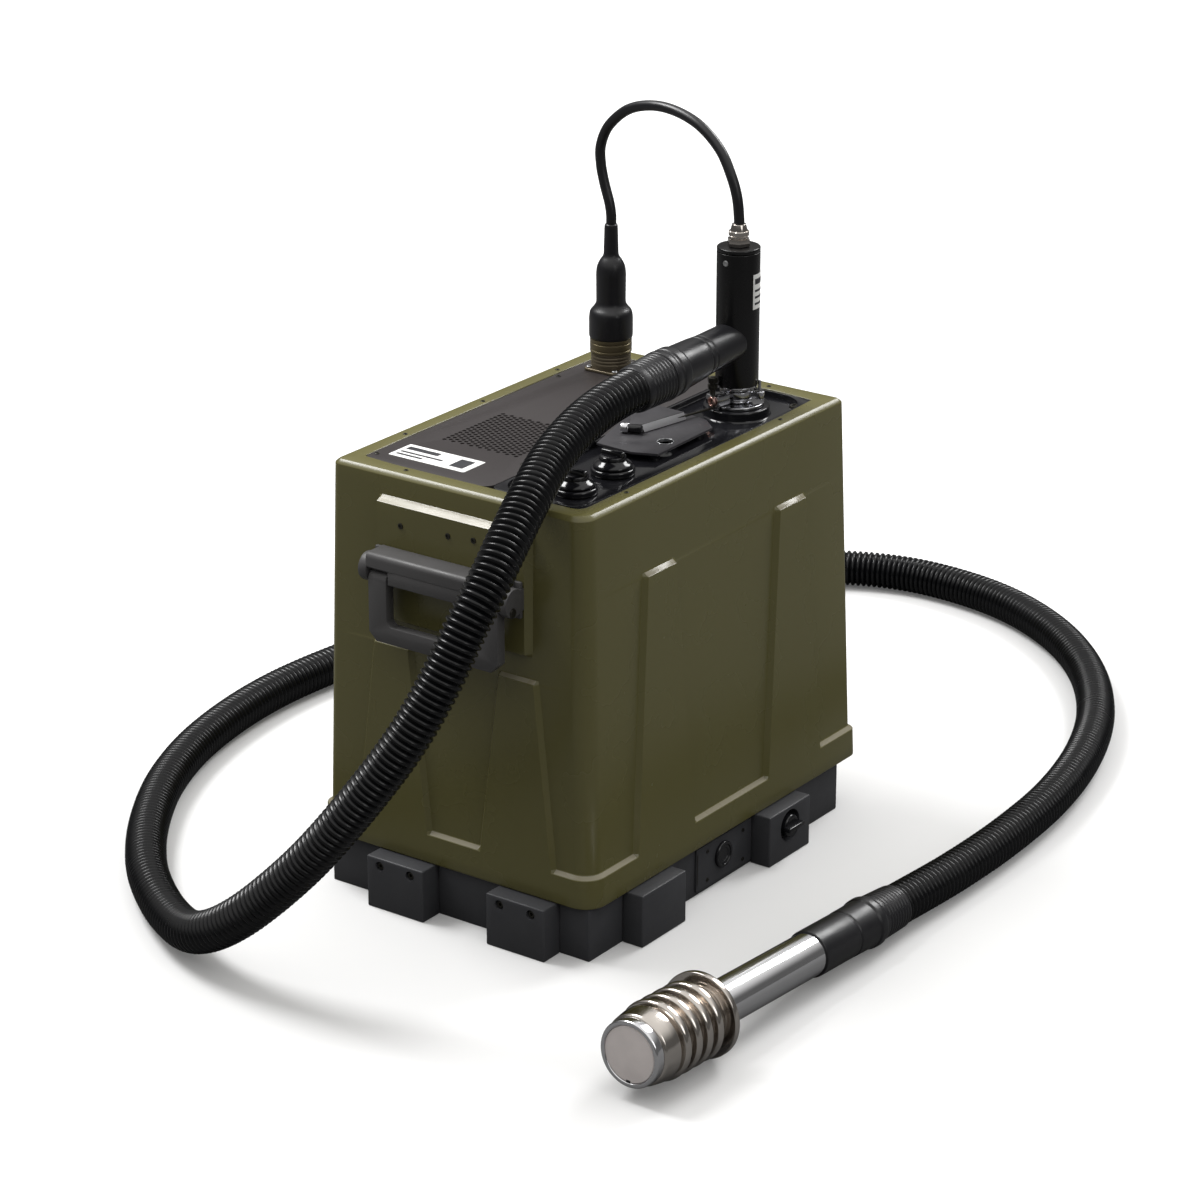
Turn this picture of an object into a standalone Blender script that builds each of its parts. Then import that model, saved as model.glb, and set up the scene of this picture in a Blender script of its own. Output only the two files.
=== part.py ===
"""Mobile mass spectrometer: an olive hooded case on a dark base, with a probe on a sampling hose.

Metres, +Z up. The origin is on the floor under the middle of the hood's top opening. The carrying
handles face -Y and +Y, and the long sides with two ribs each face -X and +X. The hood lifts off the
base; the quadrupole, its getter pump and the electronics stand on a frame inside.
"""
import math

import bmesh
import bpy
from mathutils import Matrix, Vector

# Clearance between pieces that seat on each other
SEAT = 0.0003

# Hood: a tapered moulded cover with a skirt, ribs and handle pads
HOOD_BOTTOM = 0.050
HOOD_TOP = 0.405
WALL_HALF_X_LOW = 0.1455
WALL_HALF_X_TOP = 0.1357
FRONT_WALL_Y_LOW = 0.2060
FRONT_WALL_Y_TOP = 0.2004
REAR_WALL_Y_LOW = 0.2135
REAR_WALL_Y_TOP = 0.2018
WALL_THICKNESS = 0.003
FRONT_CORNER = 0.017
REAR_CORNER = 0.006
HOOD_TOP_EDGE = 0.005
RELIEF = 0.0045
SKIRT_TOP = 0.079
MOULD_EDGE = 0.0030
FRONT_RIB_X = 0.068
FRONT_RIB_TOP = 0.249
FRONT_RIB_TOP_WIDTH = 0.040
FRONT_RIB_LOW_WIDTH = 0.080
SIDE_RIB_Y = (-0.095, 0.110)
SIDE_RIB_TOP = 0.332
SIDE_RIB_TOP_WIDTH = 0.045
SIDE_RIB_LOW_WIDTH = 0.090
PAD_FACE_Y = 0.2095
PAD_TOP = 0.382
PAD_LOW = 0.272
PAD_HALF_WIDTH = 0.081
BOTTOM_REST = 0.0065
BOTTOM_LIP_HEIGHT = 0.006

# Base: a shallow tray with bolted foot blocks
BASE_FRONT_Y = -0.204
BASE_REAR_Y = 0.194
BASE_WIDTH = 0.286
BASE_HEIGHT = HOOD_BOTTOM - SEAT
BASE_WALL = 0.008
BASE_CORNER = 0.004
FOOT_CHAMFER = 0.0015
FRONT_FOOT_DEPTH = 0.024
FRONT_FOOT_WIDTH = 0.063
FRONT_FOOT_X = (-0.0525, 0.0805)
SIDE_FOOT_DEPTH = 0.022
SIDE_FOOT_WIDTH = 0.067
SIDE_FOOT_Y = (-0.1215, 0.0795)
FOOT_SCREW_RADIUS = 0.0045
FOOT_SCREW_DEPTH = 0.004
FOOT_SCREW_INSET = 0.0145
FOOT_SCREW_HEIGHT = 0.042

# Top: the olive rim, the grey panel and the black well
TOP_OPENING_HALF_X = 0.118
TOP_OPENING_HALF_Y = 0.181
TOP_OPENING_CORNER = 0.010
TOP_PLATE = 0.0075
TOP_SINK = 0.0005
LEDGE_WIDTH = 0.008
LEDGE_THICKNESS = 0.006
PANEL_SPLIT_X = 0.0205
WELL_DEPTH = 0.005
WELL_BORDER = 0.0030
WELL_CORNER = 0.030

# Fan grille: staggered six-sided holes over the fan
GRILLE_INSET_X = 0.070
GRILLE_INSET_Y = 0.123
GRILLE_X = GRILLE_INSET_X - TOP_OPENING_HALF_X
GRILLE_Y = GRILLE_INSET_Y - TOP_OPENING_HALF_Y
GRILLE_HALF = 0.040
GRILLE_PITCH = 0.0094
GRILLE_HOLE = 0.0028
FAN_SIZE = 0.080
FAN_DEPTH = 0.025
FAN_BORE = 0.038
FAN_CORNER = 0.004
FAN_BLADES = 7
FAN_HUB_RADIUS = 0.018
FAN_TIP_CLEARANCE = 0.0015
FAN_SHAFT_RADIUS = 0.0025
FAN_HUB_BORE = 0.0155
FAN_BLADE_HALF = 0.0008
FAN_BLADE_ROOT = 0.0015

# Inlet: clamped flange, black column and side branch
COLUMN_INSET_X = 0.046
COLUMN_INSET_Y = 0.060
COLUMN_X = TOP_OPENING_HALF_X - COLUMN_INSET_X
COLUMN_Y = TOP_OPENING_HALF_Y - COLUMN_INSET_Y
COLUMN_RADIUS = 0.0196
COLUMN_LENGTH = 0.1232
CAP_HEIGHT = 0.004
FLANGE_BOSS_RADIUS = 0.0300
FLANGE_BOSS_HEIGHT = 0.0090
FLANGE_BASE_RADIUS = 0.0250
FLANGE_BASE_HEIGHT = 0.0030
FLANGE_RADIUS = 0.0132
FLANGE_NECK_RADIUS = 0.0115
FLANGE_NECK_HEIGHT = 0.0032
FLANGE_DISC = 0.0025
FLANGE_CONE = 0.0015
COLUMN_LIP_RADIUS = 0.0190
COLUMN_LIP_HEIGHT = 0.0022
LIP_EDGE = 0.0005
COLUMN_NECK_HEIGHT = 0.0028
FLANGE_EDGE = 0.0008
VACUUM_BORE = 0.009
PORT_NECK_RADIUS = 0.011
CLAMP_RADIUS = 0.0152
CLAMP_LIP = 0.00035
CLAMP_NECK_GAP = 0.0013
CLAMP_SETBACK = 0.0005

# Clamp pieces, as (out, side) from the column's axis: out runs along the lock rod
LOCK_DIRECTION = Vector((-0.2243, -0.9746)).normalized()
LOCK_SIDE = Vector((-LOCK_DIRECTION.y, LOCK_DIRECTION.x))
LUG_LOW = 0.0003
LUG_SINK = 0.0009
JOIN = 0.001
LUG_HEIGHT = 0.0093
LUG_CORNERS = [
    (0.0288, 0.0055), (0.0200, 0.0060), (0.0124, 0.0060), (0.0124, -0.0060), (0.0190, -0.0115),
    (0.0265, -0.0115), (0.0288, -0.0095),
]
TOE_CORNERS = [(0.0288, 0.0050), (0.0256, 0.0050), (0.0256, -0.0062), (0.0288, -0.0062)]
LUG_BOLT_PLACE = (0.0244, -0.0057)
LUG_BOLT_RADIUS = 0.0026
LUG_BOLT_HEIGHT = 0.0165
LUG_NUT_RADIUS = 0.0047
LUG_NUTS = ((0.0046, 0.0049), (0.0109, 0.0050))
HINGE_CORNERS = [(-0.0120, 0.0040), (-0.0120, -0.0040), (-0.0214, -0.0040), (-0.0214, 0.0040)]
HINGE_TURN = math.radians(-60)
HINGE_SETBACK = 0.001
HINGE_BARREL_OUT = -0.0214
HINGE_BARREL_RADIUS = 0.0045
HINGE_PIN_RADIUS = 0.0014
HINGE_PIN_RISE = 0.0100
BUSH_OUT = 0.0306
BUSH_RISE = 0.0062
BUSH_RADIUS = 0.0047
BUSH_BORE = 0.0028
BUSH_LENGTH = 0.0030
GLAND_RADIUS = 0.009
GLAND_HEIGHT = 0.020
BRANCH_HEIGHT = 0.4705
BRANCH_RADIUS = 0.0140
BRANCH_LENGTH = 0.052
BRANCH_DIRECTION = Vector((-0.0058, -0.2130, -0.0117)).normalized()

# Round connector at the back left of the panel
CONNECTOR_INSET_X = 0.032
CONNECTOR_INSET_Y = 0.034
CONNECTOR_X = CONNECTOR_INSET_X - TOP_OPENING_HALF_X
CONNECTOR_Y = TOP_OPENING_HALF_Y - CONNECTOR_INSET_Y
CONNECTOR_FLANGE = 0.038
CONNECTOR_FLANGE_THICKNESS = 0.0025
CONNECTOR_FLANGE_CORNER = 0.005
CONNECTOR_TAIL = 0.006
SHELL_RADIUS = 0.0173
SHELL_CORE_RADIUS = 0.0155
SHELL_HEIGHT = 0.0155
RING_RADIUS = 0.0184
RING_HEIGHT = 0.0135
RING_GROOVE = 0.0012
BOOT_RADIUS = 0.0204
BOOT_NECK_RADIUS = 0.0139
BOOT_SLEEVE_RADIUS = 0.0062
BOOT_HEIGHT = 0.108
ARCH_CABLE_RADIUS = 0.0048
ARCH_POINT_SPACING = 0.014

# Sampling hose and its moulded end cuffs
HOSE_RADIUS = 0.019
HOSE_SIDES_RESOLUTION = 3
HOSE_POINT_SPACING = 0.065
HOSE_STRAIGHT = 0.012
CUFF_LENGTH = 0.126
CUFF_RIBS = 4
CUFF_RIB_DEPTH = 0.0010
HOSE_ROUTE = [
    (0.0690, -0.060, 0.4620), (0.0703, -0.0985, 0.4575), (0.0755, -0.139, 0.4500), (0.0845, -0.182, 0.4390),
    (0.0965, -0.224, 0.4240), (0.1065, -0.268, 0.3995), (0.1100, -0.299, 0.3740), (0.1065, -0.322, 0.3460),
    (0.0945, -0.349, 0.2950), (0.0735, -0.373, 0.2430), (0.036, -0.396, 0.182), (-0.010, -0.409, 0.124),
    (-0.071, -0.416, 0.066), (-0.128, -0.407, 0.032), (-0.186, -0.378, 0.0212), (-0.249, -0.333, 0.0200),
    (-0.298, -0.284, 0.0200), (-0.342, -0.227, 0.0200), (-0.380, -0.165, 0.0200), (-0.411, -0.094, 0.0200),
    (-0.431, -0.020, 0.0200), (-0.441, 0.055, 0.0200), (-0.440, 0.130, 0.0200), (-0.428, 0.225, 0.0200),
    (-0.405, 0.325, 0.0200), (-0.371, 0.425, 0.0200), (-0.325, 0.520, 0.0200), (-0.262, 0.610, 0.0200),
    (-0.190, 0.677, 0.0200), (-0.111, 0.713, 0.0200), (-0.030, 0.716, 0.0200), (0.050, 0.695, 0.0200),
    (0.130, 0.647, 0.0200), (0.200, 0.577, 0.0200), (0.256, 0.490, 0.0200), (0.294, 0.395, 0.0200),
    (0.317, 0.295, 0.0200), (0.326, 0.195, 0.0200), (0.327, 0.100, 0.0208),
]

# Arch cable from the connector to the gland on the column
ARCH_ROUTE = [
    (-0.0885, 0.1475, 0.564), (-0.0945, 0.1485, 0.580), (-0.0990, 0.149, 0.598), (-0.0990, 0.149, 0.616),
    (-0.089, 0.148, 0.636), (-0.065, 0.144, 0.655), (-0.035, 0.139, 0.664), (-0.005, 0.134, 0.664),
    (0.024, 0.129, 0.656), (0.048, 0.125, 0.639), (0.062, 0.122, 0.619), (0.0695, 0.121, 0.600),
]

# Probe lying on the floor, from the hose joint to the membrane face
PROBE_START = Vector((0.3239, 0.0020, 0.0240))
PROBE_DIRECTION = Vector((-0.0083, -0.3470, 0.0166)).normalized()
PROBE_SLEEVE_END = 0.042
PROBE_CUFF_END = 0.134
PROBE_TUBE_RADIUS = 0.0196
PROBE_TUBE_END = 0.287
PROBE_TUBE_OVERLAP = 0.032
MEMBRANE_SEAT = 0.0025
MEMBRANE_SINK = 0.0006
PROBE_COLLAR_RADIUS = 0.0378
PROBE_COLLAR_THICKNESS = 0.006
PROBE_HEAD_CORE = 0.027
PROBE_RIB_RADIUS = 0.035
PROBE_RIB_STARTS = (0.304, 0.319, 0.334, 0.349)
PROBE_RIB_WIDTH = 0.008
PROBE_HEAD_END = 0.380
PROBE_FACE_END = 0.3895
PROBE_RIM_RADIUS = 0.0292
MEMBRANE_RADIUS = 0.0245

# Carrying handles: fixed bracket, swinging bail and hinge pin
HANDLE_AXIS_Y = 0.2265
HANDLE_AXIS_Z = 0.318
BRACKET_HALF_WIDTH = 0.072
BRACKET_FRONT_Y = 0.235
BRACKET_BAR_LOW = 0.3275
BRACKET_TOP = 0.342
BRACKET_PLATE = 0.004
BRACKET_EDGE = 0.005
PLATE_HALF_WIDTH = 0.0785
FLAP_LOW = 0.3165
FLAP_THICKNESS = 0.005
FLAP_CLEARANCE = 0.0015
FLAP_OVERLAP = 0.0020
PLATE_DROP = 0.010
WEB_SETBACK = 0.003
EAR_INNER_X = 0.0710
EAR_OUTER_X = 0.0800
EAR_RADIUS = 0.0130
EAR_Y = 0.2232
EAR_Z = 0.3255
BAIL_HALF_WIDTH = 0.0700
BAIL_ARM = 0.0200
BAIL_THICKNESS = 0.011
BAIL_LOW = 0.262
BAIL_BAR = 0.016
BAIL_CHAMFER = 0.008
BAIL_ARM_TOP = 0.0013
BAIL_WINDOW_CORNER = 0.006
BAIL_KNUCKLE_RADIUS = 0.0083
HANDLE_PIN_RADIUS = 0.0025

# Lock on the inlet clamp, two calibration ports and the cover plate between them.
# Places on the plate are measured from the column's axis.
LOCK_PLATE = 0.0025
LOCK_PLATE_CORNERS = [
    (-0.041, -0.159), (-0.002, -0.161), (0.020, -0.152), (0.018, -0.065), (0.002, -0.051),
    (-0.020, -0.047), (-0.056, -0.053), (-0.063, -0.079),
]
LOCK_PLATE_HOLE = (0.006, -0.121)
LOCK_PLATE_HOLE_RADIUS = 0.0075
LOCK_BOSSES = [(-0.032, -0.149), (0.010, -0.143), (0.008, -0.073)]
LOCK_BOSS_RADIUS = 0.005
GUIDE_CORNERS = [
    (-0.0216, -0.1132), (-0.0116, -0.0623), (-0.0515, -0.0600), (-0.0560, -0.0850), (-0.0350, -0.1173),
]
GUIDE_SLOPE = 0.0040
GUIDE_HEIGHT = 0.0068
GUIDE_BORE_ENDS = (0.0550, 0.0920)
ROD_NEAR_OUT = 0.0780
ROD_FAR_OUT = 0.0292
ROD_RADIUS = 0.0011
ROD_RISE = 0.0032
ROD_TIP_RADIUS = 0.0009
ROD_TIP_LENGTH = 0.0025
ROD_TIP_EDGE = 0.0005
ROD_HOLE_LENGTH = 0.0085
LATCH_PLACE = (-0.0389, -0.1227)
LATCH_DIRECTION = Vector((0.955, 0.296, 0.0))
LATCH_RISE = 0.0045
LATCH_KNOB_RADIUS = 0.0040
LATCH_KNOB_LENGTH = 0.0062
LATCH_BARREL_RADIUS = 0.0034
LATCH_BARREL_LENGTH = 0.0120
LATCH_EDGE = 0.0013
PORT_INSETS = ((0.0390, 0.0455), (0.0415, 0.1040))
PORT_RADIUS = 0.0195
PORT_SOCKET_HEIGHT = 0.006
PORT_CAP_RADIUS = 0.0175
PORT_CAP_HEIGHT = 0.0145

# Services on the right side of the base
SERVICE_PLATE_Y = (-0.043, 0.045)
SERVICE_PLATE_Z = (0.004, 0.046)
SERVICE_PLATE_THICKNESS = 0.002
SERVICE_PORT_PLACE = (-0.002, 0.028)
SERVICE_PORT_RADIUS = 0.0125
POWER_PLACE = (0.0795, 0.031)
POWER_RECESS_RADIUS = 0.0155
POWER_RECESS_DEPTH = 0.010

# Inside: frame, vacuum chamber, pump and electronics
FRAME_CLEARANCE_X = 0.0177
FRAME_CLEARANCE_Y = 0.0204
FRAME_HALF_X = WALL_HALF_X_TOP - FRAME_CLEARANCE_X
FRAME_HALF_Y = FRONT_WALL_Y_TOP - FRAME_CLEARANCE_Y
FRAME_POST = 0.012
FRAME_TOP = 0.374
FRAME_SHELF = 0.200
SHELF_THICKNESS = 0.004
CHAMBER_RADIUS = 0.034
CHAMBER_WALL = 0.004
CHAMBER_TOP = 0.385
CHAMBER_LOW = 0.214
CHAMBER_COVER_RADIUS = 0.039
SHELF_HOLE_RADIUS = 0.030
PUMP_PORT_HEIGHT = 0.075
PUMP_PORT_RADIUS = 0.0160
PUMP_PORT_BORE = 0.0115
ROD_CIRCLE = 0.0105
QUAD_ROD_RADIUS = 0.0058
PUMP_SIZE = (0.070, 0.084, 0.110)
PUMP_BEHIND_COLUMN = 0.097
PUMP_SHIFT = 0.004
SUPPLY_SIZE = (0.105, 0.310, 0.080)
SUPPLY_GAP = 0.011
GENERATOR_SIZE = (0.080, 0.225, 0.110)
GENERATOR_GAP = 0.010
FIN_DEPTH = 0.014
FIN_PITCH = 0.036
FIN_COUNT = 6
BOARD_SIZE = (0.0016, 0.160, 0.120)
BOARD_GAP = 0.006
CHIP_HEIGHT = 0.0029
CHIPS = ((0.19, 0.25, 0.19, 0.25), (0.50, 0.58, 0.25, 0.17), (0.75, 0.21, 0.12, 0.29))
FILTER_HOLDER_RADIUS = 0.0255
FILTER_HOLDER_HEIGHT = 0.008
FILTER_LENGTH = 0.124
UPPER_HOLDER_DROP = 0.006
SOURCE_RADIUS = 0.018
SOURCE_BORE = 0.004
SOURCE_HEIGHT = 0.030

TURN_STEPS = 20
SMALL_TURN_STEPS = 16
HEAD_TURN_STEPS = 24
PIN_STEPS = 12

PI = math.pi


# Collections, finishes and the basic ways of making a piece

def new_collection(name):
    group = bpy.data.collections.new(name)
    bpy.context.scene.collection.children.link(group)
    return group


for old in list(bpy.data.objects):
    bpy.data.objects.remove(old)

PIECES = new_collection("mass_spectrometer")
CUTTERS = new_collection("cutters")


def finish(name, colour, roughness, metallic=0.0):
    made = bpy.data.materials.new(name)
    made.use_nodes = True
    shader = made.node_tree.nodes["Principled BSDF"]
    shader.inputs["Base Color"].default_value = (*colour, 1.0)
    shader.inputs["Roughness"].default_value = roughness
    shader.inputs["Metallic"].default_value = metallic
    made.diffuse_color = (*colour, 1.0)
    return made


OLIVE = finish("olive_paint", (0.088, 0.078, 0.030), 0.45)
PANEL_GREY = finish("panel_grey", (0.085, 0.078, 0.078), 0.50)
WELL_BLACK = finish("gloss_black", (0.012, 0.012, 0.014), 0.18)
BASE_DARK = finish("base_anodised", (0.028, 0.031, 0.038), 0.50)
HANDLE_CHARCOAL = finish("handle_charcoal", (0.058, 0.057, 0.060), 0.55)
RUBBER = finish("black_rubber", (0.020, 0.020, 0.022), 0.55)
HOSE_BLACK = finish("hose_black", (0.017, 0.018, 0.020), 0.35)
CHROME = finish("polished_steel", (0.75, 0.75, 0.76), 0.10, 1.0)
NICKEL = finish("nickel", (0.62, 0.58, 0.53), 0.22, 1.0)
STEEL = finish("stainless_steel", (0.55, 0.56, 0.57), 0.35, 1.0)
OLIVE_METAL = finish("olive_cadmium", (0.20, 0.18, 0.11), 0.40, 0.8)
COPPER = finish("copper_bush", (0.72, 0.42, 0.33), 0.25, 1.0)
MEMBRANE = finish("membrane", (0.42, 0.36, 0.34), 0.70)
CERAMIC = finish("ceramic", (0.80, 0.78, 0.74), 0.50)
BOARD_GREEN = finish("circuit_board", (0.02, 0.12, 0.05), 0.50)
CASE_GREY = finish("module_grey", (0.30, 0.31, 0.32), 0.45, 0.6)


def add_piece(name, mesh, surface, group=PIECES):
    piece = bpy.data.objects.new(name, mesh)
    group.objects.link(piece)
    if surface is not None:
        mesh.materials.append(surface)
    return piece


def as_cutter(piece):
    """Moves a helper solid to the cutters, so that it only shapes other pieces."""
    for group in list(piece.users_collection):
        group.objects.unlink(piece)
    CUTTERS.objects.link(piece)
    piece.hide_render = True
    piece.display_type = "WIRE"
    return piece


def boolean(piece, other, operation):
    step = piece.modifiers.new(f"{operation.lower()}_{other.name}"[:60], "BOOLEAN")
    step.operation = operation
    step.object = other
    as_cutter(other)


def cut(piece, *others):
    for other in others:
        boolean(piece, other, "DIFFERENCE")


def join(piece, *others):
    for other in others:
        boolean(piece, other, "UNION")


def smooth(piece, angle=math.radians(35)):
    piece.data.shade_smooth()
    piece.data.set_sharp_from_angle(angle=angle)


def block(name, low, high, surface=None, edge=0.0, chosen=None, segments=1):
    """A box between two corners; chosen(edge) picks the edges to round off."""
    low, high = Vector(low), Vector(high)
    bm = bmesh.new()
    bmesh.ops.create_cube(bm, size=1.0)
    bmesh.ops.scale(bm, vec=high - low, verts=bm.verts)
    if edge:
        edges = [e for e in bm.edges if chosen is None or chosen(e)]
        bmesh.ops.bevel(bm, geom=edges, offset=edge, segments=segments, profile=0.5, affect="EDGES")
    mesh = bpy.data.meshes.new(name)
    bm.to_mesh(mesh)
    bm.free()
    piece = add_piece(name, mesh, surface)
    piece.location = (low + high) / 2
    return piece


def along(axis):
    """Picks a box's edges that run along one axis."""
    return lambda e: abs((e.verts[0].co - e.verts[1].co).normalized()[axis]) > 0.99


def rod(name, radius, length, centre, direction=(0, 0, 1), surface=None, sides=TURN_STEPS):
    """A plain cylinder about its centre, along any direction."""
    bm = bmesh.new()
    bmesh.ops.create_cone(bm, cap_ends=True, segments=sides, radius1=radius, radius2=radius, depth=length)
    mesh = bpy.data.meshes.new(name)
    bm.to_mesh(mesh)
    bm.free()
    piece = add_piece(name, mesh, surface)
    piece.location = centre
    piece.rotation_mode = "QUATERNION"
    piece.rotation_quaternion = Vector(direction).to_track_quat("Z", "Y")
    smooth(piece)
    return piece


def turned(name, profile, surface, place=(0, 0, 0), closed=False, steps=TURN_STEPS):
    """A turned piece: profile is (radius, height), down the outer side from top to bottom."""
    points = [(radius, 0.0, height) for radius, height in profile]
    edges = [(i, i + 1) for i in range(len(points) - 1)]
    if closed:
        edges.append((len(points) - 1, 0))
    mesh = bpy.data.meshes.new(name)
    mesh.from_pydata(points, edges, [])
    piece = add_piece(name, mesh, surface)
    piece.location = place
    screw = piece.modifiers.new("turn", "SCREW")
    screw.steps = steps
    screw.render_steps = steps
    screw.use_merge_vertices = True
    screw.merge_threshold = 0.00001
    screw.use_smooth_shade = False
    return piece


def from_column(place):
    """A place on the top that is measured from the column's axis."""
    return COLUMN_X + place[0], COLUMN_Y + place[1]


def ring_points(x, y, radius, sides, start=0.0):
    turns = [start + 2 * PI * i / sides for i in range(sides)]
    return [(x + radius * math.cos(turn), y + radius * math.sin(turn)) for turn in turns]


def rounded_outline(low_x, low_y, high_x, high_y, radius, segments=4):
    """Corner points of a rectangle with rounded corners, anticlockwise."""
    points = []
    corners = [(high_x - radius, high_y - radius, 0), (low_x + radius, high_y - radius, 1),
               (low_x + radius, low_y + radius, 2), (high_x - radius, low_y + radius, 3)]
    for x, y, quarter in corners:
        for i in range(segments + 1):
            turn = (quarter + i / segments) * PI / 2
            points.append((x + radius * math.cos(turn), y + radius * math.sin(turn)))
    return points


def sheet(name, outlines, low, high, surface=None):
    """A flat plate between two heights from closed outlines; inner outlines are holes."""
    curve = bpy.data.curves.new(name, "CURVE")
    curve.dimensions = "2D"
    curve.fill_mode = "BOTH"
    curve.extrude = (high - low) / 2
    for outline in outlines:
        spline = curve.splines.new("POLY")
        spline.points.add(len(outline) - 1)
        for point, (x, y) in zip(spline.points, outline):
            point.co = (x, y, 0.0, 1.0)
        spline.use_cyclic_u = True
    piece = add_piece(name, curve, surface)
    piece.location = (0.0, 0.0, (low + high) / 2)
    return piece


def solid_sheet(name, outlines, low, high, surface=None):
    """The same plate as a mesh, so that it can be cut, joined or used as a cutter."""
    flat = sheet(name, outlines, low, high)
    bpy.context.view_layer.update()
    evaluated = flat.evaluated_get(bpy.context.evaluated_depsgraph_get())
    mesh = bpy.data.meshes.new_from_object(evaluated)
    placed = flat.matrix_world.copy()
    bpy.data.objects.remove(flat)
    bm = bmesh.new()
    bm.from_mesh(mesh)
    bmesh.ops.remove_doubles(bm, verts=bm.verts, dist=0.00001)
    bm.to_mesh(mesh)
    bm.free()
    mesh.materials.clear()
    piece = add_piece(name, mesh, surface)
    piece.matrix_world = placed
    return piece


def smooth_route(route, spacing):
    """Points at an even spacing along a smooth curve through the route's own points."""
    knots = [Vector(p) for p in route]
    before = knots[0] * 2 - knots[1]
    after = knots[-1] * 2 - knots[-2]
    chain = [before, *knots, after]
    fine = []
    for p0, p1, p2, p3 in zip(chain, chain[1:], chain[2:], chain[3:]):
        for i in range(16):
            t = i / 16
            fine.append(0.5 * (2 * p1 + (p2 - p0) * t + (2 * p0 - 5 * p1 + 4 * p2 - p3) * t * t
                               + (3 * p1 - p0 - 3 * p2 + p3) * t ** 3))
    fine.append(knots[-1])
    total = sum((b - a).length for a, b in zip(fine, fine[1:]))
    count = max(2, round(total / spacing))
    step = total / count
    points = [fine[0]]
    travelled = 0.0
    for a, b in zip(fine, fine[1:]):
        run = (b - a).length
        while len(points) < count and travelled + run >= step * len(points):
            points.append(a.lerp(b, (step * len(points) - travelled) / run))
        travelled += run
    points.append(fine[-1])
    return points


def tube(name, points, radius, surface, resolution):
    curve = bpy.data.curves.new(name, "CURVE")
    curve.dimensions = "3D"
    curve.bevel_depth = radius
    curve.bevel_resolution = resolution
    curve.use_fill_caps = True
    spline = curve.splines.new("POLY")
    spline.points.add(len(points) - 1)
    for point, place in zip(spline.points, points):
        point.co = (*place, 1.0)
    return add_piece(name, curve, surface)


# Hood

def wall_half(low, top, height):
    """Half width of the tapered wall at a height."""
    share = (height - HOOD_BOTTOM) / (HOOD_TOP - HOOD_BOTTOM)
    return low + (top - low) * share


def wall_x(height):
    return wall_half(WALL_HALF_X_LOW, WALL_HALF_X_TOP, height)


def front_wall(height):
    return wall_half(FRONT_WALL_Y_LOW, FRONT_WALL_Y_TOP, height)


def rear_wall(height):
    return wall_half(REAR_WALL_Y_LOW, REAR_WALL_Y_TOP, height)


def tapered_body(name, low, high, grow, top_edge):
    """A box that follows the hood's taper, grown sideways, with tight corners at the rear."""
    bm = bmesh.new()
    bmesh.ops.create_cube(bm, size=2.0)
    for vert in bm.verts:
        height = high if vert.co.z > 0 else low
        end = rear_wall(height) + grow if vert.co.y > 0 else -front_wall(height) - grow
        vert.co = (math.copysign(wall_x(height) + grow, vert.co.x), end, height)
    for side, corner, segments in ((-1, FRONT_CORNER, 5), (1, REAR_CORNER, 3)):
        standing = [e for e in bm.edges if abs(e.verts[0].co.z - e.verts[1].co.z) > (high - low) / 2
                    and side * e.verts[0].co.y > wall_x(low) / 2
                    and abs(e.verts[0].co.x) > wall_x(high) + grow - 0.001]
        bmesh.ops.bevel(bm, geom=standing, offset=max(corner + grow, 0.001), segments=segments, profile=0.5,
                        affect="EDGES")
    if top_edge:
        rim = [e for e in bm.edges if min(e.verts[0].co.z, e.verts[1].co.z) > high - 0.0001]
        bmesh.ops.bevel(bm, geom=rim, offset=top_edge, segments=2, profile=0.5, affect="EDGES")
    mesh = bpy.data.meshes.new(name)
    bm.to_mesh(mesh)
    bm.free()
    return add_piece(name, mesh, OLIVE)


def raised_field(name, middle, low_width, top_width, low, top, face, wall, side):
    """A rib or pad: a trapezoid standing on one wall, with soft outer edges.

    face(height) and wall(height) are its outer face's and the wall's distance from the centre;
    side is the wall's outward axis.
    """
    outward = Vector(side)
    across = Vector((0, 0, 1)).cross(outward)
    bm = bmesh.new()
    bmesh.ops.create_cube(bm, size=2.0)
    for vert in bm.verts:
        upper = vert.co.z > 0
        height = top if upper else low
        width = top_width if upper else low_width
        depth = face(height) if vert.co.y > 0 else wall(height) - WALL_THICKNESS / 2
        shift = middle + math.copysign(width / 2, vert.co.x)
        vert.co = across * shift + outward * depth + Vector((0, 0, height))
    bmesh.ops.recalc_face_normals(bm, faces=bm.faces)
    outer = [v for v in bm.verts if v.co.dot(outward) > face(v.co.z) - 0.0001]
    edges = [e for e in bm.edges if e.verts[0] in outer and e.verts[1] in outer
             and max(v.co.z for v in e.verts) > top - 0.001]
    if low > SKIRT_TOP:
        edges = [e for e in bm.edges if e.verts[0] in outer and e.verts[1] in outer]
    bmesh.ops.bevel(bm, geom=edges, offset=MOULD_EDGE, segments=2, profile=0.5, affect="EDGES")
    mesh = bpy.data.meshes.new(name)
    bm.to_mesh(mesh)
    bm.free()
    return add_piece(name, mesh, OLIVE)


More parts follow.
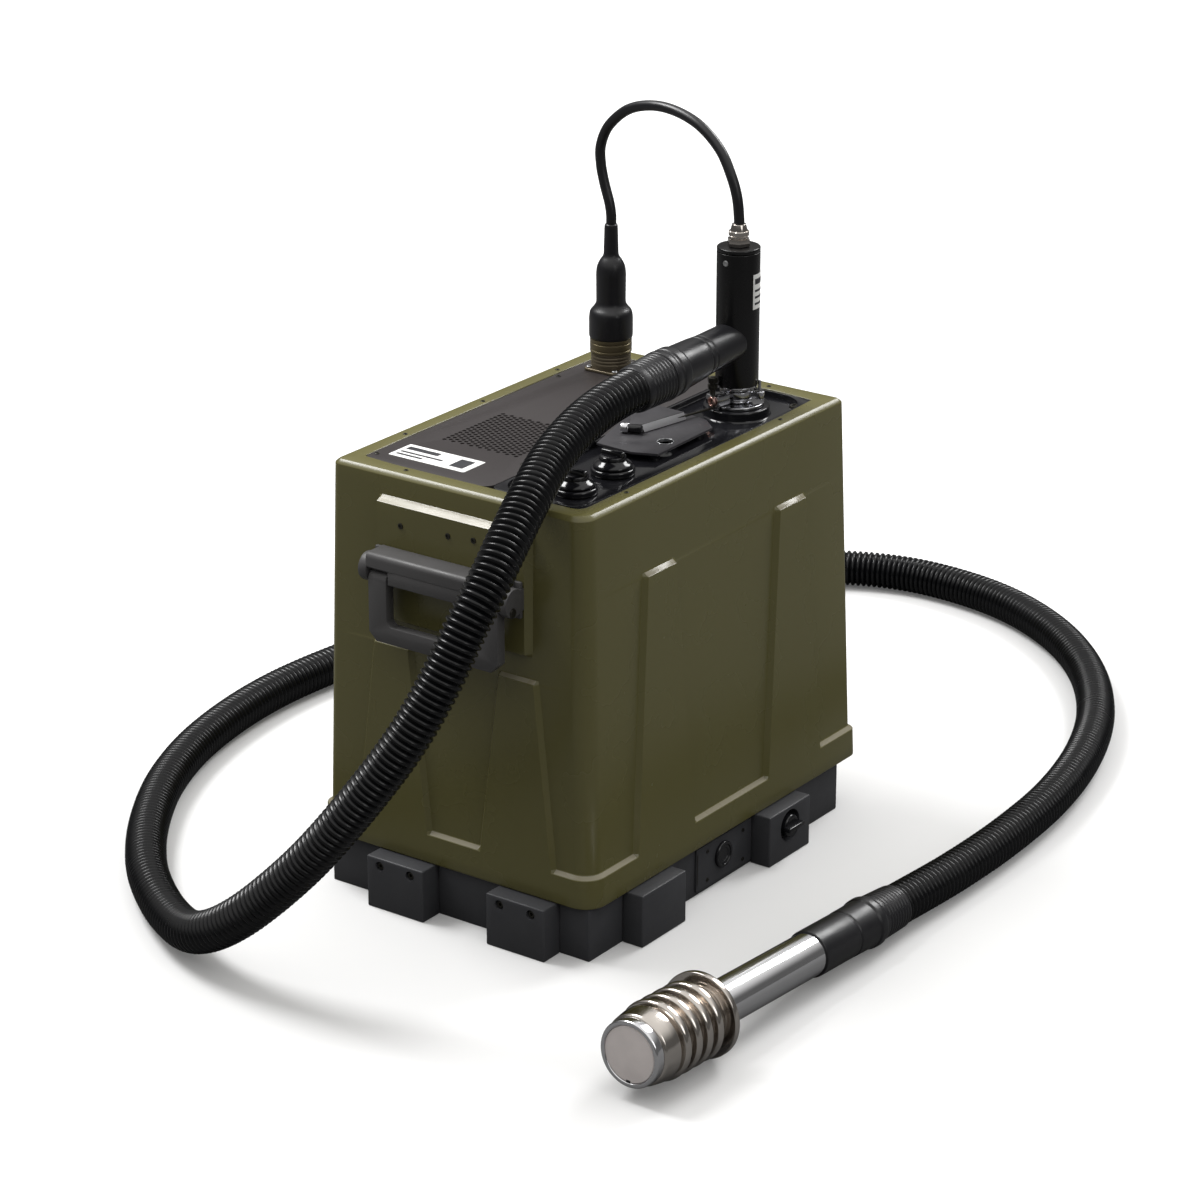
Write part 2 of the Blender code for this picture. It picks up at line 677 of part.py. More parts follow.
def make_hood():
    hood = tapered_body("hood", HOOD_BOTTOM, HOOD_TOP, 0.0, HOOD_TOP_EDGE)
    join(hood, tapered_body("skirt", HOOD_BOTTOM, SKIRT_TOP, RELIEF, MOULD_EDGE))
    rib_low = SKIRT_TOP - 0.004
    for sign, wall in ((-1, front_wall), (1, rear_wall)):
        for shift in (-FRONT_RIB_X, FRONT_RIB_X):
            join(hood, raised_field(f"end_rib_{sign}_{shift}", shift, FRONT_RIB_LOW_WIDTH,
                                    FRONT_RIB_TOP_WIDTH, rib_low, FRONT_RIB_TOP,
                                    lambda z: wall(z) + RELIEF - 0.0001, wall, (0, sign, 0)))
        for place in SIDE_RIB_Y:
            join(hood, raised_field(f"side_rib_{sign}_{place}", place * sign, SIDE_RIB_LOW_WIDTH,
                                    SIDE_RIB_TOP_WIDTH, rib_low, SIDE_RIB_TOP,
                                    lambda z: wall_x(z) + RELIEF - 0.0001, wall_x, (sign, 0, 0)))
        join(hood, raised_field(f"handle_pad_{sign}", 0.0, 2 * PAD_HALF_WIDTH, 2 * PAD_HALF_WIDTH,
                                PAD_LOW, PAD_TOP, lambda z: PAD_FACE_Y, wall, (0, sign, 0)))
    ledge_top = HOOD_TOP - TOP_SINK - TOP_PLATE - SEAT
    inside = tapered_body("hood_inside", HOOD_BOTTOM + BOTTOM_LIP_HEIGHT, ledge_top - LEDGE_THICKNESS,
                          -WALL_THICKNESS, 0.0)
    mouth_x = BASE_WIDTH / 2 - BOTTOM_REST
    mouth = block("hood_mouth", (-mouth_x, BASE_FRONT_Y + BOTTOM_REST, HOOD_BOTTOM - 0.01),
                  (mouth_x, BASE_REAR_Y - BOTTOM_REST, HOOD_BOTTOM + 0.02))
    through_x = TOP_OPENING_HALF_X - LEDGE_WIDTH
    through_y = TOP_OPENING_HALF_Y - LEDGE_WIDTH
    through = block("hood_through", (-through_x, -through_y, ledge_top - 0.02),
                    (through_x, through_y, HOOD_TOP + 0.01))
    rebate = solid_sheet("hood_rebate", [rounded_outline(-TOP_OPENING_HALF_X, -TOP_OPENING_HALF_Y,
                                                         TOP_OPENING_HALF_X, TOP_OPENING_HALF_Y,
                                                         TOP_OPENING_CORNER)],
                         ledge_top, HOOD_TOP + 0.012)
    cut(hood, inside, mouth, through, rebate)


# Base and feet

def make_base():
    half_x = BASE_WIDTH / 2
    base = block("base_tray", (-half_x, BASE_FRONT_Y, 0.0), (half_x, BASE_REAR_Y, BASE_HEIGHT), BASE_DARK,
                 BASE_CORNER, along(2), 2)
    cut(base, block("base_inside", (BASE_WALL - half_x, BASE_FRONT_Y + BASE_WALL, BASE_WALL),
                    (half_x - BASE_WALL, BASE_REAR_Y - BASE_WALL, BASE_HEIGHT + 0.01)))


def make_foot(name, low, high):
    return block(name, low, high, BASE_DARK, FOOT_CHAMFER)


def make_feet():
    """Two foot blocks on each of the four sides, bolted to the tray's walls."""
    half_x = BASE_WIDTH / 2
    for end, sign, wall in (("front", -1, BASE_FRONT_Y), ("rear", 1, BASE_REAR_Y)):
        for side, middle in zip(("left", "right"), FRONT_FOOT_X):
            outer = wall + sign * FRONT_FOOT_DEPTH
            ys = sorted((wall + sign * SEAT, outer))
            foot = make_foot(f"{end}_foot_{side}", (middle - FRONT_FOOT_WIDTH / 2, ys[0], 0.0),
                             (middle + FRONT_FOOT_WIDTH / 2, ys[1], BASE_HEIGHT))
            for shift in (-1, 1):
                x = middle + shift * (FRONT_FOOT_WIDTH / 2 - FOOT_SCREW_INSET)
                cut(foot, rod(f"{foot.name}_bore_{shift}", FOOT_SCREW_RADIUS, 2 * FOOT_SCREW_DEPTH,
                              (x, outer, FOOT_SCREW_HEIGHT), (0, 1, 0), sides=PIN_STEPS))
    for side, sign in (("left", -1), ("right", 1)):
        for end, middle in zip(("front", "rear"), SIDE_FOOT_Y):
            xs = sorted((sign * (half_x + SEAT), sign * (half_x + SIDE_FOOT_DEPTH)))
            foot = make_foot(f"{side}_foot_{end}", (xs[0], middle - SIDE_FOOT_WIDTH / 2, 0.0),
                             (xs[1], middle + SIDE_FOOT_WIDTH / 2, BASE_HEIGHT))
            if (side, end) == ("right", "rear"):
                cut(foot, rod("power_recess", POWER_RECESS_RADIUS, 2 * POWER_RECESS_DEPTH,
                              (half_x + SIDE_FOOT_DEPTH, *POWER_PLACE), (1, 0, 0)))


# Top plates

TOP_FACE = HOOD_TOP - TOP_SINK
PLATE_LOW = TOP_FACE - TOP_PLATE
WELL_FLOOR = TOP_FACE - WELL_DEPTH
BOSS_TOP = WELL_FLOOR + FLANGE_BOSS_HEIGHT
EDGE_X = TOP_OPENING_HALF_X - TOP_SINK
EDGE_Y = TOP_OPENING_HALF_Y - TOP_SINK


def grille_holes():
    """Six-sided holes in staggered rows, turned 30 degrees to the panel."""
    holes = []
    row_step = GRILLE_PITCH * math.sqrt(3) / 2
    rows = int(GRILLE_HALF / row_step)
    for row in range(-rows, rows + 1):
        shift = GRILLE_PITCH / 2 if row % 2 else 0.0
        columns = int((GRILLE_HALF - shift) / GRILLE_PITCH)
        for column in range(-columns - (1 if shift else 0), columns + 1):
            y = GRILLE_Y + column * GRILLE_PITCH + shift
            x = GRILLE_X + row * row_step
            holes.append(ring_points(x, y, GRILLE_HOLE, 6, PI / 6))
    return holes


def make_top_panel():
    outline = rounded_outline(-EDGE_X, -EDGE_Y, PANEL_SPLIT_X - SEAT, EDGE_Y, TOP_OPENING_CORNER, 3)
    connector_hole = ring_points(CONNECTOR_X, CONNECTOR_Y, SHELL_CORE_RADIUS + SEAT, SMALL_TURN_STEPS)
    sheet("top_panel", [outline, connector_hole, *grille_holes()], PLATE_LOW, TOP_FACE, PANEL_GREY)


def make_well():
    outline = rounded_outline(PANEL_SPLIT_X + SEAT, -EDGE_Y, EDGE_X, EDGE_Y, TOP_OPENING_CORNER, 3)
    well = solid_sheet("well_tray", [outline], PLATE_LOW, TOP_FACE, WELL_BLACK)
    pocket = rounded_outline(PANEL_SPLIT_X + WELL_BORDER, WELL_BORDER - EDGE_Y,
                             EDGE_X - WELL_BORDER, EDGE_Y - WELL_BORDER, WELL_CORNER, 5)
    bosses = [ring_points(*from_column(place), LOCK_BOSS_RADIUS, PIN_STEPS) for place in LOCK_BOSSES]
    cut(well, solid_sheet("well_pocket", [pocket, *bosses], WELL_FLOOR, TOP_FACE + 0.01))
    boss_low = WELL_FLOOR - 0.001
    join(well, rod("flange_boss", FLANGE_BOSS_RADIUS, BOSS_TOP - boss_low,
                   (COLUMN_X, COLUMN_Y, (BOSS_TOP + boss_low) / 2), sides=HEAD_TURN_STEPS))
    cut(well, rod("well_bore", PORT_NECK_RADIUS + SEAT, 0.04, (COLUMN_X, COLUMN_Y, PLATE_LOW)))


# Inlet column with its clamped flange

BASE_FLANGE_TOP = BOSS_TOP + SEAT + FLANGE_BASE_HEIGHT
FLANGE_CONE_LOW = BASE_FLANGE_TOP + FLANGE_NECK_HEIGHT
FLANGE_TOP = FLANGE_CONE_LOW + FLANGE_CONE + FLANGE_DISC
UPPER_FLANGE = FLANGE_TOP + SEAT
UPPER_CONE_TOP = UPPER_FLANGE + FLANGE_DISC + FLANGE_CONE
CLAMP_LOW = FLANGE_CONE_LOW + CLAMP_SETBACK
CLAMP_HIGH = UPPER_CONE_TOP - CLAMP_SETBACK
LIP_LOW = UPPER_CONE_TOP + COLUMN_NECK_HEIGHT
LIP_TOP = LIP_LOW + COLUMN_LIP_HEIGHT
COLUMN_LOW = LIP_TOP + SEAT
COLUMN_TOP = COLUMN_LOW + COLUMN_LENGTH
CAP_TOP = COLUMN_TOP + SEAT + CAP_HEIGHT
GLAND_TOP = CAP_TOP + SEAT + GLAND_HEIGHT


def make_inlet():
    place = (COLUMN_X, COLUMN_Y, 0.0)
    neck_low = CHAMBER_TOP + SEAT
    turned("inlet_flange", [
        (FLANGE_RADIUS, FLANGE_TOP), (FLANGE_RADIUS, FLANGE_TOP - FLANGE_DISC),
        (FLANGE_NECK_RADIUS, FLANGE_CONE_LOW), (FLANGE_NECK_RADIUS, BASE_FLANGE_TOP),
        (FLANGE_BASE_RADIUS - FLANGE_EDGE, BASE_FLANGE_TOP),
        (FLANGE_BASE_RADIUS, BASE_FLANGE_TOP - FLANGE_EDGE),
        (FLANGE_BASE_RADIUS, BOSS_TOP + SEAT), (PORT_NECK_RADIUS, BOSS_TOP + SEAT),
        (PORT_NECK_RADIUS, neck_low), (VACUUM_BORE, neck_low), (VACUUM_BORE, FLANGE_TOP)],
        CHROME, place, closed=True, steps=HEAD_TURN_STEPS)
    turned("column_flange", [
        (COLUMN_LIP_RADIUS - LIP_EDGE, LIP_TOP), (COLUMN_LIP_RADIUS, LIP_TOP - LIP_EDGE),
        (COLUMN_LIP_RADIUS, LIP_LOW + FLANGE_EDGE), (FLANGE_NECK_RADIUS, LIP_LOW),
        (FLANGE_NECK_RADIUS, UPPER_CONE_TOP), (FLANGE_RADIUS, UPPER_FLANGE + FLANGE_DISC),
        (FLANGE_RADIUS, UPPER_FLANGE), (VACUUM_BORE, UPPER_FLANGE), (VACUUM_BORE, LIP_TOP)],
        CHROME, place, closed=True)
    column = turned("inlet_column", [
        (0.0, COLUMN_TOP), (COLUMN_RADIUS, COLUMN_TOP), (COLUMN_RADIUS, COLUMN_LOW), (0.0, COLUMN_LOW)],
        WELL_BLACK, place)
    branch_centre = Vector((COLUMN_X, COLUMN_Y, BRANCH_HEIGHT)) + BRANCH_DIRECTION * BRANCH_LENGTH / 2
    join(column, rod("branch", BRANCH_RADIUS, BRANCH_LENGTH, branch_centre, BRANCH_DIRECTION))
    turned("column_cap", [
        (0.0, CAP_TOP), (COLUMN_RADIUS - 0.001, CAP_TOP), (COLUMN_RADIUS, CAP_TOP - 0.001),
        (COLUMN_RADIUS, COLUMN_TOP + SEAT), (0.0, COLUMN_TOP + SEAT)], WELL_BLACK, place)
    low = CAP_TOP + SEAT
    bore = ARCH_CABLE_RADIUS + SEAT
    turned("cable_gland", [
        (0.0062, GLAND_TOP), (0.0075, GLAND_TOP - 0.003), (0.0085, GLAND_TOP - 0.009), (0.0085, low + 0.0095),
        (0.0070, low + 0.0090), (0.0070, low + 0.0075), (GLAND_RADIUS + 0.0008, low + 0.0070),
        (GLAND_RADIUS + 0.0008, low + 0.0015), (GLAND_RADIUS, low), (0.0, low), (0.0, GLAND_TOP - 0.008),
        (bore, GLAND_TOP - 0.008), (bore, GLAND_TOP)], CHROME, place, steps=PIN_STEPS, closed=True)


def clamp_place(out, side, turn=0.0):
    """Plan place on the clamp from (out, side), with the clamp turned about the column."""
    flat = Matrix.Rotation(turn, 2) @ (LOCK_DIRECTION * out + LOCK_SIDE * side)
    return COLUMN_X + flat.x, COLUMN_Y + flat.y


def clamp_plate(name, corners, low, high, turn=0.0):
    """A flat lug that ends inside the clamp ring's own wall."""
    plate = solid_sheet(name, [[clamp_place(*corner, turn) for corner in corners]], low, high)
    cut(plate, rod(f"{name}_saddle", CLAMP_RADIUS - LUG_SINK, 0.04, (COLUMN_X, COLUMN_Y, (low + high) / 2),
                   sides=HEAD_TURN_STEPS))
    return plate


def upright(name, radius, low, high, place):
    return rod(name, radius, high - low, (*place, (low + high) / 2), sides=PIN_STEPS)


def make_clamp():
    """The clamp ring over both flanges, with its bolted lug, its hinge and a copper bush."""
    groove, mouth = FLANGE_RADIUS + CLAMP_LIP, FLANGE_NECK_RADIUS + CLAMP_NECK_GAP
    clamp = turned("flange_clamp", [
        (CLAMP_RADIUS, CLAMP_HIGH), (CLAMP_RADIUS, CLAMP_LOW), (mouth, CLAMP_LOW),
        (groove, FLANGE_TOP - FLANGE_DISC - CLAMP_LIP), (groove, UPPER_FLANGE + FLANGE_DISC + CLAMP_LIP),
        (mouth, CLAMP_HIGH)], CHROME, (COLUMN_X, COLUMN_Y, 0.0), closed=True, steps=HEAD_TURN_STEPS)
    low = BASE_FLANGE_TOP + LUG_LOW
    top = low + LUG_HEIGHT
    join(clamp, clamp_plate("lug", LUG_CORNERS, low, top),
         clamp_plate("lug_toe", TOE_CORNERS, BOSS_TOP + SEAT, low + JOIN))
    bolt = clamp_place(*LUG_BOLT_PLACE)
    join(clamp, upright("lug_bolt", LUG_BOLT_RADIUS, top - JOIN, top + LUG_BOLT_HEIGHT, bolt))
    for number, (rise, height) in enumerate(LUG_NUTS):
        join(clamp, upright(f"lug_nut_{number}", LUG_NUT_RADIUS, top + rise, top + rise + height, bolt))
    barrel = clamp_place(HINGE_BARREL_OUT, 0.0, HINGE_TURN)
    join(clamp, clamp_plate("hinge_lug", HINGE_CORNERS, CLAMP_LOW + HINGE_SETBACK, CLAMP_HIGH - HINGE_SETBACK,
                            HINGE_TURN),
         upright("hinge_barrel", HINGE_BARREL_RADIUS, CLAMP_LOW + 0.2 * HINGE_SETBACK,
                 CLAMP_HIGH - 0.2 * HINGE_SETBACK, barrel),
         upright("hinge_pin", HINGE_PIN_RADIUS, CLAMP_HIGH - 2 * JOIN, CLAMP_HIGH + HINGE_PIN_RISE, barrel))
    height = LOCK_TOP + ROD_RISE
    outward = Vector((LOCK_DIRECTION.x, LOCK_DIRECTION.y, 0.0))
    toe = clamp_place(TOE_CORNERS[0][0], 0.0)
    cut(clamp, rod("rod_hole", ROD_TIP_RADIUS + SEAT, ROD_HOLE_LENGTH, (*toe, height), outward,
                   sides=PIN_STEPS))
    bush_place = (*clamp_place(BUSH_OUT, 0.0), height + BUSH_RISE)
    bush = rod("clamp_bush", BUSH_RADIUS, BUSH_LENGTH, bush_place, outward, COPPER, SMALL_TURN_STEPS)
    cut(bush, rod("bush_bore", BUSH_BORE, 2 * BUSH_LENGTH, bush.location, outward, sides=PIN_STEPS))


# Lock plate, guide and sliding rod

LOCK_LOW = TOP_FACE + SEAT
LOCK_TOP = LOCK_LOW + LOCK_PLATE


def make_lock():
    outline = [from_column(corner) for corner in LOCK_PLATE_CORNERS]
    hole = ring_points(*from_column(LOCK_PLATE_HOLE), LOCK_PLATE_HOLE_RADIUS, PIN_STEPS)
    sheet("lock_plate", [outline, hole], LOCK_LOW, LOCK_TOP, PANEL_GREY)
    outward = Vector((LOCK_DIRECTION.x, LOCK_DIRECTION.y, 0.0))
    low = LOCK_TOP + SEAT
    corners = [from_column(corner) for corner in GUIDE_CORNERS]
    guide = solid_sheet("rod_guide", [corners], low, low + GUIDE_HEIGHT, PANEL_GREY)
    a, b = (Vector(corner) for corner in corners[:2])
    edge = (b - a).normalized()
    sideways = Vector((edge.y, -edge.x))
    for vert in guide.data.vertices:
        flat = Vector((vert.co.x, vert.co.y))
        if vert.co.z > 0 and abs((flat - a).dot(sideways)) < 0.001:
            vert.co.x -= sideways.x * GUIDE_SLOPE
            vert.co.y -= sideways.y * GUIDE_SLOPE
    height = LOCK_TOP + ROD_RISE
    bore_far, bore_near = GUIDE_BORE_ENDS
    cut(guide, rod("guide_bore", ROD_RADIUS + SEAT, bore_near - bore_far,
                   (*clamp_place((bore_far + bore_near) / 2, 0.0), height), outward, sides=PIN_STEPS))
    length = ROD_NEAR_OUT - ROD_FAR_OUT
    lock_rod = turned("lock_rod", [
        (0.0, length + ROD_TIP_LENGTH), (ROD_TIP_RADIUS, length + ROD_TIP_LENGTH), (ROD_TIP_RADIUS, length),
        (ROD_RADIUS, length - ROD_TIP_EDGE), (ROD_RADIUS, 0.0), (0.0, 0.0)], STEEL, steps=PIN_STEPS)
    lock_rod.location = (*clamp_place(ROD_NEAR_OUT, 0.0), height)
    lock_rod.rotation_mode = "QUATERNION"
    lock_rod.rotation_quaternion = (-outward).to_track_quat("Z", "Y")
    length = LATCH_KNOB_LENGTH + LATCH_BARREL_LENGTH
    latch = turned("stop_stud", [
        (0.0, length), (LATCH_BARREL_RADIUS, length), (LATCH_BARREL_RADIUS, LATCH_KNOB_LENGTH),
        (LATCH_KNOB_RADIUS - LATCH_EDGE, LATCH_KNOB_LENGTH),
        (LATCH_KNOB_RADIUS, LATCH_KNOB_LENGTH - LATCH_EDGE),
        (LATCH_KNOB_RADIUS, LATCH_EDGE), (LATCH_KNOB_RADIUS - LATCH_EDGE, 0.0), (0.0, 0.0)], CHROME,
        steps=PIN_STEPS)
    latch.location = (*from_column(LATCH_PLACE), LOCK_TOP + LATCH_RISE)
    latch.rotation_mode = "QUATERNION"
    latch.rotation_quaternion = LATCH_DIRECTION.to_track_quat("Z", "Y")


# Calibration ports: a socket and a quarter-turn cap with a grip bar

def make_ports():
    for number, (inset_x, inset_y) in enumerate(PORT_INSETS, start=1):
        x, y = TOP_OPENING_HALF_X - inset_x, inset_y - TOP_OPENING_HALF_Y
        low = WELL_FLOOR + SEAT
        top = low + PORT_SOCKET_HEIGHT
        turned(f"port_socket_{number}", [
            (PORT_CAP_RADIUS - 0.004, top), (PORT_RADIUS - 0.0015, top), (PORT_RADIUS, top - 0.0015),
            (PORT_RADIUS, low), (0.0, low), (0.0, top - 0.003), (PORT_CAP_RADIUS - 0.004, top - 0.003)],
            WELL_BLACK, (x, y, 0.0), closed=True, steps=SMALL_TURN_STEPS)
        cap_low = top + SEAT
        cap_top = cap_low + PORT_CAP_HEIGHT
        cap = turned(f"port_cap_{number}", [
            (0.0, cap_top - 0.004), (0.0105, cap_top - 0.004), (0.0125, cap_top - 0.0052),
            (0.0130, cap_low + 0.0050), (0.0165, cap_low + 0.0040), (PORT_CAP_RADIUS, cap_low + 0.0030),
            (PORT_CAP_RADIUS, cap_low), (0.0, cap_low)], WELL_BLACK, (x, y, 0.0), steps=SMALL_TURN_STEPS)
        bar = block(f"grip_{number}", (-0.0115, -0.0028, -0.0065), (0.0115, 0.0028, 0.0), edge=0.001)
        bar.location = (x, y, cap_top - 0.00325)
        join(cap, bar)


# Connector, boot and arch cable

BOOT_LOW = TOP_FACE + SEAT + CONNECTOR_FLANGE_THICKNESS + SHELL_HEIGHT + RING_HEIGHT


def make_connector():
    low = TOP_FACE + SEAT
    half = CONNECTOR_FLANGE / 2
    flange_top = low + CONNECTOR_FLANGE_THICKNESS
    outline = rounded_outline(CONNECTOR_X - half, CONNECTOR_Y - half, CONNECTOR_X + half, CONNECTOR_Y + half,
                              CONNECTOR_FLANGE_CORNER, 3)
    receptacle = solid_sheet("receptacle", [outline], low, flange_top, OLIVE_METAL)
    shell_top = flange_top + SHELL_HEIGHT
    place = (CONNECTOR_X, CONNECTOR_Y, 0.0)
    shell = turned("shell", [
        (0.0, BOOT_LOW - SEAT), (SHELL_CORE_RADIUS, BOOT_LOW - SEAT), (SHELL_CORE_RADIUS, shell_top - 0.0005),
        (SHELL_RADIUS, shell_top - 0.0005), (SHELL_RADIUS, flange_top - 0.001),
        (SHELL_CORE_RADIUS, flange_top - 0.001), (SHELL_CORE_RADIUS, PLATE_LOW - CONNECTOR_TAIL),
        (0.0, PLATE_LOW - CONNECTOR_TAIL)], None, place)
    join(receptacle, shell)
    bore = SHELL_CORE_RADIUS + SEAT
    turned("coupling_ring", [
        (RING_RADIUS - 0.001, BOOT_LOW - SEAT), (RING_RADIUS, BOOT_LOW - 0.0015),
        (RING_RADIUS, BOOT_LOW - 0.0045), (RING_RADIUS - RING_GROOVE, BOOT_LOW - 0.0052),
        (RING_RADIUS - RING_GROOVE, BOOT_LOW - 0.0062), (RING_RADIUS, BOOT_LOW - 0.0069),
        (RING_RADIUS, shell_top + 0.001), (RING_RADIUS - 0.001, shell_top),
        (bore, shell_top), (bore, BOOT_LOW - SEAT)], OLIVE_METAL, place, closed=True)
    z = BOOT_LOW
    turned("connector_boot", [
        (0.0, z + BOOT_HEIGHT), (BOOT_SLEEVE_RADIUS - 0.0006, z + BOOT_HEIGHT),
        (BOOT_SLEEVE_RADIUS, z + BOOT_HEIGHT - 0.002), (BOOT_SLEEVE_RADIUS + 0.0008, z + 0.078),
        (0.0105, z + 0.0735), (BOOT_NECK_RADIUS - 0.0008, z + 0.0680), (BOOT_NECK_RADIUS, z + 0.0620),
        (BOOT_NECK_RADIUS - 0.0002, z + 0.0330), (0.0160, z + 0.0290), (BOOT_RADIUS - 0.0010, z + 0.0255),
        (BOOT_RADIUS, z + 0.0200), (BOOT_RADIUS, z + 0.0010), (BOOT_RADIUS - 0.0010, z), (0.0, z)],
        RUBBER, place)
    boot_top = Vector((CONNECTOR_X, CONNECTOR_Y, z + BOOT_HEIGHT + SEAT))
    gland_top = Vector((COLUMN_X, COLUMN_Y, GLAND_TOP))
    up = Vector((0.0, 0.0, 1.0))
    bent = smooth_route([boot_top + up * 0.007, *ARCH_ROUTE, gland_top + up * 0.004], ARCH_POINT_SPACING)
    tube("arch_cable", [boot_top, *bent, gland_top - up * 0.006], ARCH_CABLE_RADIUS, RUBBER, 2)


# Hose, cuffs and probe

def soft_ribs(start, radius_start, end, radius_end, count, depth):
    """Profile points of shallow moulded ribs between two heights, top first."""
    points = []
    for i in range(count):
        for part, sink in ((0.10, 0.0), (0.60, 0.0), (0.80, depth)):
            share = (i + part) / count
            points.append((radius_start + (radius_end - radius_start) * share - sink,
                           start + (end - start) * share))
    return points


def make_column_cuff():
    """The moulded cuff over the column's branch, cut to the column's round."""
    aim = bpy.data.objects.new("column_cuff_axis", None)
    PIECES.objects.link(aim)
    aim.location = (COLUMN_X, COLUMN_Y, BRANCH_HEIGHT)
    aim.rotation_mode = "QUATERNION"
    aim.rotation_quaternion = (-BRANCH_DIRECTION).to_track_quat("Z", "Y")
    bore = BRANCH_RADIUS + SEAT
    floor = -(BRANCH_LENGTH + SEAT)
    cuff = turned("column_cuff", [
        (bore, -0.008), (0.0178, -0.008), (0.0183, -0.0375), (0.0178, -0.0380), (0.0178, -0.0395),
        (0.0187, -0.0400), (0.0189, -0.0435), (0.0183, -0.0440), (0.0183, -0.0455), (0.0193, -0.0460),
        (0.0206, -0.0740), (0.0222, -0.0760), (0.0224, -0.0830), (0.0214, -0.0840), (0.0216, -0.0860),
        (0.0228, -0.0890), (0.0226, -0.0930),
        *soft_ribs(-0.0935, 0.0222, -0.1225, 0.0204, CUFF_RIBS, CUFF_RIB_DEPTH),
        (0.0204, -0.1235), (0.0198, -CUFF_LENGTH), (0.0, -CUFF_LENGTH), (0.0, floor), (bore, floor)],
        RUBBER, closed=True)
    cuff.parent = aim
    cut(cuff, rod("cuff_saddle", COLUMN_RADIUS + SEAT, 0.12, (COLUMN_X, COLUMN_Y, BRANCH_HEIGHT), sides=48))


def make_hose():
    start = Vector((COLUMN_X, COLUMN_Y, BRANCH_HEIGHT)) + BRANCH_DIRECTION * (CUFF_LENGTH + SEAT)
    end = PROBE_START - PROBE_DIRECTION * SEAT
    first, last = start + BRANCH_DIRECTION * HOSE_STRAIGHT, end - PROBE_DIRECTION * HOSE_STRAIGHT
    bent = smooth_route([first, *HOSE_ROUTE, last], HOSE_POINT_SPACING)
    tube("sampling_hose", [start, *bent, end], HOSE_RADIUS, HOSE_BLACK, HOSE_SIDES_RESOLUTION)


def make_probe():
    aim = bpy.data.objects.new("probe_axis", None)
    PIECES.objects.link(aim)
    aim.location = PROBE_START
    aim.rotation_mode = "QUATERNION"
    aim.rotation_quaternion = PROBE_DIRECTION.to_track_quat("Z", "Y")
    tube_low = PROBE_CUFF_END - PROBE_TUBE_OVERLAP
    bore = PROBE_TUBE_RADIUS + SEAT
    cuff = turned("probe_cuff", [
        (0.0, tube_low), (bore, tube_low), (bore, PROBE_CUFF_END), (0.0208, PROBE_CUFF_END),
        (0.0212, PROBE_CUFF_END - 0.001), (0.0212, 0.0830), (0.0206, 0.0820), (0.0206, 0.0805),
        (0.0214, 0.0795), (0.0218, 0.0520), (0.0232, 0.0505), (0.0234, PROBE_SLEEVE_END + 0.001),
        (0.0222, PROBE_SLEEVE_END), (0.0216, 0.0400),
        *soft_ribs(0.0390, 0.0216, 0.0045, 0.0204, CUFF_RIBS, CUFF_RIB_DEPTH), (0.0204, 0.0030),
        (0.0198, 0.0), (0.0, 0.0)], RUBBER)
    tube_end = PROBE_TUBE_END
    probe_tube = turned("probe_tube", [
        (0.0, tube_end), (PROBE_TUBE_RADIUS, tube_end), (PROBE_TUBE_RADIUS, tube_low + SEAT),
        (0.0, tube_low + SEAT)], CHROME)
    collar_low = tube_end + SEAT
    collar_high = collar_low + PROBE_COLLAR_THICKNESS
    collar = turned("probe_collar", [
        (0.0, collar_high), (PROBE_COLLAR_RADIUS - 0.0008, collar_high),
        (PROBE_COLLAR_RADIUS, collar_high - 0.0008), (PROBE_COLLAR_RADIUS, collar_low + 0.0008),
        (PROBE_COLLAR_RADIUS - 0.0008, collar_low), (0.0, collar_low)], NICKEL, steps=HEAD_TURN_STEPS)
    head_low = collar_high + SEAT
    profile = [(0.0, PROBE_HEAD_END), (0.0292, PROBE_HEAD_END), (0.0310, PROBE_HEAD_END - 0.002),
               (0.0325, PROBE_HEAD_END - 0.012), (0.0330, PROBE_HEAD_END - 0.018),
               (PROBE_HEAD_CORE, PROBE_HEAD_END - 0.021)]
    for start in reversed(PROBE_RIB_STARTS):
        end = start + PROBE_RIB_WIDTH
        profile += [(PROBE_HEAD_CORE, end + 0.0005), (PROBE_RIB_RADIUS - 0.0015, end),
                    (PROBE_RIB_RADIUS, end - 0.0022), (PROBE_RIB_RADIUS, start + 0.0022),
                    (PROBE_RIB_RADIUS - 0.0015, start), (PROBE_HEAD_CORE, start - 0.0005)]
    profile += [(PROBE_HEAD_CORE, head_low), (0.0, head_low)]
    head = turned("probe_head", profile, NICKEL, steps=HEAD_TURN_STEPS)
    rim_low = PROBE_HEAD_END + SEAT
    seat = PROBE_FACE_END - MEMBRANE_SEAT
    rim = turned("probe_rim", [
        (MEMBRANE_RADIUS + SEAT, PROBE_FACE_END), (PROBE_RIM_RADIUS - 0.0010, PROBE_FACE_END),
        (PROBE_RIM_RADIUS, PROBE_FACE_END - 0.0015), (PROBE_RIM_RADIUS, rim_low), (0.0, rim_low),
        (0.0, seat), (MEMBRANE_RADIUS + SEAT, seat)], CHROME, closed=True, steps=HEAD_TURN_STEPS)
    disc = turned("membrane_disc", [
        (0.0, PROBE_FACE_END - MEMBRANE_SINK), (MEMBRANE_RADIUS, PROBE_FACE_END - MEMBRANE_SINK),
        (MEMBRANE_RADIUS, seat + SEAT), (0.0, seat + SEAT)], MEMBRANE, steps=HEAD_TURN_STEPS)
    for piece in (cuff, probe_tube, collar, head, rim, disc):
        piece.parent = aim


# Carrying handles

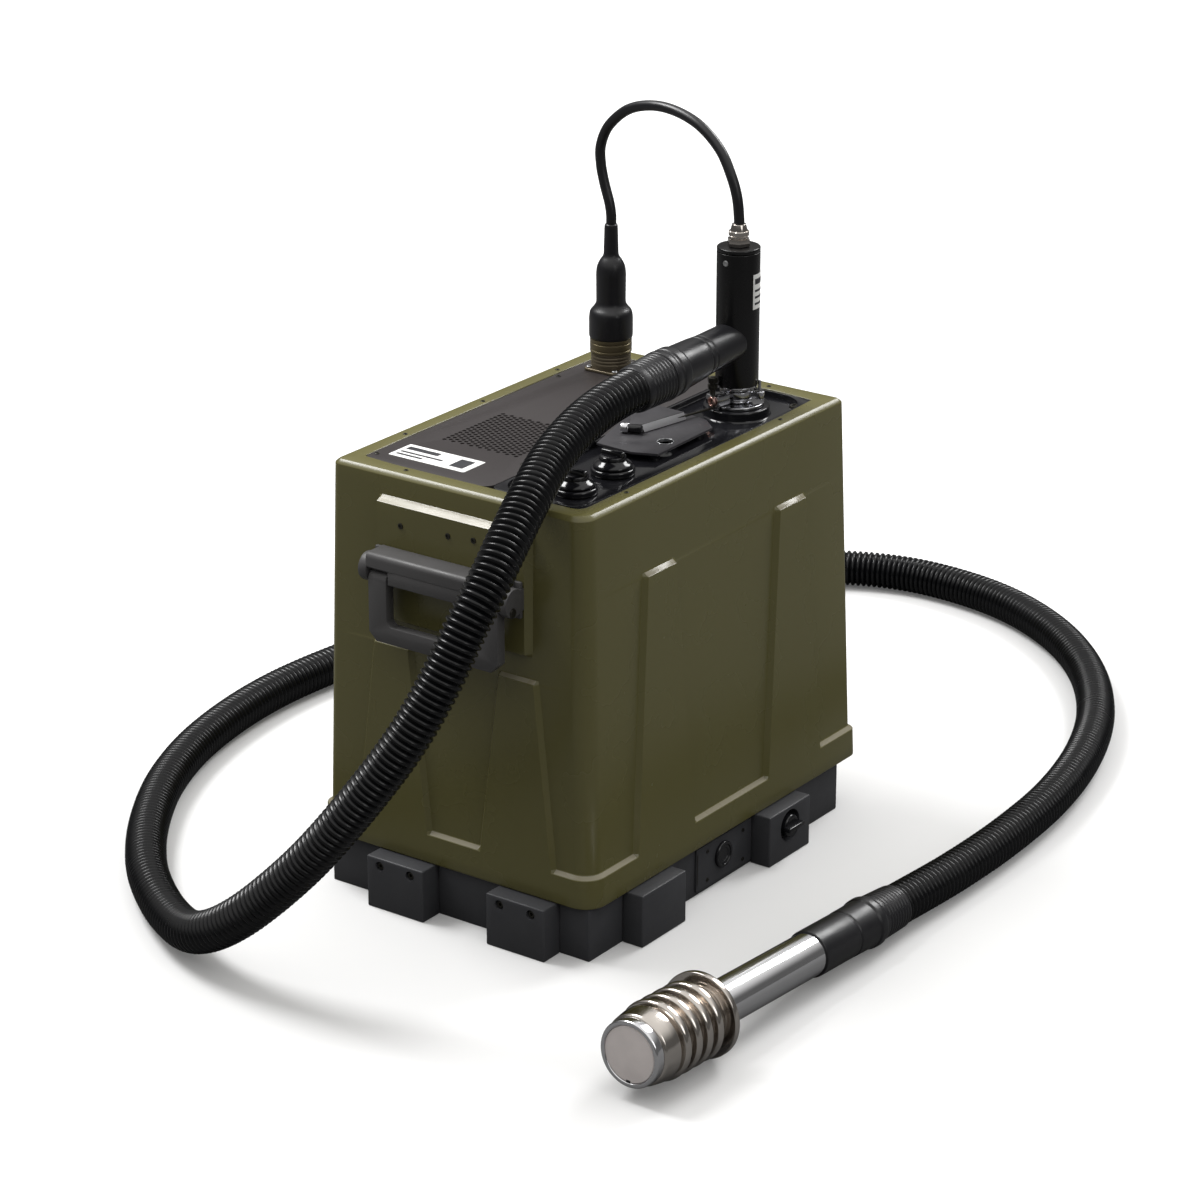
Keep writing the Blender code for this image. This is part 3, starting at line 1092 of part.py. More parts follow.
def make_bracket(name):
    front = -BRACKET_FRONT_Y
    back = -(PAD_FACE_Y + SEAT)
    bar = block(name, (-BRACKET_HALF_WIDTH, front, BRACKET_BAR_LOW), (BRACKET_HALF_WIDTH, back, BRACKET_TOP),
                HANDLE_CHARCOAL, BRACKET_EDGE,
                lambda e: all(v.co.y < 0 and v.co.z > 0 for v in e.verts), 3)
    inner = BAIL_HALF_WIDTH - BAIL_ARM - FLAP_CLEARANCE
    join(bar,
         block(f"{name}_flap", (-inner, front + 0.0004, FLAP_LOW),
               (inner, front + FLAP_THICKNESS, BRACKET_BAR_LOW + FLAP_OVERLAP)),
         block(f"{name}_plate", (-PLATE_HALF_WIDTH, back - BRACKET_PLATE, HANDLE_AXIS_Z - PLATE_DROP),
               (PLATE_HALF_WIDTH, back - 0.0001, BRACKET_TOP - 0.0010)))
    for sign in (-1, 1):
        xs = sorted((sign * EAR_INNER_X, sign * EAR_OUTER_X))
        ear = rod(f"{name}_ear_{sign}", EAR_RADIUS, EAR_OUTER_X - EAR_INNER_X,
                  (sum(xs) / 2, -EAR_Y, EAR_Z), (1, 0, 0), sides=TURN_STEPS)
        web = block(f"{name}_web_{sign}", (xs[0] + 0.0002, -EAR_Y, EAR_Z - EAR_RADIUS + WEB_SETBACK),
                    (xs[1] - 0.0002, back - 0.0002, EAR_Z + EAR_RADIUS - WEB_SETBACK))
        join(bar, ear, web)
    axis = (0.0, -HANDLE_AXIS_Y, HANDLE_AXIS_Z)
    cut(bar, rod(f"{name}_bore", HANDLE_PIN_RADIUS + SEAT, 0.2, axis, (1, 0, 0), sides=PIN_STEPS))
    return bar


def make_bail(name):
    """A flat bail with a finger window; its origin is on the hinge axis."""
    outer = BAIL_HALF_WIDTH
    inner = outer - BAIL_ARM
    low = BAIL_LOW - HANDLE_AXIS_Z
    window_low = low + BAIL_BAR
    chamfer = BAIL_CHAMFER
    corner = BAIL_WINDOW_CORNER
    arc = [(corner * math.cos(t), corner * math.sin(t)) for t in (PI, 1.25 * PI, 1.5 * PI)]
    window_left = [(-inner + corner + x, window_low + corner + z) for x, z in arc]
    window_right = [(-x, z) for x, z in reversed(window_left)]
    top = BAIL_ARM_TOP
    outline = [(-outer, top), (-outer, low + chamfer), (-outer + chamfer, low), (outer - chamfer, low),
               (outer, low + chamfer), (outer, top), (inner, top), *reversed(window_right),
               *reversed(window_left), (-inner, top)]
    thickness = BAIL_THICKNESS
    bail = solid_sheet(name, [outline], -thickness / 2, thickness / 2, HANDLE_CHARCOAL)
    stand_up = Matrix.Rotation(PI / 2, 4, "X")
    forward = BRACKET_FRONT_Y - thickness / 2 - HANDLE_AXIS_Y
    bail.data.transform(Matrix.Translation((0, -forward, 0)) @ stand_up)
    bail.matrix_world = Matrix.Translation((0, -HANDLE_AXIS_Y, HANDLE_AXIS_Z))
    for sign in (-1, 1):
        centre = (sign * (outer - BAIL_ARM / 2), -HANDLE_AXIS_Y, HANDLE_AXIS_Z)
        join(bail, rod(f"{name}_knuckle_{sign}", BAIL_KNUCKLE_RADIUS, BAIL_ARM - 0.0004, centre, (1, 0, 0),
                       sides=SMALL_TURN_STEPS))
    axis = (0.0, -HANDLE_AXIS_Y, HANDLE_AXIS_Z)
    cut(bail, rod(f"{name}_bore", HANDLE_PIN_RADIUS + SEAT, 0.2, axis, (1, 0, 0), sides=PIN_STEPS))
    return bail


def make_handles():
    """Front handle, then the same pieces turned half round for the rear."""
    turn = Matrix.Rotation(PI, 4, "Z")
    for end in ("front", "rear"):
        made = [make_bracket(f"{end}_handle_bracket"), make_bail(f"{end}_handle_bail"),
                rod(f"{end}_handle_pin", HANDLE_PIN_RADIUS, 2 * EAR_OUTER_X - 0.0006,
                    (0.0, -HANDLE_AXIS_Y, HANDLE_AXIS_Z), (1, 0, 0), STEEL, PIN_STEPS)]
        if end == "rear":
            helpers = {step.object for piece in made for step in piece.modifiers if step.type == "BOOLEAN"}
            bpy.context.view_layer.update()
            for piece in [*made, *helpers]:
                piece.matrix_world = turn @ piece.matrix_world


# Service plate and power cap on the right of the base

def make_services():
    face = BASE_WIDTH / 2 + SEAT
    outer = face + SERVICE_PLATE_THICKNESS
    block("service_plate", (face, SERVICE_PLATE_Y[0], SERVICE_PLATE_Z[0]),
          (outer, SERVICE_PLATE_Y[1], SERVICE_PLATE_Z[1]), BASE_DARK, 0.0006)
    aim = (outer + SEAT, *SERVICE_PORT_PLACE)
    plug = turned("service_plug", [
        (0.0, 0.0020), (0.0095, 0.0020), (0.0100, 0.0030), (SERVICE_PORT_RADIUS - 0.0010, 0.0030),
        (SERVICE_PORT_RADIUS, 0.0020), (SERVICE_PORT_RADIUS, 0.0), (0.0, 0.0)], WELL_BLACK, aim,
        steps=SMALL_TURN_STEPS)
    plug.rotation_euler = (0, PI / 2, 0)
    floor = BASE_WIDTH / 2 + SIDE_FOOT_DEPTH - POWER_RECESS_DEPTH + SEAT
    place = (floor, *POWER_PLACE)
    cap = turned("power_cap", [
        (0.0, 0.0120), (0.0095, 0.0120), (0.0105, 0.0110), (0.0110, 0.0050), (0.0135, 0.0045),
        (0.0140, 0.0035), (0.0140, 0.0), (0.0, 0.0)], WELL_BLACK, place, steps=SMALL_TURN_STEPS)
    cap.rotation_euler = (0, PI / 2, 0)
    wing = block("power_wing", (-0.0022, -0.0125, -0.0040), (0.0022, 0.0125, 0.0040), edge=0.001)
    wing.location = (floor + 0.0140, *POWER_PLACE)
    wing.rotation_euler = (0, PI / 2, 0)
    join(cap, wing)


# Inside the case

SHELF_TOP = FRAME_SHELF + SHELF_THICKNESS


def make_frame():
    """Four posts with top and bottom rails and a shelf, standing on the tray's floor."""
    low = BASE_WALL + SEAT
    half = FRAME_POST / 2
    frame = block("inner_frame", (-FRAME_HALF_X, -FRAME_HALF_Y, FRAME_SHELF),
                  (FRAME_HALF_X, FRAME_HALF_Y, SHELF_TOP), STEEL)
    for sx in (-1, 1):
        x = sx * (FRAME_HALF_X - half)
        for sy in (-1, 1):
            y = sy * (FRAME_HALF_Y - half)
            join(frame, block(f"post_{sx}_{sy}", (x - half, y - half, low), (x + half, y + half, FRAME_TOP)))
        join(frame, block(f"long_rail_{sx}", (x - half * 0.8, -FRAME_HALF_Y + 0.001, FRAME_TOP - 0.011),
                          (x + half * 0.8, FRAME_HALF_Y - 0.001, FRAME_TOP - 0.001)))
    for sy in (-1, 1):
        y = sy * (FRAME_HALF_Y - half)
        join(frame, block(f"cross_rail_{sy}", (-FRAME_HALF_X + 0.001, y - half * 0.7, FRAME_TOP - 0.0100),
                          (FRAME_HALF_X - 0.001, y + half * 0.7, FRAME_TOP - 0.002)))
    cut(frame, rod("shelf_hole", SHELF_HOLE_RADIUS, 0.02, (COLUMN_X, COLUMN_Y, FRAME_SHELF),
                   sides=SMALL_TURN_STEPS))


def make_vacuum_system():
    place = (COLUMN_X, COLUMN_Y, 0.0)
    inner = CHAMBER_RADIUS - CHAMBER_WALL
    chamber = turned("vacuum_chamber", [
        (CHAMBER_RADIUS, CHAMBER_TOP), (CHAMBER_RADIUS, CHAMBER_LOW), (inner, CHAMBER_LOW),
        (inner, CHAMBER_TOP - CHAMBER_WALL), (VACUUM_BORE, CHAMBER_TOP - CHAMBER_WALL),
        (VACUUM_BORE, CHAMBER_TOP)], STEEL, place, closed=True, steps=SMALL_TURN_STEPS)
    port_height = SHELF_TOP + PUMP_PORT_HEIGHT
    pump_edge = COLUMN_Y - PUMP_BEHIND_COLUMN + PUMP_SIZE[1] / 2
    port_end = COLUMN_Y - CHAMBER_RADIUS - 0.0002
    cut(chamber, rod("pump_port_hole", PUMP_PORT_BORE, 0.04,
                     (COLUMN_X, COLUMN_Y - CHAMBER_RADIUS, port_height), (0, 1, 0), sides=SMALL_TURN_STEPS))
    turned("chamber_cover", [
        (0.0, CHAMBER_LOW - SEAT), (CHAMBER_COVER_RADIUS, CHAMBER_LOW - SEAT),
        (CHAMBER_COVER_RADIUS, SHELF_TOP + SEAT), (0.0, SHELF_TOP + SEAT)], STEEL, place)
    low = CHAMBER_LOW
    half_holder = FILTER_HOLDER_HEIGHT / 2
    filter_rods = rod("quadrupole", FILTER_HOLDER_RADIUS, FILTER_HOLDER_HEIGHT,
                      (COLUMN_X, COLUMN_Y, low + SEAT + half_holder), surface=CERAMIC, sides=SMALL_TURN_STEPS)
    join(filter_rods, rod("upper_holder", FILTER_HOLDER_RADIUS, FILTER_HOLDER_HEIGHT,
                          (COLUMN_X, COLUMN_Y, low + FILTER_LENGTH - UPPER_HOLDER_DROP),
                          sides=SMALL_TURN_STEPS))
    for i in range(4):
        turn = PI / 4 + i * PI / 2
        centre = (COLUMN_X + ROD_CIRCLE * math.cos(turn), COLUMN_Y + ROD_CIRCLE * math.sin(turn),
                  low + half_holder + FILTER_LENGTH / 2)
        join(filter_rods, rod(f"quad_rod_{i}", QUAD_ROD_RADIUS, FILTER_LENGTH, centre, sides=PIN_STEPS))
    source_low = low + half_holder + FILTER_LENGTH + 0.0005
    source_top = source_low + SOURCE_HEIGHT
    turned("ion_source", [
        (SOURCE_RADIUS, source_top), (SOURCE_RADIUS, source_low), (SOURCE_BORE, source_low),
        (SOURCE_BORE, source_top)], STEEL, place, closed=True, steps=SMALL_TURN_STEPS)
    sx, sy, sz = PUMP_SIZE
    base = SHELF_TOP + SEAT
    pump_x, pump_y = COLUMN_X - PUMP_SHIFT, COLUMN_Y - PUMP_BEHIND_COLUMN
    pump = block("getter_pump", (pump_x - sx / 2, pump_y - sy / 2, base),
                 (pump_x + sx / 2, pump_y + sy / 2, base + sz), STEEL, 0.004, along(2))
    port_low, port_high = pump_edge - 4 * JOIN, port_end - 0.6 * JOIN
    join(pump, rod("pump_port", PUMP_PORT_RADIUS, port_high - port_low,
                   (COLUMN_X, (port_low + port_high) / 2, port_height), (0, 1, 0), sides=SMALL_TURN_STEPS))


def make_electronics():
    """Supply and generator on the tray's floor, and the control board on the shelf."""
    post_edge = FRAME_HALF_X - FRAME_POST
    floor = BASE_WALL + SEAT
    sx, sy, sz = SUPPLY_SIZE
    low_x, low_y = SUPPLY_GAP - post_edge, SUPPLY_GAP + 0.009 - FRAME_HALF_Y
    block("power_supply", (low_x, low_y, floor), (low_x + sx, low_y + sy, floor + sz),
          CASE_GREY, 0.002, along(2))
    gx, gy, gz = GENERATOR_SIZE
    high_x, start_y = post_edge - GENERATOR_GAP + 0.004, low_y + GENERATOR_GAP
    generator = block("rf_generator", (high_x - gx, start_y, floor), (high_x, start_y + gy, floor + gz),
                      CASE_GREY, 0.002, along(2))
    for i in range(FIN_COUNT):
        y = start_y + FIN_PITCH * (i + 0.4)
        cut(generator, block(f"fin_gap_{i}", (high_x - gx - 0.01, y, floor + gz - FIN_DEPTH),
                             (high_x + 0.01, y + FIN_PITCH / 2, floor + gz + 0.01)))
    base = SHELF_TOP + SEAT
    bx, by, bz = BOARD_SIZE
    board_x, board_y = BOARD_GAP - post_edge, -BOARD_GAP
    board = block("control_board", (board_x, board_y, base), (board_x + bx, board_y + by, base + bz),
                  BOARD_GREEN)
    for i, (y, z, width, height) in enumerate(CHIPS):
        join(board, block(f"chip_{i}", (board_x + bx - 0.0004, board_y + by * y, base + bz * z),
                          (board_x + bx + CHIP_HEIGHT, board_y + by * (y + width), base + bz * (z + height))))


def make_fan():
    """An axial fan hung under the grille: square frame with a hub and four struts, and its rotor."""
    high = PLATE_LOW - SEAT
    low = high - FAN_DEPTH
    half = FAN_SIZE / 2
    centre = (GRILLE_X, GRILLE_Y)
    bore = ring_points(*centre, FAN_BORE, HEAD_TURN_STEPS)
    outline = rounded_outline(GRILLE_X - half, GRILLE_Y - half, GRILLE_X + half, GRILLE_Y + half,
                              FAN_CORNER, 2)
    frame = solid_sheet("fan_frame", [outline, bore], low, high, RUBBER)
    strut_top = low + 0.004
    for i in range(2):
        strut = block(f"fan_strut_{i}", (-FAN_BORE - 0.0005, -0.003, 0.0), (FAN_BORE + 0.0005, 0.003, 0.0036))
        strut.location = (*centre, low + 0.0002 + 0.0018 + i * 0.0002)
        strut.rotation_euler = (0, 0, PI / 4 + i * PI / 2)
        join(frame, strut)
    join(frame, rod("fan_motor", FAN_HUB_RADIUS, strut_top - low, (*centre, (low + strut_top) / 2),
                    sides=SMALL_TURN_STEPS),
         rod("fan_shaft", FAN_SHAFT_RADIUS, 0.014, (*centre, strut_top + 0.0065), sides=PIN_STEPS))
    rotor_low = strut_top + 0.0005
    rotor_high = high - 0.0020
    rotor = turned("fan_rotor", [
        (FAN_HUB_RADIUS, rotor_high), (FAN_HUB_RADIUS, rotor_low), (FAN_SHAFT_RADIUS + SEAT, rotor_low),
        (FAN_SHAFT_RADIUS + SEAT, rotor_low + FAN_HUB_BORE), (0.0, rotor_low + FAN_HUB_BORE),
        (0.0, rotor_high)], RUBBER, (*centre, 0.0), closed=True, steps=SMALL_TURN_STEPS)
    tip = FAN_BORE - FAN_TIP_CLEARANCE
    blade_height = rotor_high - rotor_low - 0.004
    for i in range(FAN_BLADES):
        root = FAN_HUB_RADIUS - FAN_BLADE_ROOT
        blade = block(f"blade_{i}", (root, -FAN_BLADE_HALF, -blade_height / 2),
                      (tip, FAN_BLADE_HALF, blade_height / 2))
        blade.data.transform(Matrix.Translation(((root + tip) / 2, 0, 0)))
        for vert in blade.data.vertices:
            vert.co.y += vert.co.z * 0.75
        blade.location = (*centre, (rotor_low + rotor_high) / 2)
        blade.rotation_euler = (0, 0, 2 * PI * i / FAN_BLADES)
        join(rotor, blade)


make_hood()
make_base()
make_feet()
make_top_panel()
make_well()
make_inlet()
make_clamp()
make_lock()
make_ports()
make_connector()
make_column_cuff()
make_hose()
make_probe()
make_handles()
make_services()
make_frame()
make_vacuum_system()
make_electronics()
make_fan()
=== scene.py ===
# %% [markdown]
# # A transportable mass spectrometer, dressed for its portrait
#
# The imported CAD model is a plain, exact frame: every solid is in its place, but nothing has a
# finish yet. This lesson gives it its looks, one step at a time: the camera and the finishes, the
# two free cables, the moulded hood, the top with its connectors, the probe on the floor, the
# handles and the base. Each step says what the piece is on the real object, how it could be made,
# and why it is made this way.

# %% Loading the frame
import math

import bmesh
import bpy
from mathutils import Matrix, Vector


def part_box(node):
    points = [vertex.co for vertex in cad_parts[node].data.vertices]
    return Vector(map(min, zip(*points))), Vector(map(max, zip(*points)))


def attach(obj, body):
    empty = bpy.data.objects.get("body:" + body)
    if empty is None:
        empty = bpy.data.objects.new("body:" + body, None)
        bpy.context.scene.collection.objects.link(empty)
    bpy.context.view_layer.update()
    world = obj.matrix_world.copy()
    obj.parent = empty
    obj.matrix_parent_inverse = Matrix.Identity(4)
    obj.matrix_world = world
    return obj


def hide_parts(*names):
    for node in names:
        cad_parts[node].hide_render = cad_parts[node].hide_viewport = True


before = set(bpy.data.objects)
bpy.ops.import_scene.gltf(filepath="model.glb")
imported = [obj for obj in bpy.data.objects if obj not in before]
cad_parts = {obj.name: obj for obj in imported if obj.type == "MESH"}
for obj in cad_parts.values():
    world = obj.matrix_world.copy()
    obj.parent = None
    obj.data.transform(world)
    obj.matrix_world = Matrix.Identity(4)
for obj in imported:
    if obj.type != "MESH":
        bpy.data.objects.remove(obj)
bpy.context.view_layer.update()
PI = math.pi

# %% [markdown]
# ## The camera
#
# The photograph looks down on the case from the front right, through a long lens. A camera could be
# placed by eye, but then no two edges would agree. So azimuth, elevation, distance and lens were
# solved from the straight edges of the case, and the two small shifts put the lens axis where the
# picture has it.

# %% Camera
AZIMUTH = math.radians(35.849)
ELEVATION = math.radians(21.240)
DISTANCE = 3.4866
TARGET = Vector((0.0, 0.0, 0.25))
LENS = 115.77
SHIFT_X = 0.0056
SHIFT_Y = -0.0087

BACK = Vector((math.sin(AZIMUTH) * math.cos(ELEVATION), -math.cos(AZIMUTH) * math.cos(ELEVATION),
               math.sin(ELEVATION)))


def make_camera():
    data = bpy.data.cameras.new("camera")
    data.lens = LENS
    data.sensor_width = 36.0
    data.shift_x = SHIFT_X
    data.shift_y = SHIFT_Y
    camera = bpy.data.objects.new("camera", data)
    bpy.context.scene.collection.objects.link(camera)
    camera.location = TARGET + BACK * DISTANCE
    camera.rotation_mode = "QUATERNION"
    camera.rotation_quaternion = BACK.to_track_quat("Z", "Y")
    bpy.context.scene.camera = camera


make_camera()
print("camera: azimuth %.1f, elevation %.1f" % (math.degrees(AZIMUTH), math.degrees(ELEVATION)))

# %% [markdown]
# ## Noise for a finish
#
# No real surface is one flat colour. Paint clouds a little, plastic has a fine grain, and gloss is
# never quite even. Photographs of surfaces could be wrapped on, but they repeat and need files. A
# noise texture in the object's own space needs neither: its scale is simply features per metre.

# %% Noise for a finish
NOISE_LOW, NOISE_HIGH = 0.3, 0.7


def new_material(name, colour, roughness, metallic):
    """A node material whose shader starts from plain numbers."""
    made = bpy.data.materials.new(name)
    made.use_nodes = True
    shader = made.node_tree.nodes["Principled BSDF"]
    shader.inputs["Base Color"].default_value = (*colour, 1.0)
    shader.inputs["Roughness"].default_value = roughness
    shader.inputs["Metallic"].default_value = metallic
    return made, shader


def noise_node(tree, scale, detail=3.0):
    """A noise texture in object space; scale is in features per metre."""
    place = tree.nodes.new("ShaderNodeTexCoord")
    grain = tree.nodes.new("ShaderNodeTexNoise")
    grain.inputs["Scale"].default_value = scale
    grain.inputs["Detail"].default_value = detail
    tree.links.new(place.outputs["Object"], grain.inputs["Vector"])
    return grain.outputs["Fac"]


def spread(tree, value, low, high):
    """Maps a noise value onto a range."""
    node = tree.nodes.new("ShaderNodeMapRange")
    for socket, number in (("From Min", NOISE_LOW), ("From Max", NOISE_HIGH), ("To Min", low),
                           ("To Max", high)):
        node.inputs[socket].default_value = number
    tree.links.new(value, node.inputs["Value"])
    return node.outputs["Result"]


print("noise: its values from %.1f to %.1f are used" % (NOISE_LOW, NOISE_HIGH))

# %% [markdown]
# ## A finished surface
#
# Each finish on this instrument is the same recipe in other amounts: a colour that clouds between a
# darker and a lighter tone, a gloss that is slightly uneven, and a fine bump for grain. One
# function with named amounts is easier to tune against the picture than twenty separate node trees.

# %% A finished surface
BUMP_DEPTH = 0.0002
GLOSS_CLOUD_RATIO = 3.1


def surface(name, colour, roughness, metallic=0.0, grain=1500.0, relief=0.05, tint=0.12, cloud=18.0,
            uneven=0.06, specular=0.5):
    """A finished surface: clouded colour, uneven gloss and a fine bump."""
    made, shader = new_material(name, colour, roughness, metallic)
    tree = made.node_tree
    clouds = noise_node(tree, cloud)
    ramp = tree.nodes.new("ShaderNodeValToRGB")
    darker, lighter = ramp.color_ramp.elements
    darker.position, lighter.position = NOISE_LOW, NOISE_HIGH
    darker.color = (*(c * (1 - tint) for c in colour), 1.0)
    lighter.color = (*(min(1.0, c * (1 + tint)) for c in colour), 1.0)
    tree.links.new(clouds, ramp.inputs["Fac"])
    tree.links.new(ramp.outputs["Color"], shader.inputs["Base Color"])
    fine = noise_node(tree, grain, 2.0)
    gloss = spread(tree, noise_node(tree, cloud * GLOSS_CLOUD_RATIO), roughness - uneven,
                   roughness + uneven)
    tree.links.new(gloss, shader.inputs["Roughness"])
    bump = tree.nodes.new("ShaderNodeBump")
    bump.inputs["Strength"].default_value = relief
    bump.inputs["Distance"].default_value = BUMP_DEPTH
    tree.links.new(fine, bump.inputs["Height"])
    tree.links.new(bump.outputs["Normal"], shader.inputs["Normal"])
    shader.inputs["Specular IOR Level"].default_value = specular
    return made


print("surface: bump %.1f mm deep" % (1000 * BUMP_DEPTH))

# %% [markdown]
# ## Paints, plastics and rubbers
#
# The hood is smooth olive paint. Its level shoulders, which shine in the picture, take a paler tone:
# a painted highlight. The panel is matt warm grey, the well and ports are glossy black, the base is
# dark anodised metal and the handles are charcoal plastic. Each colour is a linear value, set so that
# it renders as in the picture.

# %% Paints, plastics and rubbers
OLIVE = surface("olive_paint", (0.124, 0.114, 0.041), 0.27, grain=1600, relief=0.004, tint=0.010, cloud=5,
                uneven=0.015, specular=0.45)
# A paler paint for the hood's level shoulders: a painted highlight, their shine painted into the colour.
OLIVE_PAINTED_HIGHLIGHT = surface("olive_painted_highlight", (0.25, 0.225, 0.150), 0.30, grain=1600, relief=0.004, tint=0.02, cloud=5)
PANEL = surface("panel_paint", (0.036, 0.031, 0.031), 0.42, grain=1800, relief=0.12, tint=0.03, cloud=8,
                uneven=0.03, specular=0.35)
GLOSS = surface("gloss_black", (0.010, 0.010, 0.012), 0.13, grain=900, relief=0.02, tint=0.2, uneven=0.04)
LOCK_GREY = surface("lock_grey", (0.050, 0.048, 0.053), 0.40, grain=1600, relief=0.12, tint=0.08,
                    specular=0.4)
BASE = surface("base_anodised", (0.056, 0.057, 0.062), 0.42, grain=2200, relief=0.10, tint=0.08,
               specular=0.25)
HANDLE = surface("handle_plastic", (0.080, 0.078, 0.079), 0.44, grain=1300, relief=0.22, tint=0.06,
                 specular=0.35)
RUBBER = surface("black_rubber", (0.010, 0.010, 0.012), 0.34, grain=900, relief=0.08, tint=0.10,
                 specular=0.5)
HOSE = surface("hose_black", (0.003, 0.0032, 0.004), 0.25, grain=800, relief=0.06, tint=0.12, specular=0.32)
COLUMN = surface("column_black", (0.004, 0.004, 0.0045), 0.26, grain=1500, relief=0.08, tint=0.12,
                 specular=0.4)
print("paints, plastics and rubbers:", len(bpy.data.materials))

# %% [markdown]
# ## Metals, membrane and labels
#
# A metal is all reflection, so its roughness matters more than its colour: the probe's tube is
# almost a mirror, its head is warm nickel, and the connector has a dull olive plating. The membrane
# is a matt pale skin. A sharp light and a dark room in one reflection make polished metal look like
# metal.

# %% Metals, membrane and labels
STEEL = surface("polished_steel", (0.74, 0.74, 0.76), 0.11, 1.0, grain=700, relief=0.02, tint=0.03,
                uneven=0.04)
DARK_CHROME = surface("dark_chrome", (0.46, 0.46, 0.48), 0.14, 1.0, grain=700, relief=0.02, tint=0.05,
                      uneven=0.03)
# The guide's slope: partly bare milled metal, partly painted light, made paler for the light on that side.
GUIDE_MILLED_AND_LIT = surface("milled_grey_painted_light", (0.55, 0.55, 0.57), 0.36, 0.4, grain=1600, relief=0.08, tint=0.06)
NICKEL = surface("warm_nickel", (0.58, 0.54, 0.50), 0.15, 1.0, grain=900, relief=0.05, tint=0.08,
                 uneven=0.06)
BRUSHED = surface("brushed_steel", (0.52, 0.53, 0.54), 0.34, 1.0, grain=1500, relief=0.12, tint=0.05)
BRONZE = surface("olive_plating", (0.150, 0.125, 0.085), 0.36, 0.70, grain=1200, relief=0.12, tint=0.15)
COPPER = surface("copper", (0.60, 0.38, 0.33), 0.28, 1.0, grain=900, relief=0.05, tint=0.1)
MEMBRANE = surface("membrane", (0.76, 0.70, 0.68), 0.62, grain=2600, relief=0.25, tint=0.05, cloud=60)
LABEL = surface("label_white", (0.90, 0.90, 0.88), 0.45, grain=2500, relief=0.03, tint=0.02)
INK = surface("label_ink", (0.025, 0.025, 0.03), 0.50, grain=2500, relief=0.03, tint=0.05)
SCREW_DARK = surface("dark_screw", (0.045, 0.043, 0.036), 0.36, 0.8, grain=1500, relief=0.08, tint=0.1)
BRASS = surface("old_brass", (0.175, 0.145, 0.085), 0.34, 0.75, grain=1500, relief=0.08, tint=0.12)
CERAMIC = surface("ceramic", (0.78, 0.76, 0.72), 0.35, grain=1500, relief=0.04, tint=0.03)
BOARD = surface("circuit_board", (0.02, 0.11, 0.05), 0.45, grain=600, relief=0.10, tint=0.15)
MODULE = surface("module_grey", (0.28, 0.29, 0.30), 0.42, 0.4, grain=1200, relief=0.10, tint=0.06)
print("materials in all:", len(bpy.data.materials))

# %% [markdown]
# ## Closed loops and turned bodies
#
# Flanges, ports, cuffs and the probe's head are all turned on a lathe or moulded round. Blender's
# screw modifier could spin a profile, but building the rings directly gives exact places and closed
# ends. A ring of points is a loop, and two loops of equal length can always be bridged with faces.

# %% Closed loops and turned bodies
def finish_mesh(name, bm, material, sharp=32.0):
    """Turns a bmesh into an object with smooth faces and crisp edges above an angle."""
    bmesh.ops.recalc_face_normals(bm, faces=bm.faces)
    mesh = bpy.data.meshes.new(name)
    bm.to_mesh(mesh)
    bm.free()
    mesh.materials.append(material)
    mesh.shade_smooth()
    mesh.set_sharp_from_angle(angle=math.radians(sharp))
    piece = bpy.data.objects.new(name, mesh)
    bpy.context.scene.collection.objects.link(piece)
    return piece


def facing(direction, place):
    """The matrix that stands a piece's own Z along a direction, at a place."""
    turn = Vector(direction).to_track_quat("Z", "Y").to_matrix().to_4x4()
    return Matrix.Translation(place) @ turn


def bridge_loops(bm, loops, cap_first=False, cap_last=False):
    """Joins closed loops of equal length with faces, and may cap the ends."""
    rows = [[bm.verts.new(point) for point in loop] for loop in loops]
    for lower, upper in zip(rows, rows[1:]):
        count = len(lower)
        for i in range(count):
            j = (i + 1) % count
            bm.faces.new((lower[i], lower[j], upper[j], upper[i]))
    if cap_first:
        bm.faces.new(rows[0])
    if cap_last:
        bm.faces.new(rows[-1])


def turned(bm, profile, steps=64, matrix=Matrix.Identity(4)):
    """A turned body from (radius, height) points; a radius of nought closes it."""
    loops, caps = [], [False, False]
    for index, (radius, height) in enumerate(profile):
        if radius <= 0:
            caps[0 if index == 0 else 1] = True
            continue
        loops.append([matrix @ Vector((radius * math.cos(2 * PI * i / steps),
                                       radius * math.sin(2 * PI * i / steps),
                                       height)) for i in range(steps)])
    bridge_loops(bm, loops, *caps)


print("loops and turned bodies ready")

# %% [markdown]
# ## Boxes and flat plates
#
# Foot blocks and grips are boxes with rounded edges, since a real edge is never perfectly sharp and
# its small radius is what catches the light. Plates with holes, like the grille panel, could be cut
# with booleans. A filled curve does it more cleanly: every outline after the first is simply a
# hole.

# %% Boxes and flat plates
WELD = 0.000002


def add_part(bm, part, matrix=Matrix.Identity(4)):
    """Moves one bmesh's faces into another."""
    mesh = bpy.data.meshes.new("part")
    part.to_mesh(mesh)
    part.free()
    mesh.transform(matrix)
    bm.from_mesh(mesh)
    bpy.data.meshes.remove(mesh)


def box_in(bm, low, high, edge=0.0006, segments=2, matrix=Matrix.Identity(4)):
    """Adds a box with rounded edges."""
    low, high = Vector(low), Vector(high)
    part = bmesh.new()
    bmesh.ops.create_cube(part, size=1.0)
    for vert in part.verts:
        vert.co = Vector([low[i] + (vert.co[i] + 0.5) * (high[i] - low[i]) for i in range(3)])
    bmesh.ops.bevel(part, geom=list(part.edges), offset=edge, segments=segments, profile=0.5,
                    affect="EDGES")
    add_part(bm, part, matrix)


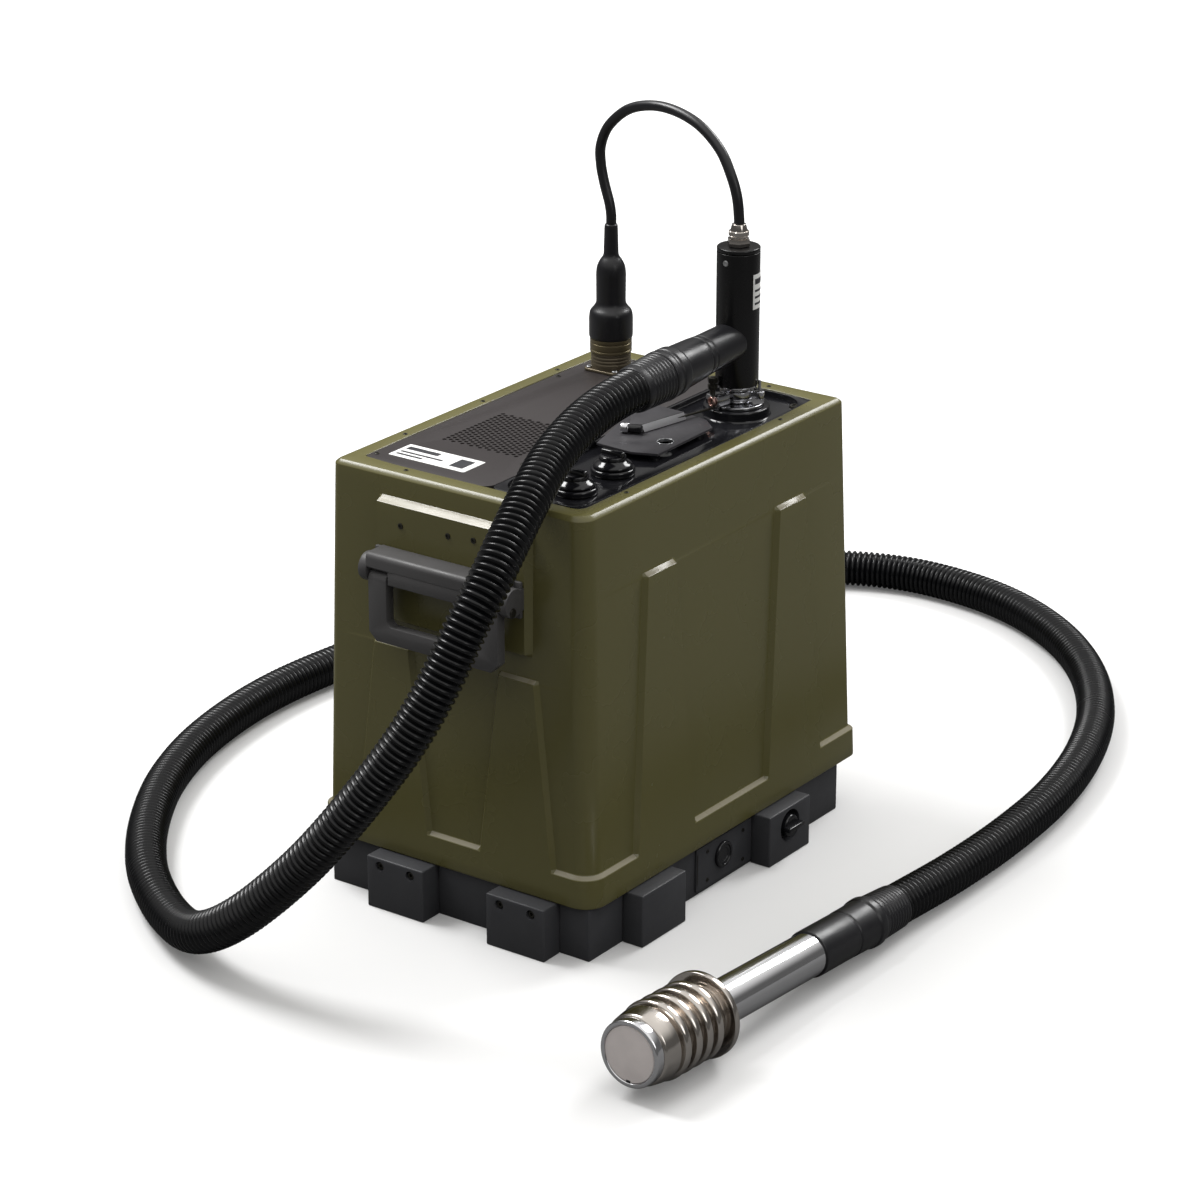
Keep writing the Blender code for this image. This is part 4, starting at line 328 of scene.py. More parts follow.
def plate_in(bm, outlines, low, high, edge=0.0005, matrix=Matrix.Identity(4)):
    """Adds a flat plate with soft edges; every outline after the first is a hole in it."""
    curve = bpy.data.curves.new("plate", "CURVE")
    curve.dimensions = "2D"
    curve.fill_mode = "BOTH"
    curve.extrude = (high - low) / 2 - edge
    curve.bevel_depth = edge
    curve.bevel_resolution = 1
    curve.offset = -edge
    for number, outline in enumerate(outlines):
        spline = curve.splines.new("POLY")
        spline.points.add(len(outline) - 1)
        ordered = outline if number == 0 else list(reversed(outline))
        for point, place in zip(spline.points, ordered):
            point.co = (place[0], place[1], 0.0, 1.0)
        spline.use_cyclic_u = True
    flat = bpy.data.objects.new("plate", curve)
    bpy.context.scene.collection.objects.link(flat)
    bpy.context.view_layer.update()
    mesh = bpy.data.meshes.new_from_object(flat.evaluated_get(bpy.context.evaluated_depsgraph_get()))
    bpy.data.objects.remove(flat)
    part = bmesh.new()
    part.from_mesh(mesh)
    bpy.data.meshes.remove(mesh)
    bmesh.ops.remove_doubles(part, verts=part.verts, dist=WELD)
    add_part(bm, part, matrix @ Matrix.Translation((0, 0, (low + high) / 2)))


def ring_loop(x, y, radius, sides=48, start=0.0):
    """A round or regular outline in plan."""
    turns = [start + 2 * PI * i / sides for i in range(sides)]
    return [(x + radius * math.cos(t), y + radius * math.sin(t)) for t in turns]


print("plates are welded within %.0f thousandths of a millimetre" % (1e6 * WELD))

# %% [markdown]
# ## Soft corners, screws and tubes
#
# A profile read from a drawing has hard corners. Rounding each one by a small radius, with a curve
# held by three points, turns it into something that could have been machined. A screw is a short
# turned profile with its socket sunk in, and a cable is a loop carried along a path without
# twisting.

# %% Soft corners, screws and tubes
def softened(profile, edge, steps=3):
    """Rounds the inner corners of a profile by an edge radius."""
    points = [Vector(p) for p in profile]
    rounded = [points[0]]
    for before, here, after in zip(points, points[1:], points[2:]):
        back = min(edge, (before - here).length * 0.45)
        ahead = min(edge, (after - here).length * 0.45)
        start = here + (before - here).normalized() * back
        end = here + (after - here).normalized() * ahead
        for i in range(steps + 1):
            t = i / steps
            rounded.append(start * (1 - t) ** 2 + here * (2 * t * (1 - t)) + end * t * t)
    rounded.append(points[-1])
    return [(p.x, p.y) for p in rounded]


def screw_in(bm, place, direction, radius, height):
    """A socket-head screw, seen from its head."""
    turned(bm, [(0, height * 0.1), (radius * 0.45, height * 0.1), (radius * 0.50, height * 0.95),
                (radius * 0.85, height), (radius, height * 0.7), (radius, -height)],
           24, facing(direction, place))


def tube_in(bm, path, radius_at, sides=24):
    """A tube along close points; radius_at(index) gives its radius there."""
    points = [Vector(p) for p in path]
    tangent = (points[1] - points[0]).normalized()
    normal = tangent.orthogonal().normalized()
    loops = []
    for i, point in enumerate(points):
        ahead = points[min(i + 1, len(points) - 1)] - points[max(i - 1, 0)]
        following = ahead.normalized()
        normal = (normal - following * normal.dot(following)).normalized()
        side = following.cross(normal)
        radius = radius_at(i)
        turns = [2 * PI * k / sides for k in range(sides)]
        loops.append([point + (normal * math.cos(t) + side * math.sin(t)) * radius for t in turns])
    bridge_loops(bm, loops, True, True)


print("soft corners, screws and tubes ready")

# %% [markdown]
# ## Giving a piece its place
#
# Every piece rides on a body of the model, so that it moves when a handle swings or a cap turns. It
# also stands for the CAD solids that it dresses, which are then hidden. Doing both in one call,
# straight after a piece is made, means that none is ever left behind.

# %% Giving a piece its place
def settle(piece, body, slot, *nodes):
    """The piece moves with its body and stands for CAD nodes; the slot argument is not used."""
    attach(piece, body)
    if nodes:
        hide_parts(*nodes)


def turned_piece(name, profile, material, slot, nodes, place, direction=(0, 0, 1), edge=0.0005, steps=96):
    """A turned body with soft edges that stands for its CAD nodes."""
    bm = bmesh.new()
    turned(bm, softened(profile, edge), steps, facing(direction, place))
    settle(finish_mesh(name, bm, material, sharp=40), "case", slot, *nodes)


# %% [markdown]
# ## An even path
#
# A hose is drawn as a few points that it passes through. A smooth curve through them could be a
# Blender curve object, but its points crowd together in bends, and ribs built on it would bunch up.
# Walking along the curve in equal steps keeps every rib the same width, wherever the hose goes.

# %% An even path
FINE_STEPS = 40


def even_path(route, spacing):
    """Close, even points on a smooth curve through a route."""
    knots = [Vector(p) for p in route]
    chain = [knots[0] * 2 - knots[1], *knots, knots[-1] * 2 - knots[-2]]
    fine = []
    for p0, p1, p2, p3 in zip(chain, chain[1:], chain[2:], chain[3:]):
        for i in range(FINE_STEPS):
            t = i / FINE_STEPS
            fine.append(0.5 * (2 * p1 + (p2 - p0) * t + (2 * p0 - 5 * p1 + 4 * p2 - p3) * t * t
                               + (3 * p1 - p0 - 3 * p2 + p3) * t ** 3))
    fine.append(knots[-1])
    total = sum((b - a).length for a, b in zip(fine, fine[1:]))
    count = max(2, round(total / spacing))
    step = total / count
    points = [fine[0]]
    travelled = 0.0
    for a, b in zip(fine, fine[1:]):
        run = (b - a).length
        while len(points) < count and travelled + run >= step * len(points):
            points.append(a.lerp(b, (step * len(points) - travelled) / run))
        travelled += run
    points.append(fine[-1])
    return points, total


print("paths: %d fine steps between two points" % FINE_STEPS)

# %% [markdown]
# ## Where the hose goes
#
# The hose leaves a cuff on the column, falls over the front of the case, circles on the floor and
# ends at the probe. Its seen parts were read off the picture and set on the floor or in the air
# with the solved camera. The part behind the case can't be seen, so it is one calm sweep between
# the two seen ends.

# %% Where the hose goes
COLUMN_X, COLUMN_Y = 0.072, 0.121
BRANCH_HEIGHT = 0.4705
BRANCH_DIRECTION = Vector((-0.0058, -0.2130, -0.0117)).normalized()
CUFF_LENGTH = 0.126
PROBE_START = Vector((0.3239, 0.0020, 0.0240))
PROBE_DIRECTION = Vector((-0.0083, -0.3470, 0.0166)).normalized()
HOSE_RADIUS = 0.019
HOSE_RIB_DEPTH = 0.0029
HOSE_PITCH = 0.0060
HOSE_ROWS = 6
HOSE_ROUTE = [
    (0.0690, -0.060, 0.4620), (0.0703, -0.0985, 0.4575), (0.0755, -0.139, 0.4500), (0.0845, -0.182, 0.4390),
    (0.0965, -0.224, 0.4240), (0.1065, -0.268, 0.3995), (0.1100, -0.299, 0.3740), (0.1065, -0.322, 0.3460),
    (0.0945, -0.349, 0.2950), (0.0735, -0.373, 0.2430), (0.036, -0.396, 0.182), (-0.010, -0.409, 0.124),
    (-0.071, -0.416, 0.066), (-0.128, -0.407, 0.032), (-0.186, -0.378, 0.0212), (-0.249, -0.333, 0.0200),
    (-0.298, -0.284, 0.0200), (-0.342, -0.227, 0.0200), (-0.380, -0.165, 0.0200), (-0.411, -0.094, 0.0200),
    (-0.431, -0.020, 0.0200), (-0.441, 0.055, 0.0200), (-0.440, 0.130, 0.0200), (-0.428, 0.225, 0.0200),
    (-0.405, 0.325, 0.0200), (-0.371, 0.425, 0.0200), (-0.325, 0.520, 0.0200), (-0.262, 0.610, 0.0200),
    (-0.190, 0.677, 0.0200), (-0.111, 0.713, 0.0200), (-0.030, 0.716, 0.0200), (0.050, 0.695, 0.0200),
    (0.130, 0.647, 0.0200), (0.200, 0.577, 0.0200), (0.256, 0.490, 0.0200), (0.294, 0.395, 0.0200),
    (0.317, 0.295, 0.0200), (0.326, 0.195, 0.0200), (0.327, 0.100, 0.0208),
]
print("hose route: %d points" % len(HOSE_ROUTE))

# %% [markdown]
# ## The corrugated hose
#
# The hose has round ribs six millimetres apart, 38 mm over their crests. A bump texture would leave
# its outline smooth, which the eye notices at once. So the tube's own radius follows the ribs, six
# rings of points to each, and light runs along it as on the real one.

# %% The corrugated hose
TUCK, STRAIGHT, FIRST_SPACING, RIB_ROUNDNESS = 0.002, 0.014, 0.01, 1.6


def rib_shape(share):
    """How deep the hose's wall lies at a share of one pitch: round crest, round valley."""
    wave = 0.5 - 0.5 * math.cos(2 * PI * share)
    return wave ** RIB_ROUNDNESS


def make_hose():
    start = Vector((COLUMN_X, COLUMN_Y, BRANCH_HEIGHT)) + BRANCH_DIRECTION * (CUFF_LENGTH - TUCK)
    end = PROBE_START + PROBE_DIRECTION * TUCK
    route = [start, start + BRANCH_DIRECTION * STRAIGHT, *HOSE_ROUTE, end - PROBE_DIRECTION * STRAIGHT, end]
    _, length = even_path(route, FIRST_SPACING)
    ribs = round(length / HOSE_PITCH)
    points, length = even_path(route, length / (ribs * HOSE_ROWS))
    bm = bmesh.new()
    tube_in(bm, points, lambda i: HOSE_RADIUS - HOSE_RIB_DEPTH * rib_shape(i / HOSE_ROWS))
    hose = finish_mesh("corrugated_hose", bm, HOSE, sharp=80)
    settle(hose, "case", "black_rubber", "sampling_hose")
    return length, ribs


print("hose: %.2f m with %d ribs" % make_hose())

# %% [markdown]
# ## The arch cable
#
# A thinner round cable rises from the connector's boot, bends over in one arch and drops into the
# gland on top of the column. It is springy, so it has no sharp bend anywhere. A curve object with a
# round bevel would do too, but the hose's tube and path are at hand and serve again, with a radius
# that stays the same.

# %% The arch cable
CONNECTOR_X, CONNECTOR_Y = -0.086, 0.147
BOOT_LOW, BOOT_TOP = (corner.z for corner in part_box("connector_boot"))
GLAND_LOW, GLAND_TOP = (corner.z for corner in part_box("cable_gland"))
CABLE_RADIUS, CABLE_SPACING = 0.0048, 0.003
CABLE_IN_BOOT, CABLE_IN_GLAND, CABLE_STRAIGHT = 0.002, 0.006, 0.010
ARCH_ROUTE = [
    (-0.0885, 0.1475, 0.564), (-0.0945, 0.1485, 0.580), (-0.0990, 0.149, 0.598), (-0.0990, 0.149, 0.616),
    (-0.089, 0.148, 0.636), (-0.065, 0.144, 0.655), (-0.035, 0.139, 0.664), (-0.005, 0.134, 0.664),
    (0.024, 0.129, 0.656), (0.048, 0.125, 0.639), (0.062, 0.122, 0.619), (0.0695, 0.121, 0.600),
]


def make_arch_cable():
    start = Vector((CONNECTOR_X, CONNECTOR_Y, BOOT_TOP - CABLE_IN_BOOT))
    end = Vector((COLUMN_X, COLUMN_Y, GLAND_TOP - CABLE_IN_GLAND))
    up = Vector((0, 0, 1))
    route = [start, start + up * CABLE_STRAIGHT, *ARCH_ROUTE, end + up * CABLE_STRAIGHT, end]
    points, length = even_path(route, CABLE_SPACING)
    bm = bmesh.new()
    tube_in(bm, points, lambda i: CABLE_RADIUS)
    cable = finish_mesh("round_cable", bm, RUBBER, sharp=60)
    settle(cable, "case", "black_rubber", "arch_cable")
    return length


print("arch cable: %.2f m" % make_arch_cable())

# %% [markdown]
# ## The hood's sizes
#
# The hood is one deep-moulded cover, and a mould needs draft: all four walls lean inwards with
# height, the ribs narrow upwards, and only the corner at the front right is wide. A box with a
# taper would be a plain stand-in. Here each measure of the real walls is a named value, read off
# the picture.

# %% The hood's sizes
HOOD_LOW, HOOD_TOP = 0.050, 0.405
SIDE_HALF = (0.1455, 0.1357)
FRONT_HALF = (0.2060, 0.2004)
REAR_HALF = (0.2135, 0.2018)
CORNERS = (0.006, 0.006, 0.008, 0.017)    # rear right, rear left, front left, front right
TOP_FILLET = 0.005
RELIEF = 0.0045
SHOULDER = 0.0032
SKIRT_TOP = 0.079
END_RIB = {"middles": (-0.068, 0.068), "top": 0.249, "low_width": 0.080, "top_width": 0.040}
SIDE_RIB = {"middles": (-0.095, 0.110), "top": 0.332, "low_width": 0.090, "top_width": 0.045}
PAD_FACE, PAD_LOW, PAD_TOP, PAD_HALF = 0.2095, 0.272, 0.382, 0.081
WALL_LIP = 0.0085
OPENING_X, OPENING_Y, OPENING_CORNER = 0.118, 0.181, 0.010


def wall_distance(quarter, z):
    """How far a wall is from the middle at a height: right, rear, left, front."""
    low, high = (SIDE_HALF, REAR_HALF, SIDE_HALF, FRONT_HALF)[quarter % 4]
    return low + (high - low) * (z - HOOD_LOW) / (HOOD_TOP - HOOD_LOW)


def corner_after(quarter):
    """The corner between a wall and the next one round."""
    return CORNERS[quarter % 4]


def rib_half(rib, z):
    """Half the width of a rib at a height: wide at the skirt, narrow at its top."""
    share = min(1.0, max(0.0, (z - SKIRT_TOP) / (rib["top"] - SKIRT_TOP)))
    return (rib["low_width"] + (rib["top_width"] - rib["low_width"]) * share) / 2


print("hood: side walls lean in by %.1f mm" % (1000 * (SIDE_HALF[0] - SIDE_HALF[1])))

# %% [markdown]
# ## What stands proud of the walls
#
# Ribs and the skirt stand four and a half millimetres proud of the wall, the handle pads three to
# nine, each with a straight sloping shoulder. They could be separate blocks sunk in the wall, but
# then there would be hard seams. A function that says how far the wall is pushed out at any place
# gives one skin, as from a mould.

# %% What stands proud of the walls
FIELD_CORNER = 0.003


def shoulder(distance):
    """Rises evenly from nought outside an edge to one inside it."""
    return min(1.0, max(0.0, distance / SHOULDER + 0.5))


def inside(*distances, radius=FIELD_CORNER):
    """Distance inside a field bounded by several edges, with its corners rounded."""
    short = [radius - d for d in distances if d < radius]
    if len(short) > 1:
        return radius - math.sqrt(sum(s * s for s in short))
    return min(distances)


def proud(quarter, place, z):
    """How far a wall stands out at a place along it, counted towards +X or +Y."""
    depth = RELIEF * shoulder(SKIRT_TOP - z)
    rib = END_RIB if quarter in (1, 3) else SIDE_RIB
    for middle in rib["middles"]:
        off = abs(place - middle)
        depth = max(depth, RELIEF * shoulder(inside(rib_half(rib, z) - off, rib["top"] - z)))
    if quarter in (1, 3):
        pad_inside = inside(PAD_HALF - abs(place), PAD_TOP - z, z - PAD_LOW)
        depth = max(depth, (PAD_FACE - wall_distance(quarter, z)) * shoulder(pad_inside))
    return depth


print("hood: a side rib stands %.1f mm proud" % (1000 * proud(0, SIDE_RIB["middles"][0], 0.2)))

# %% [markdown]
# ## Rings round the hood
#
# An even grid of points would cut across the slanting rib edges and make them look torn. So a
# cluster of four columns follows each rib edge as it slants, and eight points take each corner
# round. Every ring has the same number of points, which lets the rings be bridged one after the
# other.

# %% Rings round the hood
CLUSTER = (-0.0019, -0.0013, 0.0013, 0.0019)
CORNER_STEPS = 9


def wall_columns(quarter, z):
    """Places of the rib and pad edges along one wall at a height, counted towards +X or +Y."""
    rib = END_RIB if quarter in (1, 3) else SIDE_RIB
    edges = [middle + sign * rib_half(rib, z) for middle in rib["middles"] for sign in (-1, 1)]
    if quarter in (1, 3):
        edges += [-PAD_HALF, PAD_HALF]
    return sorted(edge + offset for edge in edges for offset in CLUSTER)


def wall_loop(z, inset=0.0, rise=0.0, plain=False):
    """One ring round the walls at a height, with whatever stands proud pushed outwards."""
    loop = []
    for quarter in range(4):
        turn = quarter * PI / 2
        outward = Vector((math.cos(turn), math.sin(turn), 0.0))
        along = Vector((-math.sin(turn), math.cos(turn), 0.0))
        forwards = quarter in (0, 3)
        out = wall_distance(quarter, z)
        begin = corner_after(quarter + 3) - wall_distance(quarter + 3, z)
        end = wall_distance(quarter + 1, z) - corner_after(quarter)
        places = wall_columns(quarter, z)
        if not forwards:
            places = [-place for place in reversed(places)]
        level = Vector((0, 0, z + rise))
        for place in [begin, *(min(end, max(begin, p)) for p in places), end]:
            push = 0.0 if plain else proud(quarter, place if forwards else -place, z)
            loop.append(outward * (out - inset + push) + along * place + level)
        push = 0.0 if plain else RELIEF * shoulder(SKIRT_TOP - z)
        radius = corner_after(quarter)
        centre = outward * (out - radius) + along * end
        for i in range(1, CORNER_STEPS):
            angle = turn + i / CORNER_STEPS * PI / 2
            around = Vector((math.cos(angle), math.sin(angle), 0.0))
            loop.append(centre + around * (radius - inset + push) + level)
    return loop


print("hood: %d points round each ring" % len(wall_loop(0.2)))

# %% [markdown]
# ## The edge of the opening
#
# The hood's top is a flat rim round one large opening, with small rounded corners. Cutting it with
# a boolean would leave long thin faces that shade badly. The rim's own points are drawn in to the
# opening's outline instead, rolled over a small radius and led down inside.

# %% The edge of the opening
OPENING_EDGE, OPENING_DEPTH = 0.0008, 0.0082


def opening_loops(rim):
    """The edge of the opening in the top: the rim's own points drawn in to the opening's outline."""
    reach_x, reach_y = OPENING_X - OPENING_CORNER, OPENING_Y - OPENING_CORNER
    widest_x, widest_y = max(p.x for p in rim), max(p.y for p in rim)

    def drawn_in(point, grow, height):
        x, y = point.x / widest_x * OPENING_X, point.y / widest_y * OPENING_Y
        core = Vector((max(-reach_x, min(reach_x, x)), max(-reach_y, min(reach_y, y))))
        away = Vector((x, y)) - core
        if away.length < 0.0001:
            away = Vector((x, 0)) if abs(x) / OPENING_X > abs(y) / OPENING_Y else Vector((0, y))
        edge = core + away.normalized() * (OPENING_CORNER + grow)
        return Vector((edge.x, edge.y, height))

    soft = OPENING_EDGE
    loops = [[drawn_in(p, soft, HOOD_TOP) for p in rim]]
    for lean in (PI / 6, PI / 3, PI / 2):
        loops.append([drawn_in(p, soft * (1 - math.sin(lean)), HOOD_TOP - soft * (1 - math.cos(lean)))
                      for p in rim])
    loops.append([drawn_in(p, 0.0, HOOD_TOP - OPENING_DEPTH) for p in rim])
    return loops


print("opening: %.0f by %.0f mm" % (2000 * OPENING_X, 2000 * OPENING_Y))

# %% [markdown]
# ## The hood in one skin
#
# Now the rings are stacked: a turned-in lip, a rolled foot, the walls, the rounded upper edge and
# the opening. Rows lie close together at each level edge, where the shape changes. In the picture
# the level shoulders shine pale, and the lamps alone don't give that, so faces that lean so take a
# paler paint, which is a painted highlight.

# %% The hood in one skin
ROW_STEP = 0.012
# How far upwards a face must lean to take the painted highlight.
HIGHLIGHT_LEAN = (0.70, 0.97)
FOOT_ROLL, ROW_GAP = 0.002, 0.004
HOOD_SHARP = 23
RIM_EDGE = ((0.02, 0.20), (0.12, 0.38), (0.72, 0.88), (0.86, 0.97), (1.0, 1.0))


def wall_levels():
    """Heights of the hood's rings: clusters at the level edges and even steps between them."""
    levels = {HOOD_LOW + FOOT_ROLL, HOOD_LOW + 0.012}
    for edge in (SKIRT_TOP, END_RIB["top"], SIDE_RIB["top"], PAD_LOW, PAD_TOP):
        levels |= {edge + offset for offset in (*CLUSTER, -ROW_GAP, ROW_GAP)}
    count = int((HOOD_TOP - TOP_FILLET - SKIRT_TOP) / ROW_STEP)
    for step in range(1, count + 1):
        height = SKIRT_TOP + step * ROW_STEP
        if all(abs(height - level) > ROW_GAP for level in levels):
            levels.add(height)
    return sorted(levels | {HOOD_TOP - TOP_FILLET})


def make_hood():
    rows = [wall_loop(HOOD_LOW + 0.010, WALL_LIP, plain=True),
            wall_loop(HOOD_LOW, WALL_LIP - 0.0005, plain=True)]
    foot = HOOD_LOW + FOOT_ROLL
    ring, drawn = wall_loop(foot), wall_loop(foot, FOOT_ROLL)
    for lean in (PI / 2, PI / 3, PI / 6):
        rows.append([a.lerp(b, 1 - math.cos(lean)) - Vector((0, 0, FOOT_ROLL * math.sin(lean)))
                     for a, b in zip(ring, drawn)])
    rows += [wall_loop(z) for z in wall_levels()]
    for inset, rise in RIM_EDGE:
        rows.append(wall_loop(HOOD_TOP - TOP_FILLET, TOP_FILLET * inset, TOP_FILLET * rise))
    rows += opening_loops(rows[-1])
    bm = bmesh.new()
    bridge_loops(bm, rows)
    hood = finish_mesh("moulded_hood", bm, OLIVE, sharp=HOOD_SHARP)
    # Faces leaning upwards below the pad's top take the paler paint, a painted highlight on the shoulders.
    hood.data.materials.append(OLIVE_PAINTED_HIGHLIGHT)
    for face in hood.data.polygons:
        if HIGHLIGHT_LEAN[0] < face.normal.z < HIGHLIGHT_LEAN[1] and face.center.z < PAD_TOP + SHOULDER:
            face.material_index = 1
    settle(hood, "case", "olive_paint", "hood")
    return len(hood.data.polygons)


print("hood: %d faces" % make_hood())

# %% [markdown]
# ## The grille panel
#
# The left half of the top is one grey plate with a fan grille: staggered six-sided holes 5.7 mm
# apart. A picture of holes would look painted on from the side. They are real holes here, so the
# fan shows through them as dark shapes, just as it does in the photograph.

# %% The grille panel
TOP_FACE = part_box("top_panel")[1].z
PLATE_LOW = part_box("top_panel")[0].z
PANEL_EDGE_X, PLATE_X, PLATE_Y = 0.0202, 0.1175, 0.1805
GRILLE_X, GRILLE_Y = (-0.088, -0.009), (-0.102, -0.014)
GRILLE_PITCH, GRILLE_HOLE = 0.0057, 0.0022
SHELL_CORE, PLATE_CORNER = 0.0158, 0.010


def rounded_plan(low_x, low_y, high_x, high_y, radius, arc=10):
    """The outline of a rectangle with rounded corners, between two corners of its own."""
    half_x, half_y = (high_x - low_x) / 2, (high_y - low_y) / 2
    points = []
    for quarter, (sx, sy) in enumerate(((1, 1), (-1, 1), (-1, -1), (1, -1))):
        for i in range(arc + 1):
            turn = (quarter + i / arc) * PI / 2
            points.append(((low_x + high_x) / 2 + sx * (half_x - radius) + radius * math.cos(turn),
                           (low_y + high_y) / 2 + sy * (half_y - radius) + radius * math.sin(turn)))
    return points


def grille_holes():
    row_step = GRILLE_PITCH * math.sqrt(3) / 2
    rows = int((GRILLE_X[1] - GRILLE_X[0]) / row_step)
    holes = []
    for row in range(rows + 1):
        y = GRILLE_Y[0] + (GRILLE_PITCH / 2 if row % 2 else 0.0)
        while y <= GRILLE_Y[1]:
            holes.append(ring_loop(GRILLE_X[0] + row * row_step, y, GRILLE_HOLE, 6, PI / 6))
            y += GRILLE_PITCH
    return holes


def make_top_panel():
    bm = bmesh.new()
    outline = rounded_plan(-PLATE_X, -PLATE_Y, PANEL_EDGE_X, PLATE_Y, PLATE_CORNER)
    holes = [ring_loop(CONNECTOR_X, CONNECTOR_Y, SHELL_CORE), *grille_holes()]
    plate_in(bm, [outline, *holes], PLATE_LOW, TOP_FACE, 0.0003)
    settle(finish_mesh("grille_panel", bm, PANEL, sharp=40), "case", "panel_grey", "top_panel")
    return len(holes) - 1


print("top panel: %d grille holes" % make_top_panel())

# %% [markdown]
# ## The black well
#
# The right half is a shallow glossy tray with wide round corners, a low boss for the vacuum flange
# and three studs that carry the lock plate. It is a frame with a rounded pocket over a second,
# lower plate, so the pocket's wall has a true soft edge all round that draws one clear line of
# light.

# %% The black well
WELL_FLOOR = TOP_FACE - 0.005
BOSS_TOP = WELL_FLOOR + 0.009
WELL_GAP, WELL_BORDER, WELL_CORNER = 0.0006, 0.003, 0.030
STUDS = ((-0.032, -0.149), (0.010, -0.143), (0.008, -0.073))


def make_well():
    bm = bmesh.new()
    left = PANEL_EDGE_X + WELL_GAP
    outline = rounded_plan(left, -PLATE_Y, PLATE_X, PLATE_Y, PLATE_CORNER)
    pocket = rounded_plan(left + WELL_BORDER, WELL_BORDER - PLATE_Y, PLATE_X - WELL_BORDER,
                          PLATE_Y - WELL_BORDER, WELL_CORNER, 16)
    plate_in(bm, [outline, pocket], PLATE_LOW, TOP_FACE, 0.0006)
    plate_in(bm, [rounded_plan(left + 0.001, 0.001 - PLATE_Y, PLATE_X - 0.001, PLATE_Y - 0.001,
                               PLATE_CORNER)],
             PLATE_LOW + 0.0001, WELL_FLOOR, 0.0002)
    turned(bm, softened([(0, BOSS_TOP), (0.030, BOSS_TOP), (0.030, WELL_FLOOR + 0.001),
                         (0.0312, WELL_FLOOR)],
                        0.0012), 128, Matrix.Translation((COLUMN_X, COLUMN_Y, 0)))
    for x, y in STUDS:
        turned(bm, softened([(0, TOP_FACE), (0.005, TOP_FACE), (0.005, WELL_FLOOR)], 0.0005), 40,
               Matrix.Translation((COLUMN_X + x, COLUMN_Y + y, 0)))
    settle(finish_mesh("black_well", bm, GLOSS, sharp=40), "case", "gloss_black", "well_tray")


make_well()
print("well: floor %.1f mm under the panel, %d studs" % (1000 * (TOP_FACE - WELL_FLOOR), len(STUDS)))

# %% [markdown]
# ## The label on the panel
#
# A small white label lies at the front of the panel. It could be a patch of colour in the paint,
# but then its edge would be soft. It is a very thin plate instead, with plain dark bars of
# different lengths on it, so that it reads as a label from a distance.

# %% The label on the panel
LABEL_X, LABEL_Y = (-0.103, -0.020), (-0.163, -0.131)
LABEL_BARS = ((0.05, 0.62, 0.42, 0.22), (0.05, 0.36, 0.55, 0.10), (0.05, 0.16, 0.34, 0.10),
              (0.74, 0.20, 0.18, 0.62))


def make_label():
    """A white plate with plain dark bars."""
    bm = bmesh.new()
    plate_in(bm, [rounded_plan(LABEL_X[0], LABEL_Y[0], LABEL_X[1], LABEL_Y[1], 0.0015)],
             TOP_FACE, TOP_FACE + 0.0004, 0.0001)
    settle(finish_mesh("panel_label", bm, LABEL), "case", None)
    bm = bmesh.new()
    width, depth = LABEL_X[1] - LABEL_X[0], LABEL_Y[1] - LABEL_Y[0]
    for x, y, share_x, share_y in LABEL_BARS:
        low_x, low_y = LABEL_X[0] + x * width, LABEL_Y[0] + y * depth
        plate_in(bm, [rounded_plan(low_x, low_y, low_x + share_x * width, low_y + share_y * depth, 0.0006,
                                   4)],
                 TOP_FACE + 0.0003, TOP_FACE + 0.0005, 0.00005)
    settle(finish_mesh("panel_label_bars", bm, INK), "case", None)


make_label()
print("label with %d bars" % len(LABEL_BARS))

# %% [markdown]
# ## Screws on the top
#
# Small dark screws hold the panel and the rim, and one larger fastener sits in the well's far
# corner. Dark dots could stand for them, as they are only two or three pixels wide in the picture.
# But a real head catches light, and a socket sunk in it gives it a dark middle.

# %% Screws on the top
PANEL_SCREWS = ((-0.112, -0.167), (0.008, -0.115), (-0.112, 0.1), (0.012, 0.168))
RIM_SCREWS = ((-0.1235, -0.113), (-0.1235, 0.0), (-0.1235, 0.114), (0.1235, -0.123), (0.1235, 0.115),
              (-0.063, -0.188), (0.063, 0.188))
WELL_SCREW = (0.106, 0.165)


def make_top_screws():
    bm = bmesh.new()
    for x, y in PANEL_SCREWS:
        screw_in(bm, (x, y, TOP_FACE), (0, 0, 1), 0.0023, 0.0007)
    for x, y in RIM_SCREWS:
        screw_in(bm, (x, y, HOOD_TOP), (0, 0, 1), 0.0021, 0.0006)
    turned(bm, softened([(0, 0.0008), (0.0024, 0.0008), (0.0026, 0.0022), (0.0044, 0.0022), (0.0052, 0.0)],
                        0.0003),
           40, Matrix.Translation((*WELL_SCREW, WELL_FLOOR)))
    settle(finish_mesh("top_screws", bm, SCREW_DARK), "case", None)


make_top_screws()
print("%d screws on the top" % (len(PANEL_SCREWS) + len(RIM_SCREWS) + 1))

# %% [markdown]
# ## The vacuum flanges
#
# The column stands on a joint like those of laboratory vacuum lines: a flange on the case, another
# on the column, each with a cone for the clamp. These pieces are almost mirrors, so their edges
# matter more than their faces: each soft edge catches a line of light. Turned profiles with rounded
# corners give just that.

# %% The vacuum flanges
BASE_FLANGE_TOP = BOSS_TOP + 0.0033
CONE_LOW = BASE_FLANGE_TOP + 0.0032
FLANGE_TOP = CONE_LOW + 0.0040
UPPER_CONE_TOP = FLANGE_TOP + 0.0043
LIP_LOW = UPPER_CONE_TOP + 0.0028
LIP_TOP = LIP_LOW + 0.0022
COLUMN_LOW, COLUMN_TOP = (corner.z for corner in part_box("inlet_column"))
STEM_FOOT = 0.386
ON_AXIS = (COLUMN_X, COLUMN_Y, 0.0)


